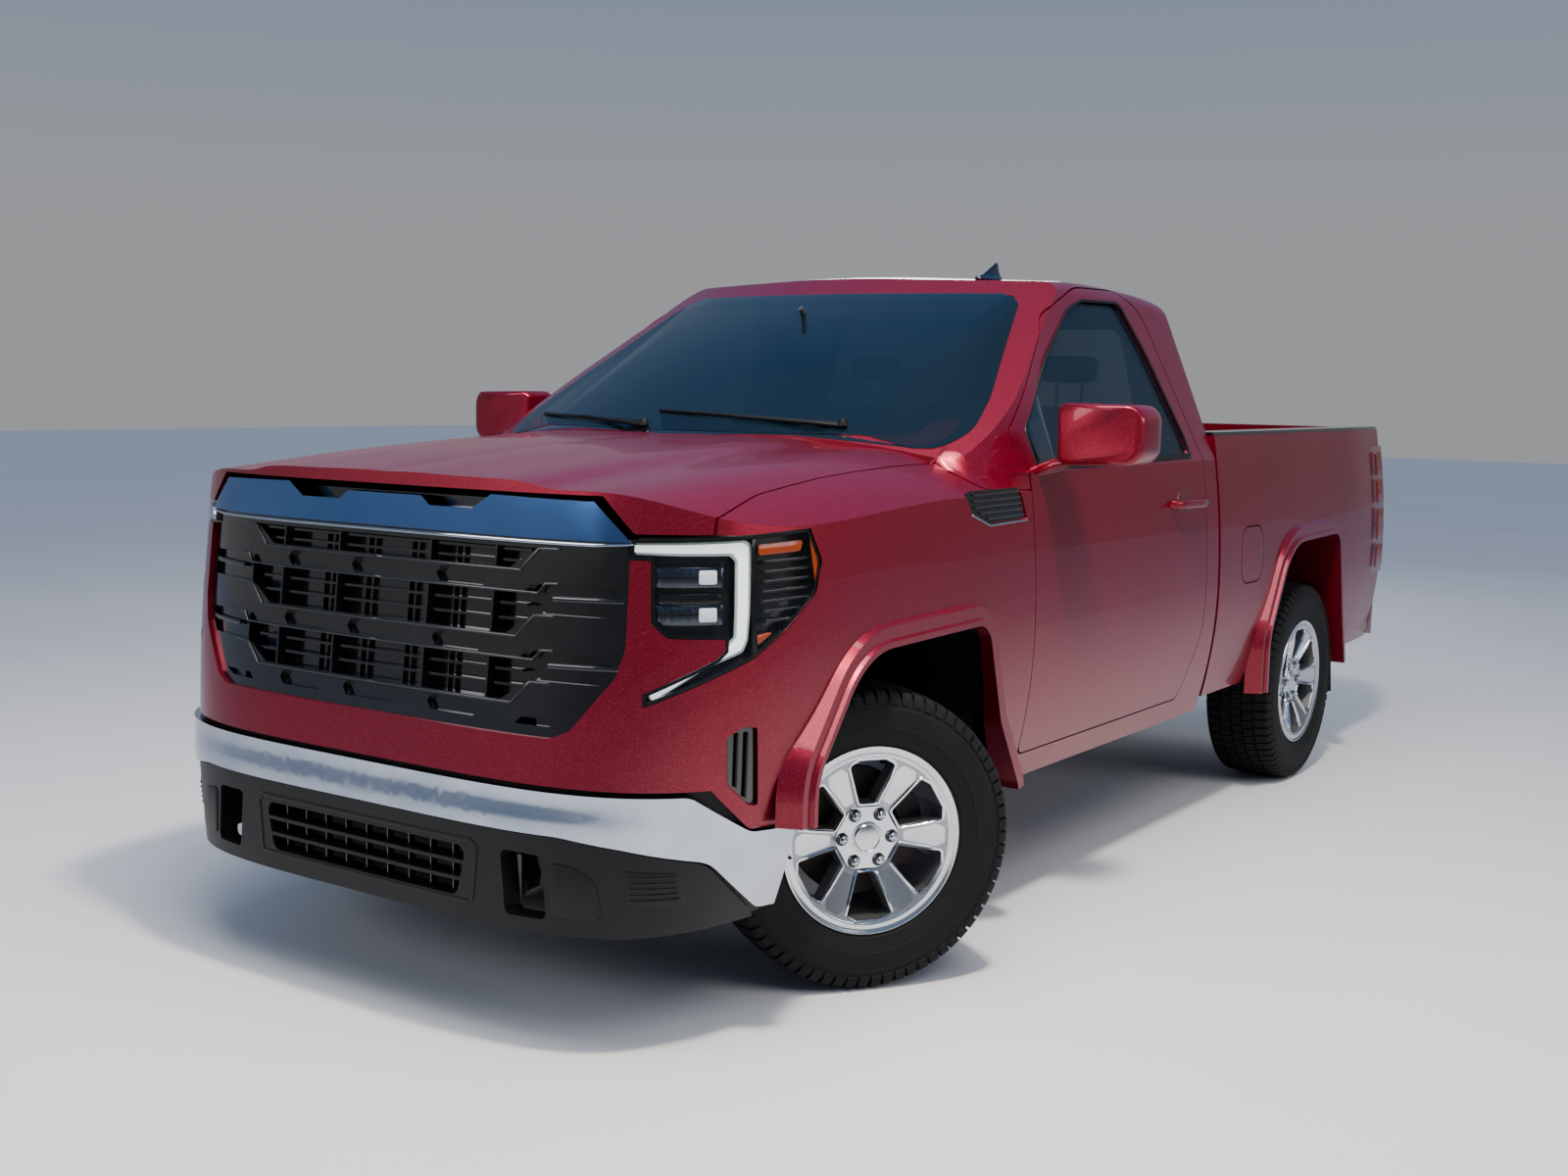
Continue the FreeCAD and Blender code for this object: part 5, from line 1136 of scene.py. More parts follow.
    def nuts(self) -> tuple[Solid, Solid]:
        """Lug pockets in gloss black, painted shade for their recesses, and the domed nuts in them.

        Returns:
            All pockets, and all nuts.
        """
        seat = lathe(((86.9, 0), (86.9, 15.2), (87.9, 17.2), (86.0, 18.2), (76, 18.2), (70, 10), (70, 0)), 32,
                     False)
        angles = [math.radians(60 * k) for k in range(6)]
        hexagon = [(11.4 * math.cos(a), 11.4 * math.sin(a)) for a in angles]
        nut = slab(hexagon, lambda u, v, d: (d, u, v), 99.0, 79.0)
        nut.join(lathe(((98.4, 9.4), (102.0, 8.6), (105.6, 5.0), (106.6, 0)), 24, False))
        lift = Matrix.Translation((0, 0, self.nut_circle))
        there = Matrix.Rotation(math.radians(30), 4, "X") @ lift
        seats, nuts = (copied(s.turned(there), "ring", Finishes.CHROME, Count=self.window_count)
                       for s in (seat, nut))
        return seats, nuts

    def cap(self) -> Solid:
        """Plain brushed centre cap with a stepped edge; no badge."""
        return lathe(((58, 44), (84.5, 44.5), (87.5, 42.5), (88.2, 38.0), (86.8, 36.0), (90.0, 33.0),
                      (92.6, 18.0), (93.2, 0), (58, 0)), 72, False)

    def hub_plate(self) -> Solid:
        """Raised six-lobed pad that carries the nuts.

        Returns:
            The pad.
        """
        lobes = []
        for k in range(120):
            angle = 2 * math.pi * k / 120
            radius = 84.5 + 3.5 * math.cos(6 * angle + math.pi)
            lobes.append((radius * math.sin(angle), radius * math.cos(angle)))
        return slab(lobes, lambda u, v, d: (d, u, v), 86.2, 74.0)

    def valve(self) -> Solid:
        """Rubber valve with its cap, at the rim's edge.

        Returns:
            The valve.
        """
        stem = lathe(((100, 0), (100, 5), (112, 4.6), (114, 3.6), (126, 3.4), (126, 4.6), (138, 4.4),
                      (139.5, 3.0), (139.5, 0)), 16, False)
        there = Matrix.Rotation(math.radians(97), 4, "X") @ Matrix.Translation((6, 0, 213))
        tilt = Matrix.Rotation(math.radians(-8), 4, "Y")
        return stem.turned(there @ tilt @ Matrix.Translation((-18, 0, 0)))

    def spoke_pockets(self) -> Solid:
        """Darker sunken panel between the two ribs of each spoke.

        Returns:
            The panels of all spokes.
        """
        outline = rounded(((-13, 104, 8), (-30, 190, 12), (-20, 212, 10), (20, 212, 10), (30, 190, 12),
                           (13, 104, 8)), 12.0)
        plate = thick(sheet_grid(outline, 10.0, 12.0),
                      lambda p: Vector((self.face(math.hypot(p.x, p.y)) + 0.6, p.x, p.y)),
                      lambda p: Vector((self.face(math.hypot(p.x, p.y)) - 2.0, p.x, p.y)))
        first = plate.turned(Matrix.Rotation(math.radians(30), 4, "X"))
        return copied(first, "ring", Finishes.RIM, Count=self.window_count)

    def build(self) -> None:
        """Dress the four wheels."""
        seats, nuts = self.nuts()
        parts = (
            ("tyre", self.carcass().join(self.tread()), Finishes.TYRE, 24.0),
            ("rim_ribs", self.window_ribs().join(self.hub_plate()), Finishes.RIM_BRIGHT, 34.0),
            ("rim_lip", self.lip(), Finishes.MACHINED, 40.0),
            ("rim_pockets", self.spoke_pockets(), Finishes.MACHINED, 40.0),
            # Gloss black pockets: painted shade in the recesses round the nuts
            ("lug_pocket_painted_shade", seats, Finishes.GLOSS_BLACK, 40.0),
            ("lug_nuts", nuts, Finishes.CHROME, 30.0),
            ("hub_cap", self.cap(), Finishes.MACHINED, 30.0),
            ("tyre_valve", self.valve(), Finishes.BLACK_TRIM, 40.0),
        )
        for end, station in (("front", 0.0), ("rear", REAR_AXLE)):
            for side_name, side in (("left", 1), ("right", -1)):
                matrix = self.place(side, station, end == "front")
                for label, solid, finish, smooth in parts:
                    corner = f"{end}_{side_name}"
                    piece(f"{label}_dress_{corner}", solid.turned(matrix), finish, f"wheel_{corner}",
                          smooth_deg=smooth, stands_for=(f"tyre_{corner}",) if label == "tyre" else ())


# Nose: lamps, grille, trim, bumper and vents

@dataclass(frozen=True)
class Headlamp:
    """Lamp of the left corner and its mirror image: dark housing, light guide, projectors and clear lens."""

    outline: Outline = (
        (-90, 1169, 6), (-88, 1216, 8), (120, 1224, 60), (363, 1235, 14), (396, 1158, 40), (380, 1080, 50),
        (300, 1003, 60), (210, 941, 50), (71, 884, 60), (-51, 834, 10), (-51, 866, 14), (120, 946, 30),
        (140, 965, 12), (140, 991, 10), (4, 994, 12), (-31, 1027, 14), (-31, 1169, 10))

    guide: Outline = (
        (-84, 1181, 3), (-84, 1207, 6), (190, 1214, 10), (206, 1204, 12), (203, 1046, 10), (198, 984, 26),
        (186, 956, 20), (95, 923, 20), (-29, 845, 6), (-38, 866, 6), (76, 946, 16), (144, 974, 14),
        (163, 990, 16), (165, 1048, 10), (166, 1166, 12), (152, 1179, 12))
    running_light: Outline = (
        (-78, 1187, 3), (-78, 1202, 5), (184, 1208, 10), (198, 1200, 12), (197, 1046, 10), (192, 986, 24),
        (181, 962, 18), (94, 928, 18), (-27, 850, 5), (-33, 863, 5), (79, 941, 14), (150, 970, 14),
        (170, 990, 14), (172, 1048, 10), (173, 1166, 12), (160, 1186, 12))
    shutter: Outline = ((-14, 1070, 8), (-14, 1093, 8), (132, 1094, 11), (132, 1070, 11))
    divider: Outline = ((208, 946, 4), (206, 1216, 4), (216, 1218, 4), (219, 958, 4))
    turn_signal: Outline = ((224, 1178, 5), (222, 1203, 6), (346, 1208, 10), (336, 1182, 8))
    low_signal: Outline = ((222, 970, 3), (221, 992, 4), (266, 1000, 4))
    side_marker: Outline = ((378, 1104, 3), (360, 1226, 6), (368, 1228, 6), (392, 1156, 10), (390, 1106, 4))
    rib_height: float = 1020
    rib_pitch: float = 23

    def shrunk(self, inner: float) -> list[Point]:
        """Outline moved inwards by a distance.

        Args:
            inner: the distance.

        Returns:
            The smaller outline's corners.
        """
        count = len(self.outline)
        result = []
        for i, (u, v, radius) in enumerate(self.outline):
            here = Vector((u, v))
            back = (here - Vector(self.outline[i - 1][:2])).normalized()
            on = (Vector(self.outline[(i + 1) % count][:2]) - here).normalized()
            normals = Vector((back.y, -back.x)), Vector((on.y, -on.x))
            mean = (normals[0] + normals[1]).normalized()
            shift = inner / max(0.45, mean.dot(normals[0]))
            result.append((u + mean.x * shift, v + mean.y * shift, max(3.0, radius - inner)))
        return result

    def plate(self, corners: Corners, outer: float, inner: float, pace: float = 16.0) -> Solid:
        """Both sides' plates in the corner view, given as SKIN.plate takes them."""
        return SKIN.plate(SKIN.corner, corners, outer, inner, pace).both()

    def ribs(self) -> Solid:
        """Dark stacked ribs behind the outer part of the lens.

        Returns:
            The ribs of both lamps.
        """
        result = Solid()
        for k in range(7):
            low = self.rib_height + self.rib_pitch * k
            left = 228 + 2 * k if k > 1 else 244 - 8 * k
            right = 372 - (18 - 7 * k if k < 3 else 0)
            rib = [(left, low, 2), (right, low + 4, 2), (right, low + 11, 2), (left, low + 7, 2)]
            result.join(self.plate(rib, 16, 34, 30))
        return result

    def build(self) -> None:
        """Make both lamps."""
        plate = self.plate
        piece("headlamp_housing", plate(self.shrunk(3), 44, 84), Finishes.LAMP_BLACK,
              stands_for=("headlamps",))
        wall = SKIN.plate(SKIN.corner, self.shrunk(1), 4, 60)
        hole = SKIN.plate(SKIN.corner, self.shrunk(9), -20, 50)
        piece("headlamp_bezel_left", wall, Finishes.GLOSS_BLACK, cuts=hole)
        piece("headlamp_bezel_right", wall.mirrored(), Finishes.GLOSS_BLACK, cuts=hole.mirrored())
        piece("headlamp_lens", plate(self.shrunk(2), 0, 3), Finishes.LENS)
        # The guide's pale colour is painted glow round the running light
        piece("headlamp_light_guide", plate(self.guide, 18, 36), Finishes.LIGHT_GUIDE, bevel=2.0)
        piece("headlamp_running_light", plate(self.running_light, 14, 20), Finishes.LED_WHITE, bevel=1.0)
        for name, low in (("upper", 1108), ("lower", 1022)):
            frame_box = [(-24, low - 1, 6), (-24, low + 45, 6), (139, low + 46, 8), (139, low - 1, 8)]
            piece(f"headlamp_{name}_reflector", plate(frame_box, 24, 40), Finishes.CHROME_DARK, bevel=2.0)
            lit = rect(80, low + 7, 122, low + 39, 5)
            piece(f"headlamp_{name}_projector", plate(lit, 18, 26), Finishes.LED_LENS, bevel=2.0)
            ridges = [plate(rect(left, low + 6, left + 10, low + 39), 19, 26, 30)
                      for left in range(-17, 60, 19)]
            piece(f"headlamp_{name}_optics", Solid().join(*ridges), Finishes.CHROME_DARK, bevel=1.5)
        piece("headlamp_shutter", plate(self.shutter, 20, 30), Finishes.GLOSS_BLACK, bevel=2.0)
        piece("headlamp_divider", plate(self.divider, 12, 40), Finishes.GLOSS_BLACK, bevel=1.5)
        amber = plate(self.turn_signal, 12, 26).join(plate(self.low_signal, 12, 26))
        piece("headlamp_turn_signal", amber, Finishes.AMBER, bevel=1.5)
        piece("headlamp_ribs", self.ribs(), Finishes.GLOSS_BLACK, bevel=1.2)
        piece("headlamp_side_marker", plate(self.side_marker, 6, 20), Finishes.AMBER, bevel=1.5)


@dataclass(frozen=True)
class Grille:
    """Fine parts in and round the grille: fins, blades, ridges on the bars and ribs on the pads."""

    drops: tuple[float, ...] = (0.0, 155.0, 310.0)
    blades: tuple[Point2, ...] = ((1176, 470), (1150, 462), (1049, 470), (1014, 470), (894, 470), (859, 470),
                                  (754, 566))
    blade_half: float = 3.2
    rib_half: float = 1.7
    trim_lip: Outline = ((-655, 1196, 3), (655, 1196, 3), (738, 1202, 3), (738, 1207, 3), (655, 1203.5, 3),
                         (-655, 1203.5, 3), (-738, 1207, 3), (-738, 1202, 3))

    def fins(self) -> Solid:
        """Upright fins and level blades in front of the black backing.

        Returns:
            The fins and blades.
        """
        row = copied(box((-1.4, -225, -9), (1.4, 225, 9)), "grid", Finishes.GLOSS_BLACK,
                     Width=1080.0, Height=0.0, Columns=8, Rows=1)
        result = row.mapped(lambda p: SKIN.front(p.x, p.y + 990, 44 + p.z))
        for z, half in self.blades:
            low, high = z - self.blade_half, z + self.blade_half
            blade = [(-half, low, 2), (half, low, 2), (half, high, 2), (-half, high, 2)]
            result.join(SKIN.plate(SKIN.front, blade, 27, 46, 30))
        return result

    def ridge(self, line: Sequence[Point2], half: float = 2.2) -> Solid:
        """Raised line on the bars.

        Args:
            line: its points in the front view.
            half: half its width.

        Returns:
            The line's solid, in one stretch for each pair of points.
        """
        result = Solid()
        for (a, b), (c, d) in zip(line, line[1:]):
            along = Vector((c - a, d - b)).normalized() * half
            side = Vector((-along.y, along.x))
            start, end = Vector((a, b)) - along, Vector((c, d)) + along
            corners = [(q.x, q.y, 1) for q in (start - side, end - side, end + side, start + side)]
            result.join(SKIN.plate(SKIN.front, corners, 9.5, 18, 30))
        return result

    def ridges(self) -> Solid:
        """Ridges along the upper edge of each of the three bars and the lower edge of two.

        Returns:
            The ridges.
        """
        result = Solid()
        for drop in self.drops:
            top = [(0, 1131 - drop), (452, 1131 - drop), (503, 1183 - drop), (560, 1185 - drop)]
            low = [(0, 1081 - drop), (508, 1081 - drop), (528, 1104 - drop), (560, 1105 - drop)]
            result.join(self.ridge(top).both())
            if drop < 300:
                result.join(self.ridge(low).both())
        return result

    def pad_ribs(self) -> Solid:
        """Thin horizontal ribs across the outer pads.

        Returns:
            The ribs.
        """
        rows = ((1122, 1178, 511, 719), (960, 1018, 524, 726), (818, 862, 545, 655))
        result = Solid()
        for low, high, inner, outer in rows:
            count = 8 if high - low > 50 else 6
            for k in range(count):
                z = low + (high - low) * (k + 0.5) / count
                rise = 0.03 * (outer - inner)
                left = inner + 4 * k / count
                low_edge, high_edge = z - self.rib_half, z + self.rib_half
                rib = [(left, low_edge, 1), (outer, low_edge + rise, 1), (outer, high_edge + rise, 1),
                       (left, high_edge, 1)]
                result.join(SKIN.plate(SKIN.front, rib, 20.5, 30, 40).both())
        return result

    def build(self) -> None:
        """Add the grille's fine parts."""
        piece("grille_fins", self.fins(), Finishes.GLOSS_BLACK)
        piece("grille_ridges", self.ridges(), Finishes.GLOSS_BLACK, bevel=1.0)
        piece("grille_pad_ribs", self.pad_ribs(), Finishes.GLOSS_BLACK)
        grooves = Solid()
        for drop in self.drops[:2]:
            pill = [(548, 1064 - drop, 5), (548, 1075 - drop, 5), (728, 1079 - drop, 5),
                    (728, 1068 - drop, 5)]
            grooves.join(SKIN.plate(SKIN.front, pill, 12, 20, 30).both())
        piece("grille_side_bars", grooves, Finishes.GLOSS_BLACK, bevel=1.5)
        lip = SKIN.plate(SKIN.front, self.trim_lip, -1.0, 12, 24)
        piece("grille_trim_lip", lip, Finishes.CHROME, bevel=1.2)


@dataclass(frozen=True)
class Vents:
    """Fender louvres, air-curtain louvres, bumper blanks and hooks."""

    pocket: Outline = ((300, 1284, 4), (331, 1232, 10), (427, 1199, 10), (648, 1204, 8), (619, 1291, 6),
                       (334, 1291, 10))
    edge: Outline = ((326, 1224, 3), (427, 1190, 10), (660, 1195, 4), (658, 1200, 2), (428, 1196, 10),
                     (329, 1229, 3))
    curtain: Outline = ((149, 763, 4), (190, 782, 5), (220, 776, 5), (229, 591, 4), (207, 596, 6),
                        (152, 651, 8))
    fog_blank: Outline = ((604, 338, 16), (596, 466, 18), (662, 458, 30), (706, 428, 34), (716, 352, 20),
                          (704, 334, 14))
    mouth: tuple[tuple[Point2, ...], ...] = (
        ((-372, 486), (372, 486), (392, 470)), ((-366, 336), (366, 336)), ((392, 470), (378, 342)),
        ((-392, 470), (-378, 342)), ((-372, 486), (-392, 470)))
    blank: Outline = ((762, 459, 5), (848, 446, 8), (849, 364, 8), (765, 374, 5))
    louvre_left_ends: tuple[float, ...] = (344, 346, 350, 378, 422)
    hook_radius: float = 11.0

    def louvres(self) -> Solid:
        """Five blades in the fender's vent.

        Returns:
            The blades of both vents.
        """
        result = Solid()
        for k, left in enumerate(self.louvre_left_ends):
            z = 1286 - 17 * k
            right = 618 + 5 * k
            blade = [(left, z - 8, 2), (left, z - 2, 2), (right, z - 1, 2), (right, z - 7, 2)]
            result.join(SKIN.plate(SKIN.side, blade, 0.5, 7, 40))
        return result.both()

    def build(self) -> None:
        """Add the vents' and bumper's small parts."""
        liner = SKIN.plate(SKIN.side, self.pocket, 6.4, 7.8).both()
        piece("fender_vent_liner", liner, Finishes.GLOSS_BLACK)
        piece("fender_vent_louvres", self.louvres(), Finishes.GLOSS_BLACK, bevel=1.0)
        edge = SKIN.plate(SKIN.side, self.edge, -1.2, 4).both()
        piece("fender_vent_edge", edge, Finishes.CHROME, bevel=0.8)
        curtain = SKIN.plate(SKIN.corner, self.curtain, 10.2, 11.8).both()
        piece("air_curtain_liner", curtain, Finishes.GLOSS_BLACK)
        blades = Solid()
        for w, foot in ((171, 640), (196, 612)):
            blade = [(w, foot), (w + 5, foot - 2), (w + 5, 770), (w, 766)]
            blades.join(SKIN.plate(SKIN.corner, blade, 2, 11, 30))
        piece("air_curtain_blades", blades.both(), Finishes.BLACK_TRIM, bevel=1.0)
        fog = SKIN.plate(SKIN.front, self.fog_blank, -7.0, 0, 20).both()
        piece("bumper_fog_blank", fog, Finishes.BLACK_TRIM, bevel=3)
        self.bumper()

    def bumper(self) -> None:
        """Dress the bumper's mouth and blanks, and hang the hooks."""
        mouth = Solid()
        for line in self.mouth:
            mouth.join(Grille().ridge(line, 5.0).mapped(lambda p: p + Vector((0, -15.5, 0))))
        piece("bumper_mouth_bezel", mouth, Finishes.BLACK_TRIM, bevel=1.5)
        wires = Solid()
        for x in range(-300, 301, 75):
            wire = box((x - 1.5, -2742, 348), (x + 1.5, -2722, 468))
            wires.join(wire.mapped(lambda p: SKIN.front(p.x, p.z, 26 + (p.y + 2732))))
        backing = SKIN.plate(SKIN.front, rect(428, 300, 628, 500, 8), 112, 116, 40).both()
        backing.join(SKIN.plate(SKIN.front, rect(-392, 322, 392, 498, 8), 88, 92, 40))
        piece("bumper_backing", backing, Finishes.BLACK_TRIM)
        piece("bumper_mouth_fins", wires, Finishes.GLOSS_BLACK)
        blank = SKIN.plate(SKIN.front, self.blank, -5.4, 0).both()
        piece("bumper_blank", blank, Finishes.BLACK_TRIM, bevel=1.5)
        ribs = Solid()
        for k in range(5):
            z = 381 + 14 * k
            rib = [(771, z, 1), (843, z - 2, 1), (843, z + 3, 1), (771, z + 5, 1)]
            ribs.join(SKIN.plate(SKIN.front, rib, -8.0, -4.0, 40))
        piece("bumper_blank_ribs", ribs.both(), Finishes.BLACK_TRIM)
        hook = ((520, 452, 0), (532, 418, 0), (524, 380, 0), (500, 366, 20), (488, 384, 0))
        path = [(x, SKIN.front(x, z, 70).y - ahead, z) for x, z, ahead in hook]
        piece("tow_hooks", tube(path, self.hook_radius, 14).both(), Finishes.CHASSIS)


# Glass edges, wipers, doors, mirrors, bed and tail

def windshield_point(x: float, height: float, out: float) -> Vector:
    """Point on the windshield's outer face, moved outwards along the truck.

    Args:
        x: its X.
        height: its height.
        out: how far it is moved.

    Returns:
        The point in the truck's frame.
    """
    station, foot, rake, bow = 170, 1385, 1.87, 0.00036
    return Vector((x, station + (height - foot) * rake + bow * x * x - out + SKIN.axle_y, height))


@dataclass(frozen=True)
class Glazing:
    """Black printed borders, wipers, cowl and the inside mirror."""

    left_edge: Outline = (
        (600, 1874, 40), (668, 1845, 60), (712, 1760, 300), (826, 1544, 300), (858, 1446, 60),
        (812, 1399, 60), (745, 1400, 90), (600, 1413, 200), (400, 1427, 300), (200, 1424, 300))
    foot: Point = (0, 1409, 300)
    clear: Outline = (
        (-634, 1838, 40), (634, 1838, 40), (722, 1470, 46), (-722, 1470, 46))

    def outer(self) -> list[Point]:
        """Outline of the windshield's outer glass, its right half mirrored from the left."""
        right = [(-u, v, r) for u, v, r in reversed(self.left_edge)]
        return [right[-1], *self.left_edge, self.foot, *right[:-1]]

    def ring(self) -> Solid:
        """Black printed border and cowl strip on the windshield's surface.

        Returns:
            The border.
        """
        count = 240
        rings = []
        for outline in (rounded(self.outer(), 40), rounded(self.clear, 40)):
            around = []
            for k in range(count):
                angle = 2 * math.pi * k / count
                around.append(self.crossing(outline, math.sin(angle) * 700, math.cos(angle) * 220))
            rings.append(around)
        points, faces = [], []
        for lift in (1.6, -0.8):
            for around in rings:
                points += [windshield_point(u, v, lift) for u, v in around]
        for k in range(count):
            n = (k + 1) % count
            for a, b in ((0, 1), (1, 3), (3, 2), (2, 0)):
                faces.append((a * count + k, a * count + n, b * count + n, b * count + k))
        return Solid(points, faces)

    def outer_pane(self) -> Solid:
        """Thin outer glass over the clear field and its black border.

        Returns:
            The pane.
        """
        top = [(u, max(v, 1432.0) if abs(u) < 700 else v, r) for u, v, r in self.outer()]
        flat = sheet_grid(rounded(top, 40), 60, 400)
        return thick(flat, lambda p: windshield_point(p.x, p.y, 4.4),
                     lambda p: windshield_point(p.x, p.y, 2.2))

    def crossing(self, outline: Sequence[Point2], du: float, dv: float) -> Point2:
        """Where a ray from the windshield's middle leaves an outline.

        Args:
            outline: closed outline round the middle.
            du: the ray's direction across.
            dv: the ray's direction upwards.

        Returns:
            The crossing that lies furthest out.
        """
        cu, cv = 0.0, 1640.0
        best = (cu, cv)
        far = 0.0
        for i, (a, b) in enumerate(outline):
            c, d = outline[(i + 1) % len(outline)]
            cross = du * (d - b) - dv * (c - a)
            if abs(cross) < 1e-9:
                continue
            t = ((a - cu) * (d - b) - (b - cv) * (c - a)) / cross
            s = ((a - cu) * dv - (b - cv) * du) / cross
            if t > far and -1e-6 <= s <= 1 + 1e-6:
                far = t
                best = (cu + du * t, cv + dv * t)
        return best

    def wiper(self, pivot: float, reach: float, height: float) -> Solid:
        """Wiper arm, blade and spindle, parked along the windshield's foot.

        Args:
            pivot: X of its spindle.
            reach: its length across the truck, with a sign.
            height: height of the arm's tip.

        Returns:
            The wiper.
        """
        base = windshield_point(pivot, height - 20, 12)
        knee = windshield_point(pivot + 0.16 * reach, height - 12, 34)
        tip = windshield_point(pivot + 0.62 * reach, height, 24)
        arm = tube([base, knee, tip], [9, 7, 4.5], 8)
        start, end = pivot + 0.06 * reach, pivot + 1.15 * reach
        blade = []
        for k in range(13):
            x = start + (end - start) * k / 12
            z = height - 9 + 20 * k / 12 - 0.00002 * x ** 2
            blade.append(windshield_point(x, z, 11 + 6 * math.sin(math.pi * k / 12)))
        rubber = [p + Vector((0, 7, 1)) for p in blade]
        knob = lathe(((0, 0), (0, 15), (10, 14), (20, 10), (24, 0)), 20, False)
        return arm.join(tube(blade, 5.5, 8), tube(rubber, 3.0, 6),
                        knob.turned(Matrix.Translation(base) @ Matrix.Rotation(math.radians(-90), 4, "Y")))

    def shoulder(self) -> Solid:
        """Body-colour fillet between each fender's top and the windshield pillar's foot.

        Returns:
            The fillets of both sides.
        """
        sections = {
            392: ((824, 1362), (832, 1358), (842, 1353), (855, 1346.5), (868, 1341), (880, 1335)),
            408: ((824, 1381), (836, 1373), (850, 1361), (868, 1348), (888, 1334), (905, 1321.5)),
            425: ((824, 1393), (842, 1384), (860, 1370), (882, 1350), (906, 1329), (930, 1307.5)),
            446: ((824, 1405), (850, 1397), (878, 1384), (900, 1356), (920, 1326), (948, 1296)),
            470: ((862, 1399), (886, 1390), (897, 1376), (906, 1352), (919, 1326), (956, 1290)),
            500: ((892, 1404), (909, 1378), (918, 1354), (930, 1328), (945, 1306), (961, 1287)),
            540: ((905, 1404), (920, 1380), (928.5, 1356), (938, 1330), (951, 1306), (964, 1285)),
            580: ((916, 1404), (930, 1380), (938.5, 1356), (946, 1331), (956, 1306), (967, 1284)),
            620: ((925, 1404), (939, 1380), (947, 1357), (954, 1332), (961, 1306), (968.5, 1283)),
            660: ((932, 1404), (946, 1380), (954, 1357), (960, 1332), (965.5, 1306), (971, 1283)),
            693: ((936, 1404), (950.5, 1380), (958, 1357), (964, 1332), (969, 1306), (973, 1283)),
        }
        rows = []
        for station, line in sections.items():
            y = station + SKIN.axle_y
            under = [(x - 12, y, z - 9) for x, z in reversed(line)]
            rows.append([(x + 0.8, y, z + 0.8) for x, z in line] + under)
        return loft(rows).both()

    def fin(self) -> Solid:
        """Roof antenna: a leaning blade on a flat foot.

        Returns:
            The antenna.
        """
        rows = []
        for t in (0.0, 0.12, 0.3, 0.5, 0.7, 0.88, 1.0):
            y = SKIN.axle_y + 1270 + 150 * t
            half = 6 + 26 * math.sin(math.pi * min(0.75, 0.15 + 0.6 * t))
            floor = 1922 + 6 * t
            high = 6 + 58 * max(0.0, (t - 0.08) / 0.92) ** 1.3 * (1.0 if t < 0.95 else 0.86)
            blade = 5.0 - 2.0 * t
            flank = ((half, floor), (half * 0.72, floor + 8), (blade * 1.6, floor + 10 + high * 0.25),
                     (blade, floor + 8 + high))
            rows.append([(470 - w, y, z) for w, z in flank] + [(470 + w, y, z) for w, z in reversed(flank)])
        return loft(rows)

    def build(self) -> None:
        """Make the glazing's fine parts."""
        piece("windshield_border", self.ring(), Finishes.GLOSS_BLACK)
        piece("windshield_outer_pane", self.outer_pane(), Finishes.GLASS)
        piece("fender_shoulder", self.shoulder(), Finishes.PAINT, smooth_deg=60)
        piece("roof_antenna", self.fin(), Finishes.GLOSS_BLACK, levels=1, smooth_deg=60)
        piece("wiper_driver", self.wiper(520, -560, 1476), Finishes.BLACK_TRIM)
        piece("wiper_passenger", self.wiper(-120, -520, 1462), Finishes.BLACK_TRIM)
        sensor = loft([[windshield_point(u, v, -14 - d) for u, v in (
            (-52 + d, 1856), (52 - d, 1856), (44 - d, 1760 + d), (-44 + d, 1760 + d))] for d in (0, 26)])
        piece("camera_housing", sensor, Finishes.CABIN, bevel=4)
        glass = rounded(((-118, 1722, 22), (-122, 1784, 26), (122, 1784, 26), (118, 1722, 22)), 20)
        at = SKIN.axle_y + 1000
        shell = loft([[Vector((u * s, at + d, 1753 + (v - 1753) * s)) for u, v in glass]
                      for d, s in ((-22, 0.72), (-12, 0.93), (4, 1.0), (10, 0.98))])
        face = slab([(u * 0.94, 1753 + (v - 1753) * 0.92) for u, v in glass],
                    lambda u, v, d: (u, at + d, v), 9.5, 11)
        stem = tube([(0, at - 16, 1757), (0, at - 40, 1800), (0, at - 62, 1822)], 9, 12)
        piece("rear_view_mirror", shell.join(stem), Finishes.CABIN)
        piece("rear_view_mirror_glass", face, Finishes.MIRROR_GLASS)


def door_point(station: float, height: float, out: float) -> Vector:
    """Point on the door's outer skin below the belt, or on the leaning glass above it.

    Args:
        station: distance behind the front axle.
        height: its height.
        out: how far it stands proud.

    Returns:
        The point in the truck's frame.
    """
    belt, half_width, lean = 1330, 959 + 10.3, 0.406
    if height <= belt:
        return SKIN.side(station, height, -out)
    return Vector((half_width - lean * (height - belt) + out, station + SKIN.axle_y, height))


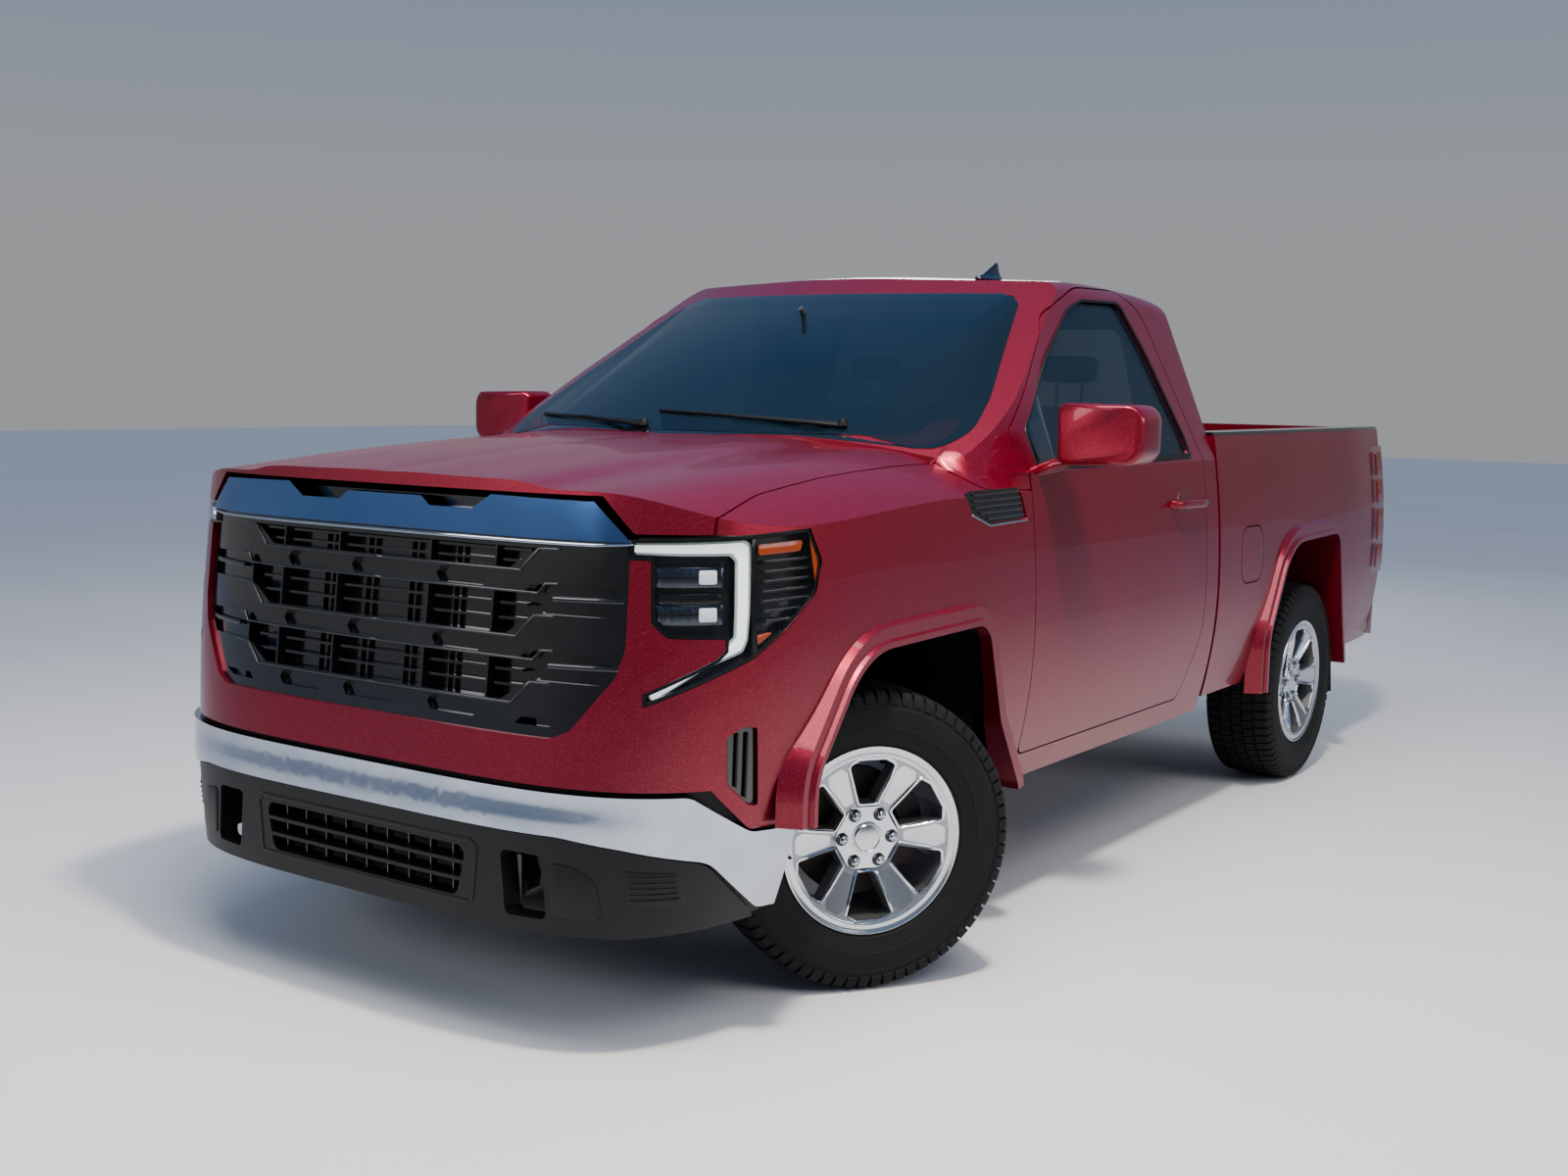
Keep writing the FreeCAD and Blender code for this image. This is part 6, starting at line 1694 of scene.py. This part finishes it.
@dataclass(frozen=True)
class DoorTrim:
    """Handles, belt mouldings, mirrors and window seals of both doors."""

    # Outline of the handle's cup, a flat patch whose darker red is painted shade
    cup: Outline = ((1786, 1160, 30), (1792, 1206, 20), (1812, 1236, 30), (1870, 1244, 30),
                    (1922, 1230, 30), (1944, 1200, 20), (1948, 1158, 30))
    belt: Outline = ((752, 1334, 4), (752, 1350, 5), (1944, 1358, 5), (1944, 1342, 4))
    seal: Outline = ((748, 1352, 4), (748, 1452, 20), (1050, 1668, 200), (1330, 1828, 200), (1460, 1862, 90),
                     (1760, 1866, 60), (1850, 1700, 300), (1945, 1412, 60), (1945, 1352, 8))
    seal_radius: float = 5.0
    mirror_head: Outline = ((1026, 1362, 34), (1022, 1520, 36), (1046, 1534, 30), (1262, 1530, 44),
                            (1290, 1500, 50), (1290, 1392, 46), (1262, 1360, 44), (1060, 1352, 40))
    mirror_frame: Outline = ((1032, 1366, 30), (1270, 1368, 40), (1282, 1518, 50), (1030, 1526, 32))
    mirror_glass: Outline = ((1042, 1376, 24), (1262, 1376, 34), (1274, 1508, 44), (1040, 1518, 28))
    mirror_sail: Outline = ((753, 1356, 8), (753, 1446, 8), (905, 1566, 8), (880, 1356, 8))

    def both_doors(self, name: str, solid: Solid, finish: Finishes, old_mirror: bool = False,
                   **how: float) -> None:
        """Place a piece on the left door and its mirror image on the right one.

        Args:
            name: the piece's name without its side.
            solid: the left one.
            finish: its finish.
            old_mirror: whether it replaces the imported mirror.
            how: bevel or smooth_deg, as piece takes them.
        """
        for side, form in (("left", solid), ("right", solid.mirrored())):
            piece(f"{name}_{side}", form, finish, f"door_{side}",
                  stands_for=(f"mirror_{side}",) if old_mirror else (), **how)

    def handle(self) -> tuple[Solid, Solid]:
        """Grip that rises off the door at both ends, and the cup behind it: a flat patch in darker red,
        painted shade of the dish.

        Returns:
            The grip and the cup.
        """
        grip = []
        for k in range(29):
            t = k / 28
            station = 1722 + 284 * t
            edge = min(t, 1 - t)
            out = 3 + 31 * (1 - math.exp(-edge * 16))
            half_high = 14.5 - 3.0 * abs(2 * t - 1) ** 3
            centre = door_point(station, 1192 - 5 * t, out)
            section = []
            for m in range(16):
                a = 2 * math.pi * m / 16
                wide, tall = (abs(f) ** 0.65 * math.copysign(1, f) for f in (math.cos(a), math.sin(a)))
                section.append(centre + Vector((7.5 * wide, 0, half_high * tall)))
            grip.append(section)
        return loft(grip), SKIN.plate(SKIN.side, self.cup, -0.9, 3)

    def mirror(self) -> None:
        """Body-colour head on a swept foot, with its black frame, glass and corner sail."""
        y = SKIN.axle_y
        outline = rounded(self.mirror_head, 12)
        head = []
        for station, scale, lean in ((713, 0.84, -3), (714.5, 0.90, -2), (718, 0.945, -1), (725, 0.975, 0),
                                     (740, 0.993, 0), (775, 1.0, 0), (840, 1.0, 0), (876, 0.985, 0),
                                     (885, 0.96, 0)):
            head.append([(1158 + lean + (u - 1158) * scale,
                          y + station + 26 * ((u - 1158) / 132) ** 2 * (885 - station) / 172,
                          1444 + (v - 1444) * scale) for u, v in outline])
        self.both_doors("mirror_head", loft(head), Finishes.PAINT, smooth_deg=50, old_mirror=True)
        foot = []
        for x, z0, z1, s0, s1 in ((962, 1316, 1352, 742, 900), (985, 1326, 1362, 742, 888),
                                  (1015, 1342, 1372, 744, 872), (1050, 1352, 1378, 748, 860),
                                  (1090, 1358, 1382, 752, 852)):
            section = rounded(((s0, z0, 10), (s0 + 6, z1, 14), (s1 - 10, z1, 14), (s1, z0 + 6, 10)), 999)
            foot.append([(x, y + a, b) for a, b in section])
        self.both_doors("mirror_foot", loft(foot), Finishes.PAINT, smooth_deg=50)
        ring = upright(self.mirror_frame, y + 880, y + 888, 20)
        self.both_doors("mirror_frame", ring, Finishes.BLACK_TRIM, bevel=1.5)
        glass = upright(self.mirror_glass, y + 887, y + 890, 20)
        self.both_doors("mirror_glass", glass, Finishes.MIRROR_GLASS, bevel=0.8)
        sail = rounded(self.mirror_sail, 30)
        plate = thick(sheet_grid(sail, 40, 40), lambda p: door_point(p.x, p.y, 3),
                      lambda p: door_point(p.x, p.y, -2))
        self.both_doors("mirror_sail", plate, Finishes.GLOSS_BLACK, bevel=1.0)

    def build(self) -> None:
        """Make the trim of both doors."""
        handle, cup = self.handle()
        self.both_doors("door_handle", handle, Finishes.PAINT, smooth_deg=45)
        # The cup is a flat patch in darker red: painted shade of the dished recess
        self.both_doors("door_handle_cup_painted_shade", cup, Finishes.RED_PAINTED_SHADE)
        belt = thick(sheet_grid(rounded(self.belt, 60), 60, 60),
                     lambda p: door_point(p.x, max(p.y, 1330.5), 5),
                     lambda p: door_point(p.x, max(p.y, 1330.5), -8))
        self.both_doors("belt_moulding", belt, Finishes.BLACK_TRIM, bevel=2)
        lock = lathe(((0, 0), (0, 9), (2.5, 8.5), (3, 0)), 24, False)
        at = Matrix.Translation(door_point(1990, 1190, 30.5))
        piece("door_lock", lock.turned(at), Finishes.CHROME_DARK, "door_left")
        path = [door_point(u, v, 1.5) for u, v in rounded(self.seal, 30)]
        self.both_doors("window_seal", tube(path + path[:1], self.seal_radius, 8), Finishes.BLACK_TRIM)
        self.mirror()


@dataclass(frozen=True)
class Bed:
    """Floor ribs, tie-downs, the fuel door's grip, tail lamps, rear bumper parts and mud flaps."""

    front: float = 2186.0
    rear: float = 4262.0

    def floor_ribs(self) -> Solid:
        """Raised corrugations along the bed's floor.

        Returns:
            The corrugations.
        """
        result = Solid()
        y0, y1 = SKIN.axle_y + self.front + 60, SKIN.axle_y + self.rear - 24
        for x in range(-576, 577, 96):
            profile = [(x - 30, 861), (x - 22, 868.5), (x + 22, 868.5), (x + 30, 861)]
            result.join(slab(profile, lambda u, v, d: (u, d, v), y0, y1))
        return result

    def tie_downs(self) -> Solid:
        """Six folding loops on the bed's walls.

        Returns:
            The loops and their plates.
        """
        result = Solid()
        for station in (2320, 3230, 4120):
            y = station + SKIN.axle_y
            result.join(tube([(838, y - 26, 1262), (822, y - 26, 1258), (814, y - 18, 1240),
                              (814, y + 18, 1240), (822, y + 26, 1258), (838, y + 26, 1262)], 5, 10))
            result.join(box((833, y - 38, 1246), (845, y + 38, 1284)))
        return result.both()

    def build(self) -> None:
        """Make the bed's and tail's fine parts."""
        piece("bed_floor_ribs", self.floor_ribs(), Finishes.PAINT, bevel=1.5)
        piece("tie_downs", self.tie_downs(), Finishes.DARK_METAL, bevel=1.5)
        edge = [(2598, 950, 14), (2598, 992, 14), (2627, 992, 4), (2627, 950, 4)]
        # The grip's notch is a flat patch in darker red: painted shade of the recess
        notch_shade = SKIN.plate(SKIN.side, edge, -0.6, 4)
        piece("fuel_door_grip_painted_shade", notch_shade, Finishes.RED_PAINTED_SHADE, "fuel_door")
        self.tail_lamps()
        self.bumper()
        self.splash()

    def lamp_panel(self, low: float, high: float) -> Solid:
        """Plate on the tail corner's side face, between two heights."""
        return SKIN.plate(SKIN.side, rect(4132, low, 4226, high, 10), -0.6, 6)

    def tail_lamps(self) -> None:
        """Lit bands and reversing lamp on each tail lamp."""
        rear_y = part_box("taillamps")[1][1] * 1000
        side = Solid()
        back = Solid()
        for low, high in ((1210, 1318), (1088, 1196), (800, 905)):
            side.join(self.lamp_panel(low, high))
            back.join(upright(rect(868, low, 926, high, 8), rear_y - 6, rear_y + 1.2))
        side.join(self.lamp_panel(926, 1066))
        clear = upright(rect(868, 926, 926, 1066, 8), rear_y - 6, rear_y + 1.4)
        piece("tail_lamp_bands", side.join(back).both(), Finishes.TAIL_LENS, bevel=2)
        piece("reversing_lamps", clear.both(), Finishes.LENS_WHITE, bevel=2)

    def bumper(self) -> None:
        """Step pads, blank plate and its lamps."""
        low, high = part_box("bumper_rear")
        top, back = high[2] * 1000, high[1] * 1000
        front = low[1] * 1000
        pads = Solid()
        for a, b in ((-930, -575), (-535, 535), (575, 930)):
            trim = 46 if abs(a) > 900 or b > 900 else 8
            outline = ((a + 10, front + 12, 10), (b - 10, front + 12, 10), (b - 10, back - trim - 12, 22),
                       (a + 10, back - trim - 12, 22))
            pads.join(slab(rounded(outline, 40), lambda u, v, d: (u, v, d), top - 3, top + 4))
        piece("rear_step_pads", pads, Finishes.BLACK_TRIM, bevel=2)
        ribs = [box((x - 4, front + 24, top + 3), (x + 4, back - 34, top + 6)) for x in range(-510, 511, 20)]
        piece("rear_step_ribs", Solid().join(*ribs), Finishes.BLACK_TRIM, bevel=1.0)
        plate = upright(rect(-155, 540, 155, 616, 8), back - 2, back + 2)
        piece("rear_blank_plate", plate, Finishes.PLATE, bevel=0.8)
        lamps = box((-206, back - 8, 600), (-172, back + 6, 624)).both()
        piece("plate_lamps", lamps, Finishes.LENS_WHITE, bevel=2)

    def splash(self) -> None:
        """Mud flaps behind the rear wheels."""
        y = SKIN.axle_y + REAR_AXLE + 402
        profile = [(y - 4, 470), (y + 30, 300), (y + 36, 300), (y + 3, 472)]
        flap = slab(rounded(profile, 40), lambda u, v, d: (d, u, v), 762, 986)
        piece("mud_flaps", flap.both(), Finishes.BLACK_TRIM, bevel=1.5)


# Cabin

@dataclass(frozen=True)
class Cabin:
    """Padded bench, headrests and dash details seen through the glass."""

    cushion: Outline = ((1306, 806, 24), (1350, 780, 30), (1960, 790, 30), (1980, 905, 40), (1318, 934, 40))
    back: Outline = ((1926, 955, 30), (2010, 900, 40), (2120, 1500, 30), (2096, 1536, 30), (2054, 1520, 30))
    headrest: Outline = ((2080, 1594, 18), (2140, 1598, 18), (2146, 1692, 22), (2096, 1698, 22))
    pad_gap: float = 12.0
    headrest_half: float = 108.0
    edge_mm: float = 22.0
    voxel_mm: float = 16.0
    pressure: float = 4.0
    frames: int = 20

    def pad(self, name: str, outline: Corners, low: float, high: float, cap_mm: float) -> None:
        """Inflate one cushion by cloth simulation.

        Args:
            name: the cushion's name.
            outline: its side profile as (station, z, radius), slightly small.
            low: its lower X.
            high: its upper X.
            cap_mm: how far any point may move.
        """
        profile = rounded(outline, 16)
        solid = slab(profile, lambda u, v, d: (d, u + SKIN.axle_y, v), high, low)
        item = linked(name, to_mesh(name, solid))
        edge = item.modifiers.new("edge", "BEVEL")
        edge.width = self.edge_mm * MM
        edge.segments = 3
        mesher = item.modifiers.new("voxels", "REMESH")
        mesher.mode = "VOXEL"
        mesher.voxel_size = self.voxel_mm * MM
        applied(item)
        start = [v.co.copy() for v in item.data.vertices]
        cloth = item.modifiers.new("cloth", "CLOTH")
        cloth.settings.use_pressure = True
        cloth.settings.uniform_pressure_force = self.pressure
        cloth.settings.effector_weights.gravity = 0.0
        cloth.point_cache.frame_start, cloth.point_cache.frame_end = 1, self.frames
        for frame_number in range(1, self.frames + 1):
            bpy.context.scene.frame_set(frame_number)
        applied(item)
        bpy.context.scene.frame_set(1)
        for vertex, first in zip(item.data.vertices, start):
            move = vertex.co - first
            if move.length > cap_mm * MM:
                vertex.co = first + move.normalized() * cap_mm * MM
        item.modifiers.new("smooth", "SUBSURF").levels = 1
        applied(item)
        painted(item, Finishes.CLOTH)
        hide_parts("seat")
        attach(item, "root")

    def seat(self) -> None:
        """Two outer seats and the middle one, with headrests on posts."""
        spans = ((-748, -272), (-246, 246), (272, 748))
        gap, half = self.pad_gap, self.headrest_half
        for label, (low, high) in zip(("right", "middle", "left"), spans):
            self.pad(f"seat_cushion_{label}", self.cushion, low + gap, high - gap, 22)
            self.pad(f"seat_back_{label}", self.back, low + gap, high - gap, 20)
        for label, x in (("right", -420), ("left", 420)):
            self.pad(f"headrest_{label}", self.headrest, x - half, x + half, 10)
        y = SKIN.axle_y
        posts = [tube([(x, y + 2110, 1510), (x, y + 2114, 1620)], 6, 12) for x in (-470, -370, 370, 470)]
        piece("headrest_posts", Solid().join(*posts), Finishes.CHROME)
        bases = [box((low + 20, y + 1330, 700), (high - 20, y + 1950, 800)) for low, high in spans]
        piece("seat_bases", Solid().join(*bases), Finishes.CABIN, bevel=12)

    def dash(self) -> None:
        """Instrument hood with its gauges, screen, vents and the glove box's lid."""
        y = SKIN.axle_y
        arch = ((-170, 0), (-150, 52), (-90, 66), (90, 66), (150, 52), (170, 0))
        hood = loft([[(400 + u * s, y + d, 1290 + v * s) for u, v in arch]
                     for d, s in ((760, 0.7), (800, 0.95), (925, 1.0))])
        piece("instrument_hood", hood, Finishes.CABIN, bevel=4)
        dials = Solid()
        for x in (330, 470):
            ring = lathe(((0, 0), (0, 46), (3, 48), (5, 46), (5, 0)), 40, False)
            there = Matrix.Translation((x, y + 926, 1300)) @ Matrix.Rotation(math.radians(90), 4, "Z")
            dials.join(ring.turned(there @ Matrix.Scale(0.8, 4)))
        piece("gauges", dials, Finishes.CHROME_DARK)
        screen = upright(rect(-130, 1200, 130, 1330, 12), y + 900, y + 916)
        piece("dash_screen", screen, Finishes.GLOSS_BLACK, bevel=2)
        vents = Solid()
        for x in (-760, -250, 190, 760):
            for k in range(6):
                vents.join(box((x - 48, y + 900, 1226 + 11 * k), (x + 48, y + 912, 1231 + 11 * k)))
        piece("dash_vents", vents, Finishes.CHROME_DARK, bevel=0.8)
        lid = upright(rect(-700, 1010, -300, 1160, 20), y + 898, y + 909)
        piece("glove_box_lid", lid, Finishes.CABIN, bevel=3)

    def build(self) -> None:
        """Make the cabin's pieces."""
        self.seat()
        self.dash()


# Camera, floor and light: each soft box has a place, an aim, a width, a length and a power

SOFT_BOXES = (
    ("top_box", (1.0, -2.6, 5.4), (1.0, -2.59, 0), 3.0, 4.4, 330),
    ("driver_side_box", (7.0, 0.5, 2.9), (0, 0.4, 0.9), 5.5, 1.6, 130),
    ("front_box", (-2.4, -8.0, 3.2), (0, -2.0, 0.9), 4.5, 1.8, 160),
    ("rear_box", (-4.5, 7.5, 3.2), (0.0, 2.0, 0.9), 3.0, 1.8, 160),
)
SKY_STOPS = ((0.0, "#c3c4c7"), (0.1, "#c2c5ca"), (0.3, "#86a6d2"), (0.6, "#5a8ed6"), (0.9, "#86a9da"))


@dataclass(frozen=True)
class Studio:
    """Pale floor, soft light and the camera at the photograph's angle; the sky is blue above the horizon."""

    eye: Point = (3.2465, -5.6248, 1.5716)
    yaw_deg: float = -35.62
    pitch_deg: float = -6.87
    roll_deg: float = 0.96
    focal_px: float = 1794.3
    image_px: float = 1600.0
    sensor_mm: float = 36.0
    centre_shift_px: Point2 = (50.1, 7.7)
    floor_half: float = 40.0
    sun_strength: float = 1.3
    sun_angle: float = 0.5
    sun_tint: Point = (1.0, 0.95, 0.88)
    sun_turn: Point = (0.45, 0.5, 0.3)
    sky_strength: float = 0.62
    wall_colour: str = "#888c92"

    def camera(self) -> None:
        """Place the scene's camera."""
        yaw, pitch, roll = (math.radians(a) for a in (self.yaw_deg, self.pitch_deg, self.roll_deg))
        ahead = Vector((math.sin(yaw) * math.cos(pitch), math.cos(yaw) * math.cos(pitch), math.sin(pitch)))
        side = ahead.cross(Vector((0, 0, 1))).normalized()
        top = side.cross(ahead)
        right = math.cos(roll) * side + math.sin(roll) * top
        up = math.cos(roll) * top - math.sin(roll) * side
        data = bpy.data.cameras.new("camera")
        data.sensor_width = self.sensor_mm
        data.lens = self.focal_px / self.image_px * self.sensor_mm
        data.shift_x, data.shift_y = (p / self.image_px for p in self.centre_shift_px)
        camera = linked("camera", data)
        camera.matrix_world = Matrix.Translation(self.eye) @ Matrix((right, up, -ahead)).transposed().to_4x4()
        bpy.context.scene.camera = camera

    def floor(self) -> None:
        """Lay a plain pale floor."""
        half = self.floor_half
        mesh = bpy.data.meshes.new("floor")
        corners = [(-half, -half, 0), (half, -half, 0), (half, half, 0), (-half, half, 0)]
        mesh.from_pydata(corners, [], [(0, 1, 2, 3)])
        floor = linked("floor", mesh)
        finish = Finish("pale_studio_floor", "#c4c5c7", "#bebfc2", 0.6, patch_mm=2500)
        mesh.materials.append(finish.build())

    def lamp(self, name: str, place: Point, aim: Point, width: float, length: float, power: float,
             colour: str = "#ffffff") -> None:
        """Hang one soft rectangular light.

        Args:
            name: the light's name.
            place: where it hangs.
            aim: the point it faces.
            width: its width in metres.
            length: its length in metres.
            power: its power in watts.
            colour: its hex colour.
        """
        data = bpy.data.lights.new(name, "AREA")
        data.shape = "RECTANGLE"
        data.size, data.size_y = width, length
        data.energy = power
        data.color = linear(colour)[:3]
        lamp = linked(name, data)
        lamp.location = place
        lamp.rotation_euler = (Vector(aim) - Vector(place)).to_track_quat("-Z", "Y").to_euler()

    def light(self) -> None:
        """Set the soft boxes and the pale surroundings."""
        for values in SOFT_BOXES:
            self.lamp(*values)
        sun = bpy.data.lights.new("high_sun", "SUN")
        sun.energy, sun.angle, sun.color = self.sun_strength, self.sun_angle, self.sun_tint
        linked("high_sun", sun).rotation_euler = self.sun_turn
        self.lamp("sun_box", (2.2, -2.6, 6.0), (0.4, -1.4, 1.2), 0.5, 0.5, 560, "#fff2df")
        self.surroundings()

    def surroundings(self) -> None:
        """Pale ring at the horizon under a blue sky, with a darker wall behind the camera's left side."""
        world = bpy.data.worlds.new("surroundings")
        world.use_nodes = True
        tree = world.node_tree
        tree.nodes.clear()
        direction = add(tree, "ShaderNodeTexCoord").outputs["Generated"]
        toward = add(tree, "ShaderNodeSeparateXYZ", links={0: direction})
        sky = ramp(tree, toward.outputs["Z"], SKY_STOPS)
        low = add(tree, "ShaderNodeMapRange",
                  {"From Min": 0.07, "From Max": 0.2, "To Min": 1.0, "To Max": 0.0},
                  {"Value": toward.outputs["Z"]})
        across = add(tree, "ShaderNodeMath", {"operation": "MULTIPLY_ADD", 1: 0.9}, {0: toward.outputs["X"]})
        back = add(tree, "ShaderNodeMath", {"operation": "MULTIPLY", 1: -0.25}, {0: toward.outputs["Y"]})
        tree.links.new(back.outputs[0], across.inputs[2])
        near = add(tree, "ShaderNodeMapRange", {"From Min": -0.25, "From Max": 0.1},
                   {"Value": across.outputs[0]})
        share = add(tree, "ShaderNodeMath", {"operation": "MULTIPLY"},
                    {0: low.outputs["Result"], 1: near.outputs["Result"]})
        wall = add(tree, "ShaderNodeMix", {"data_type": "RGBA"}, {"Factor": share.outputs[0]})
        tree.links.new(sky, wall.inputs[6])
        wall.inputs[7].default_value = linear(self.wall_colour)
        ground = add(tree, "ShaderNodeBackground", {"Strength": self.sky_strength},
                     {"Color": wall.outputs[2]})
        add(tree, "ShaderNodeOutputWorld", links={"Surface": ground.outputs["Background"]})
        bpy.context.scene.world = world

    def build(self) -> None:
        """Set up camera, floor and light."""
        self.camera()
        self.floor()
        self.light()


def main() -> None:
    """Dress the truck, piece by piece."""
    logging.basicConfig(level=logging.INFO, format="%(name)s: %(message)s")
    Studio().build()
    dress_nodes()
    for assembly in (Wheel(), Headlamp(), Grille(), Vents(), Glazing(), DoorTrim(), Bed(), Cabin()):
        LOG.info("building %s", type(assembly).__name__)
        assembly.build()


if __name__ == "__main__":
    main()
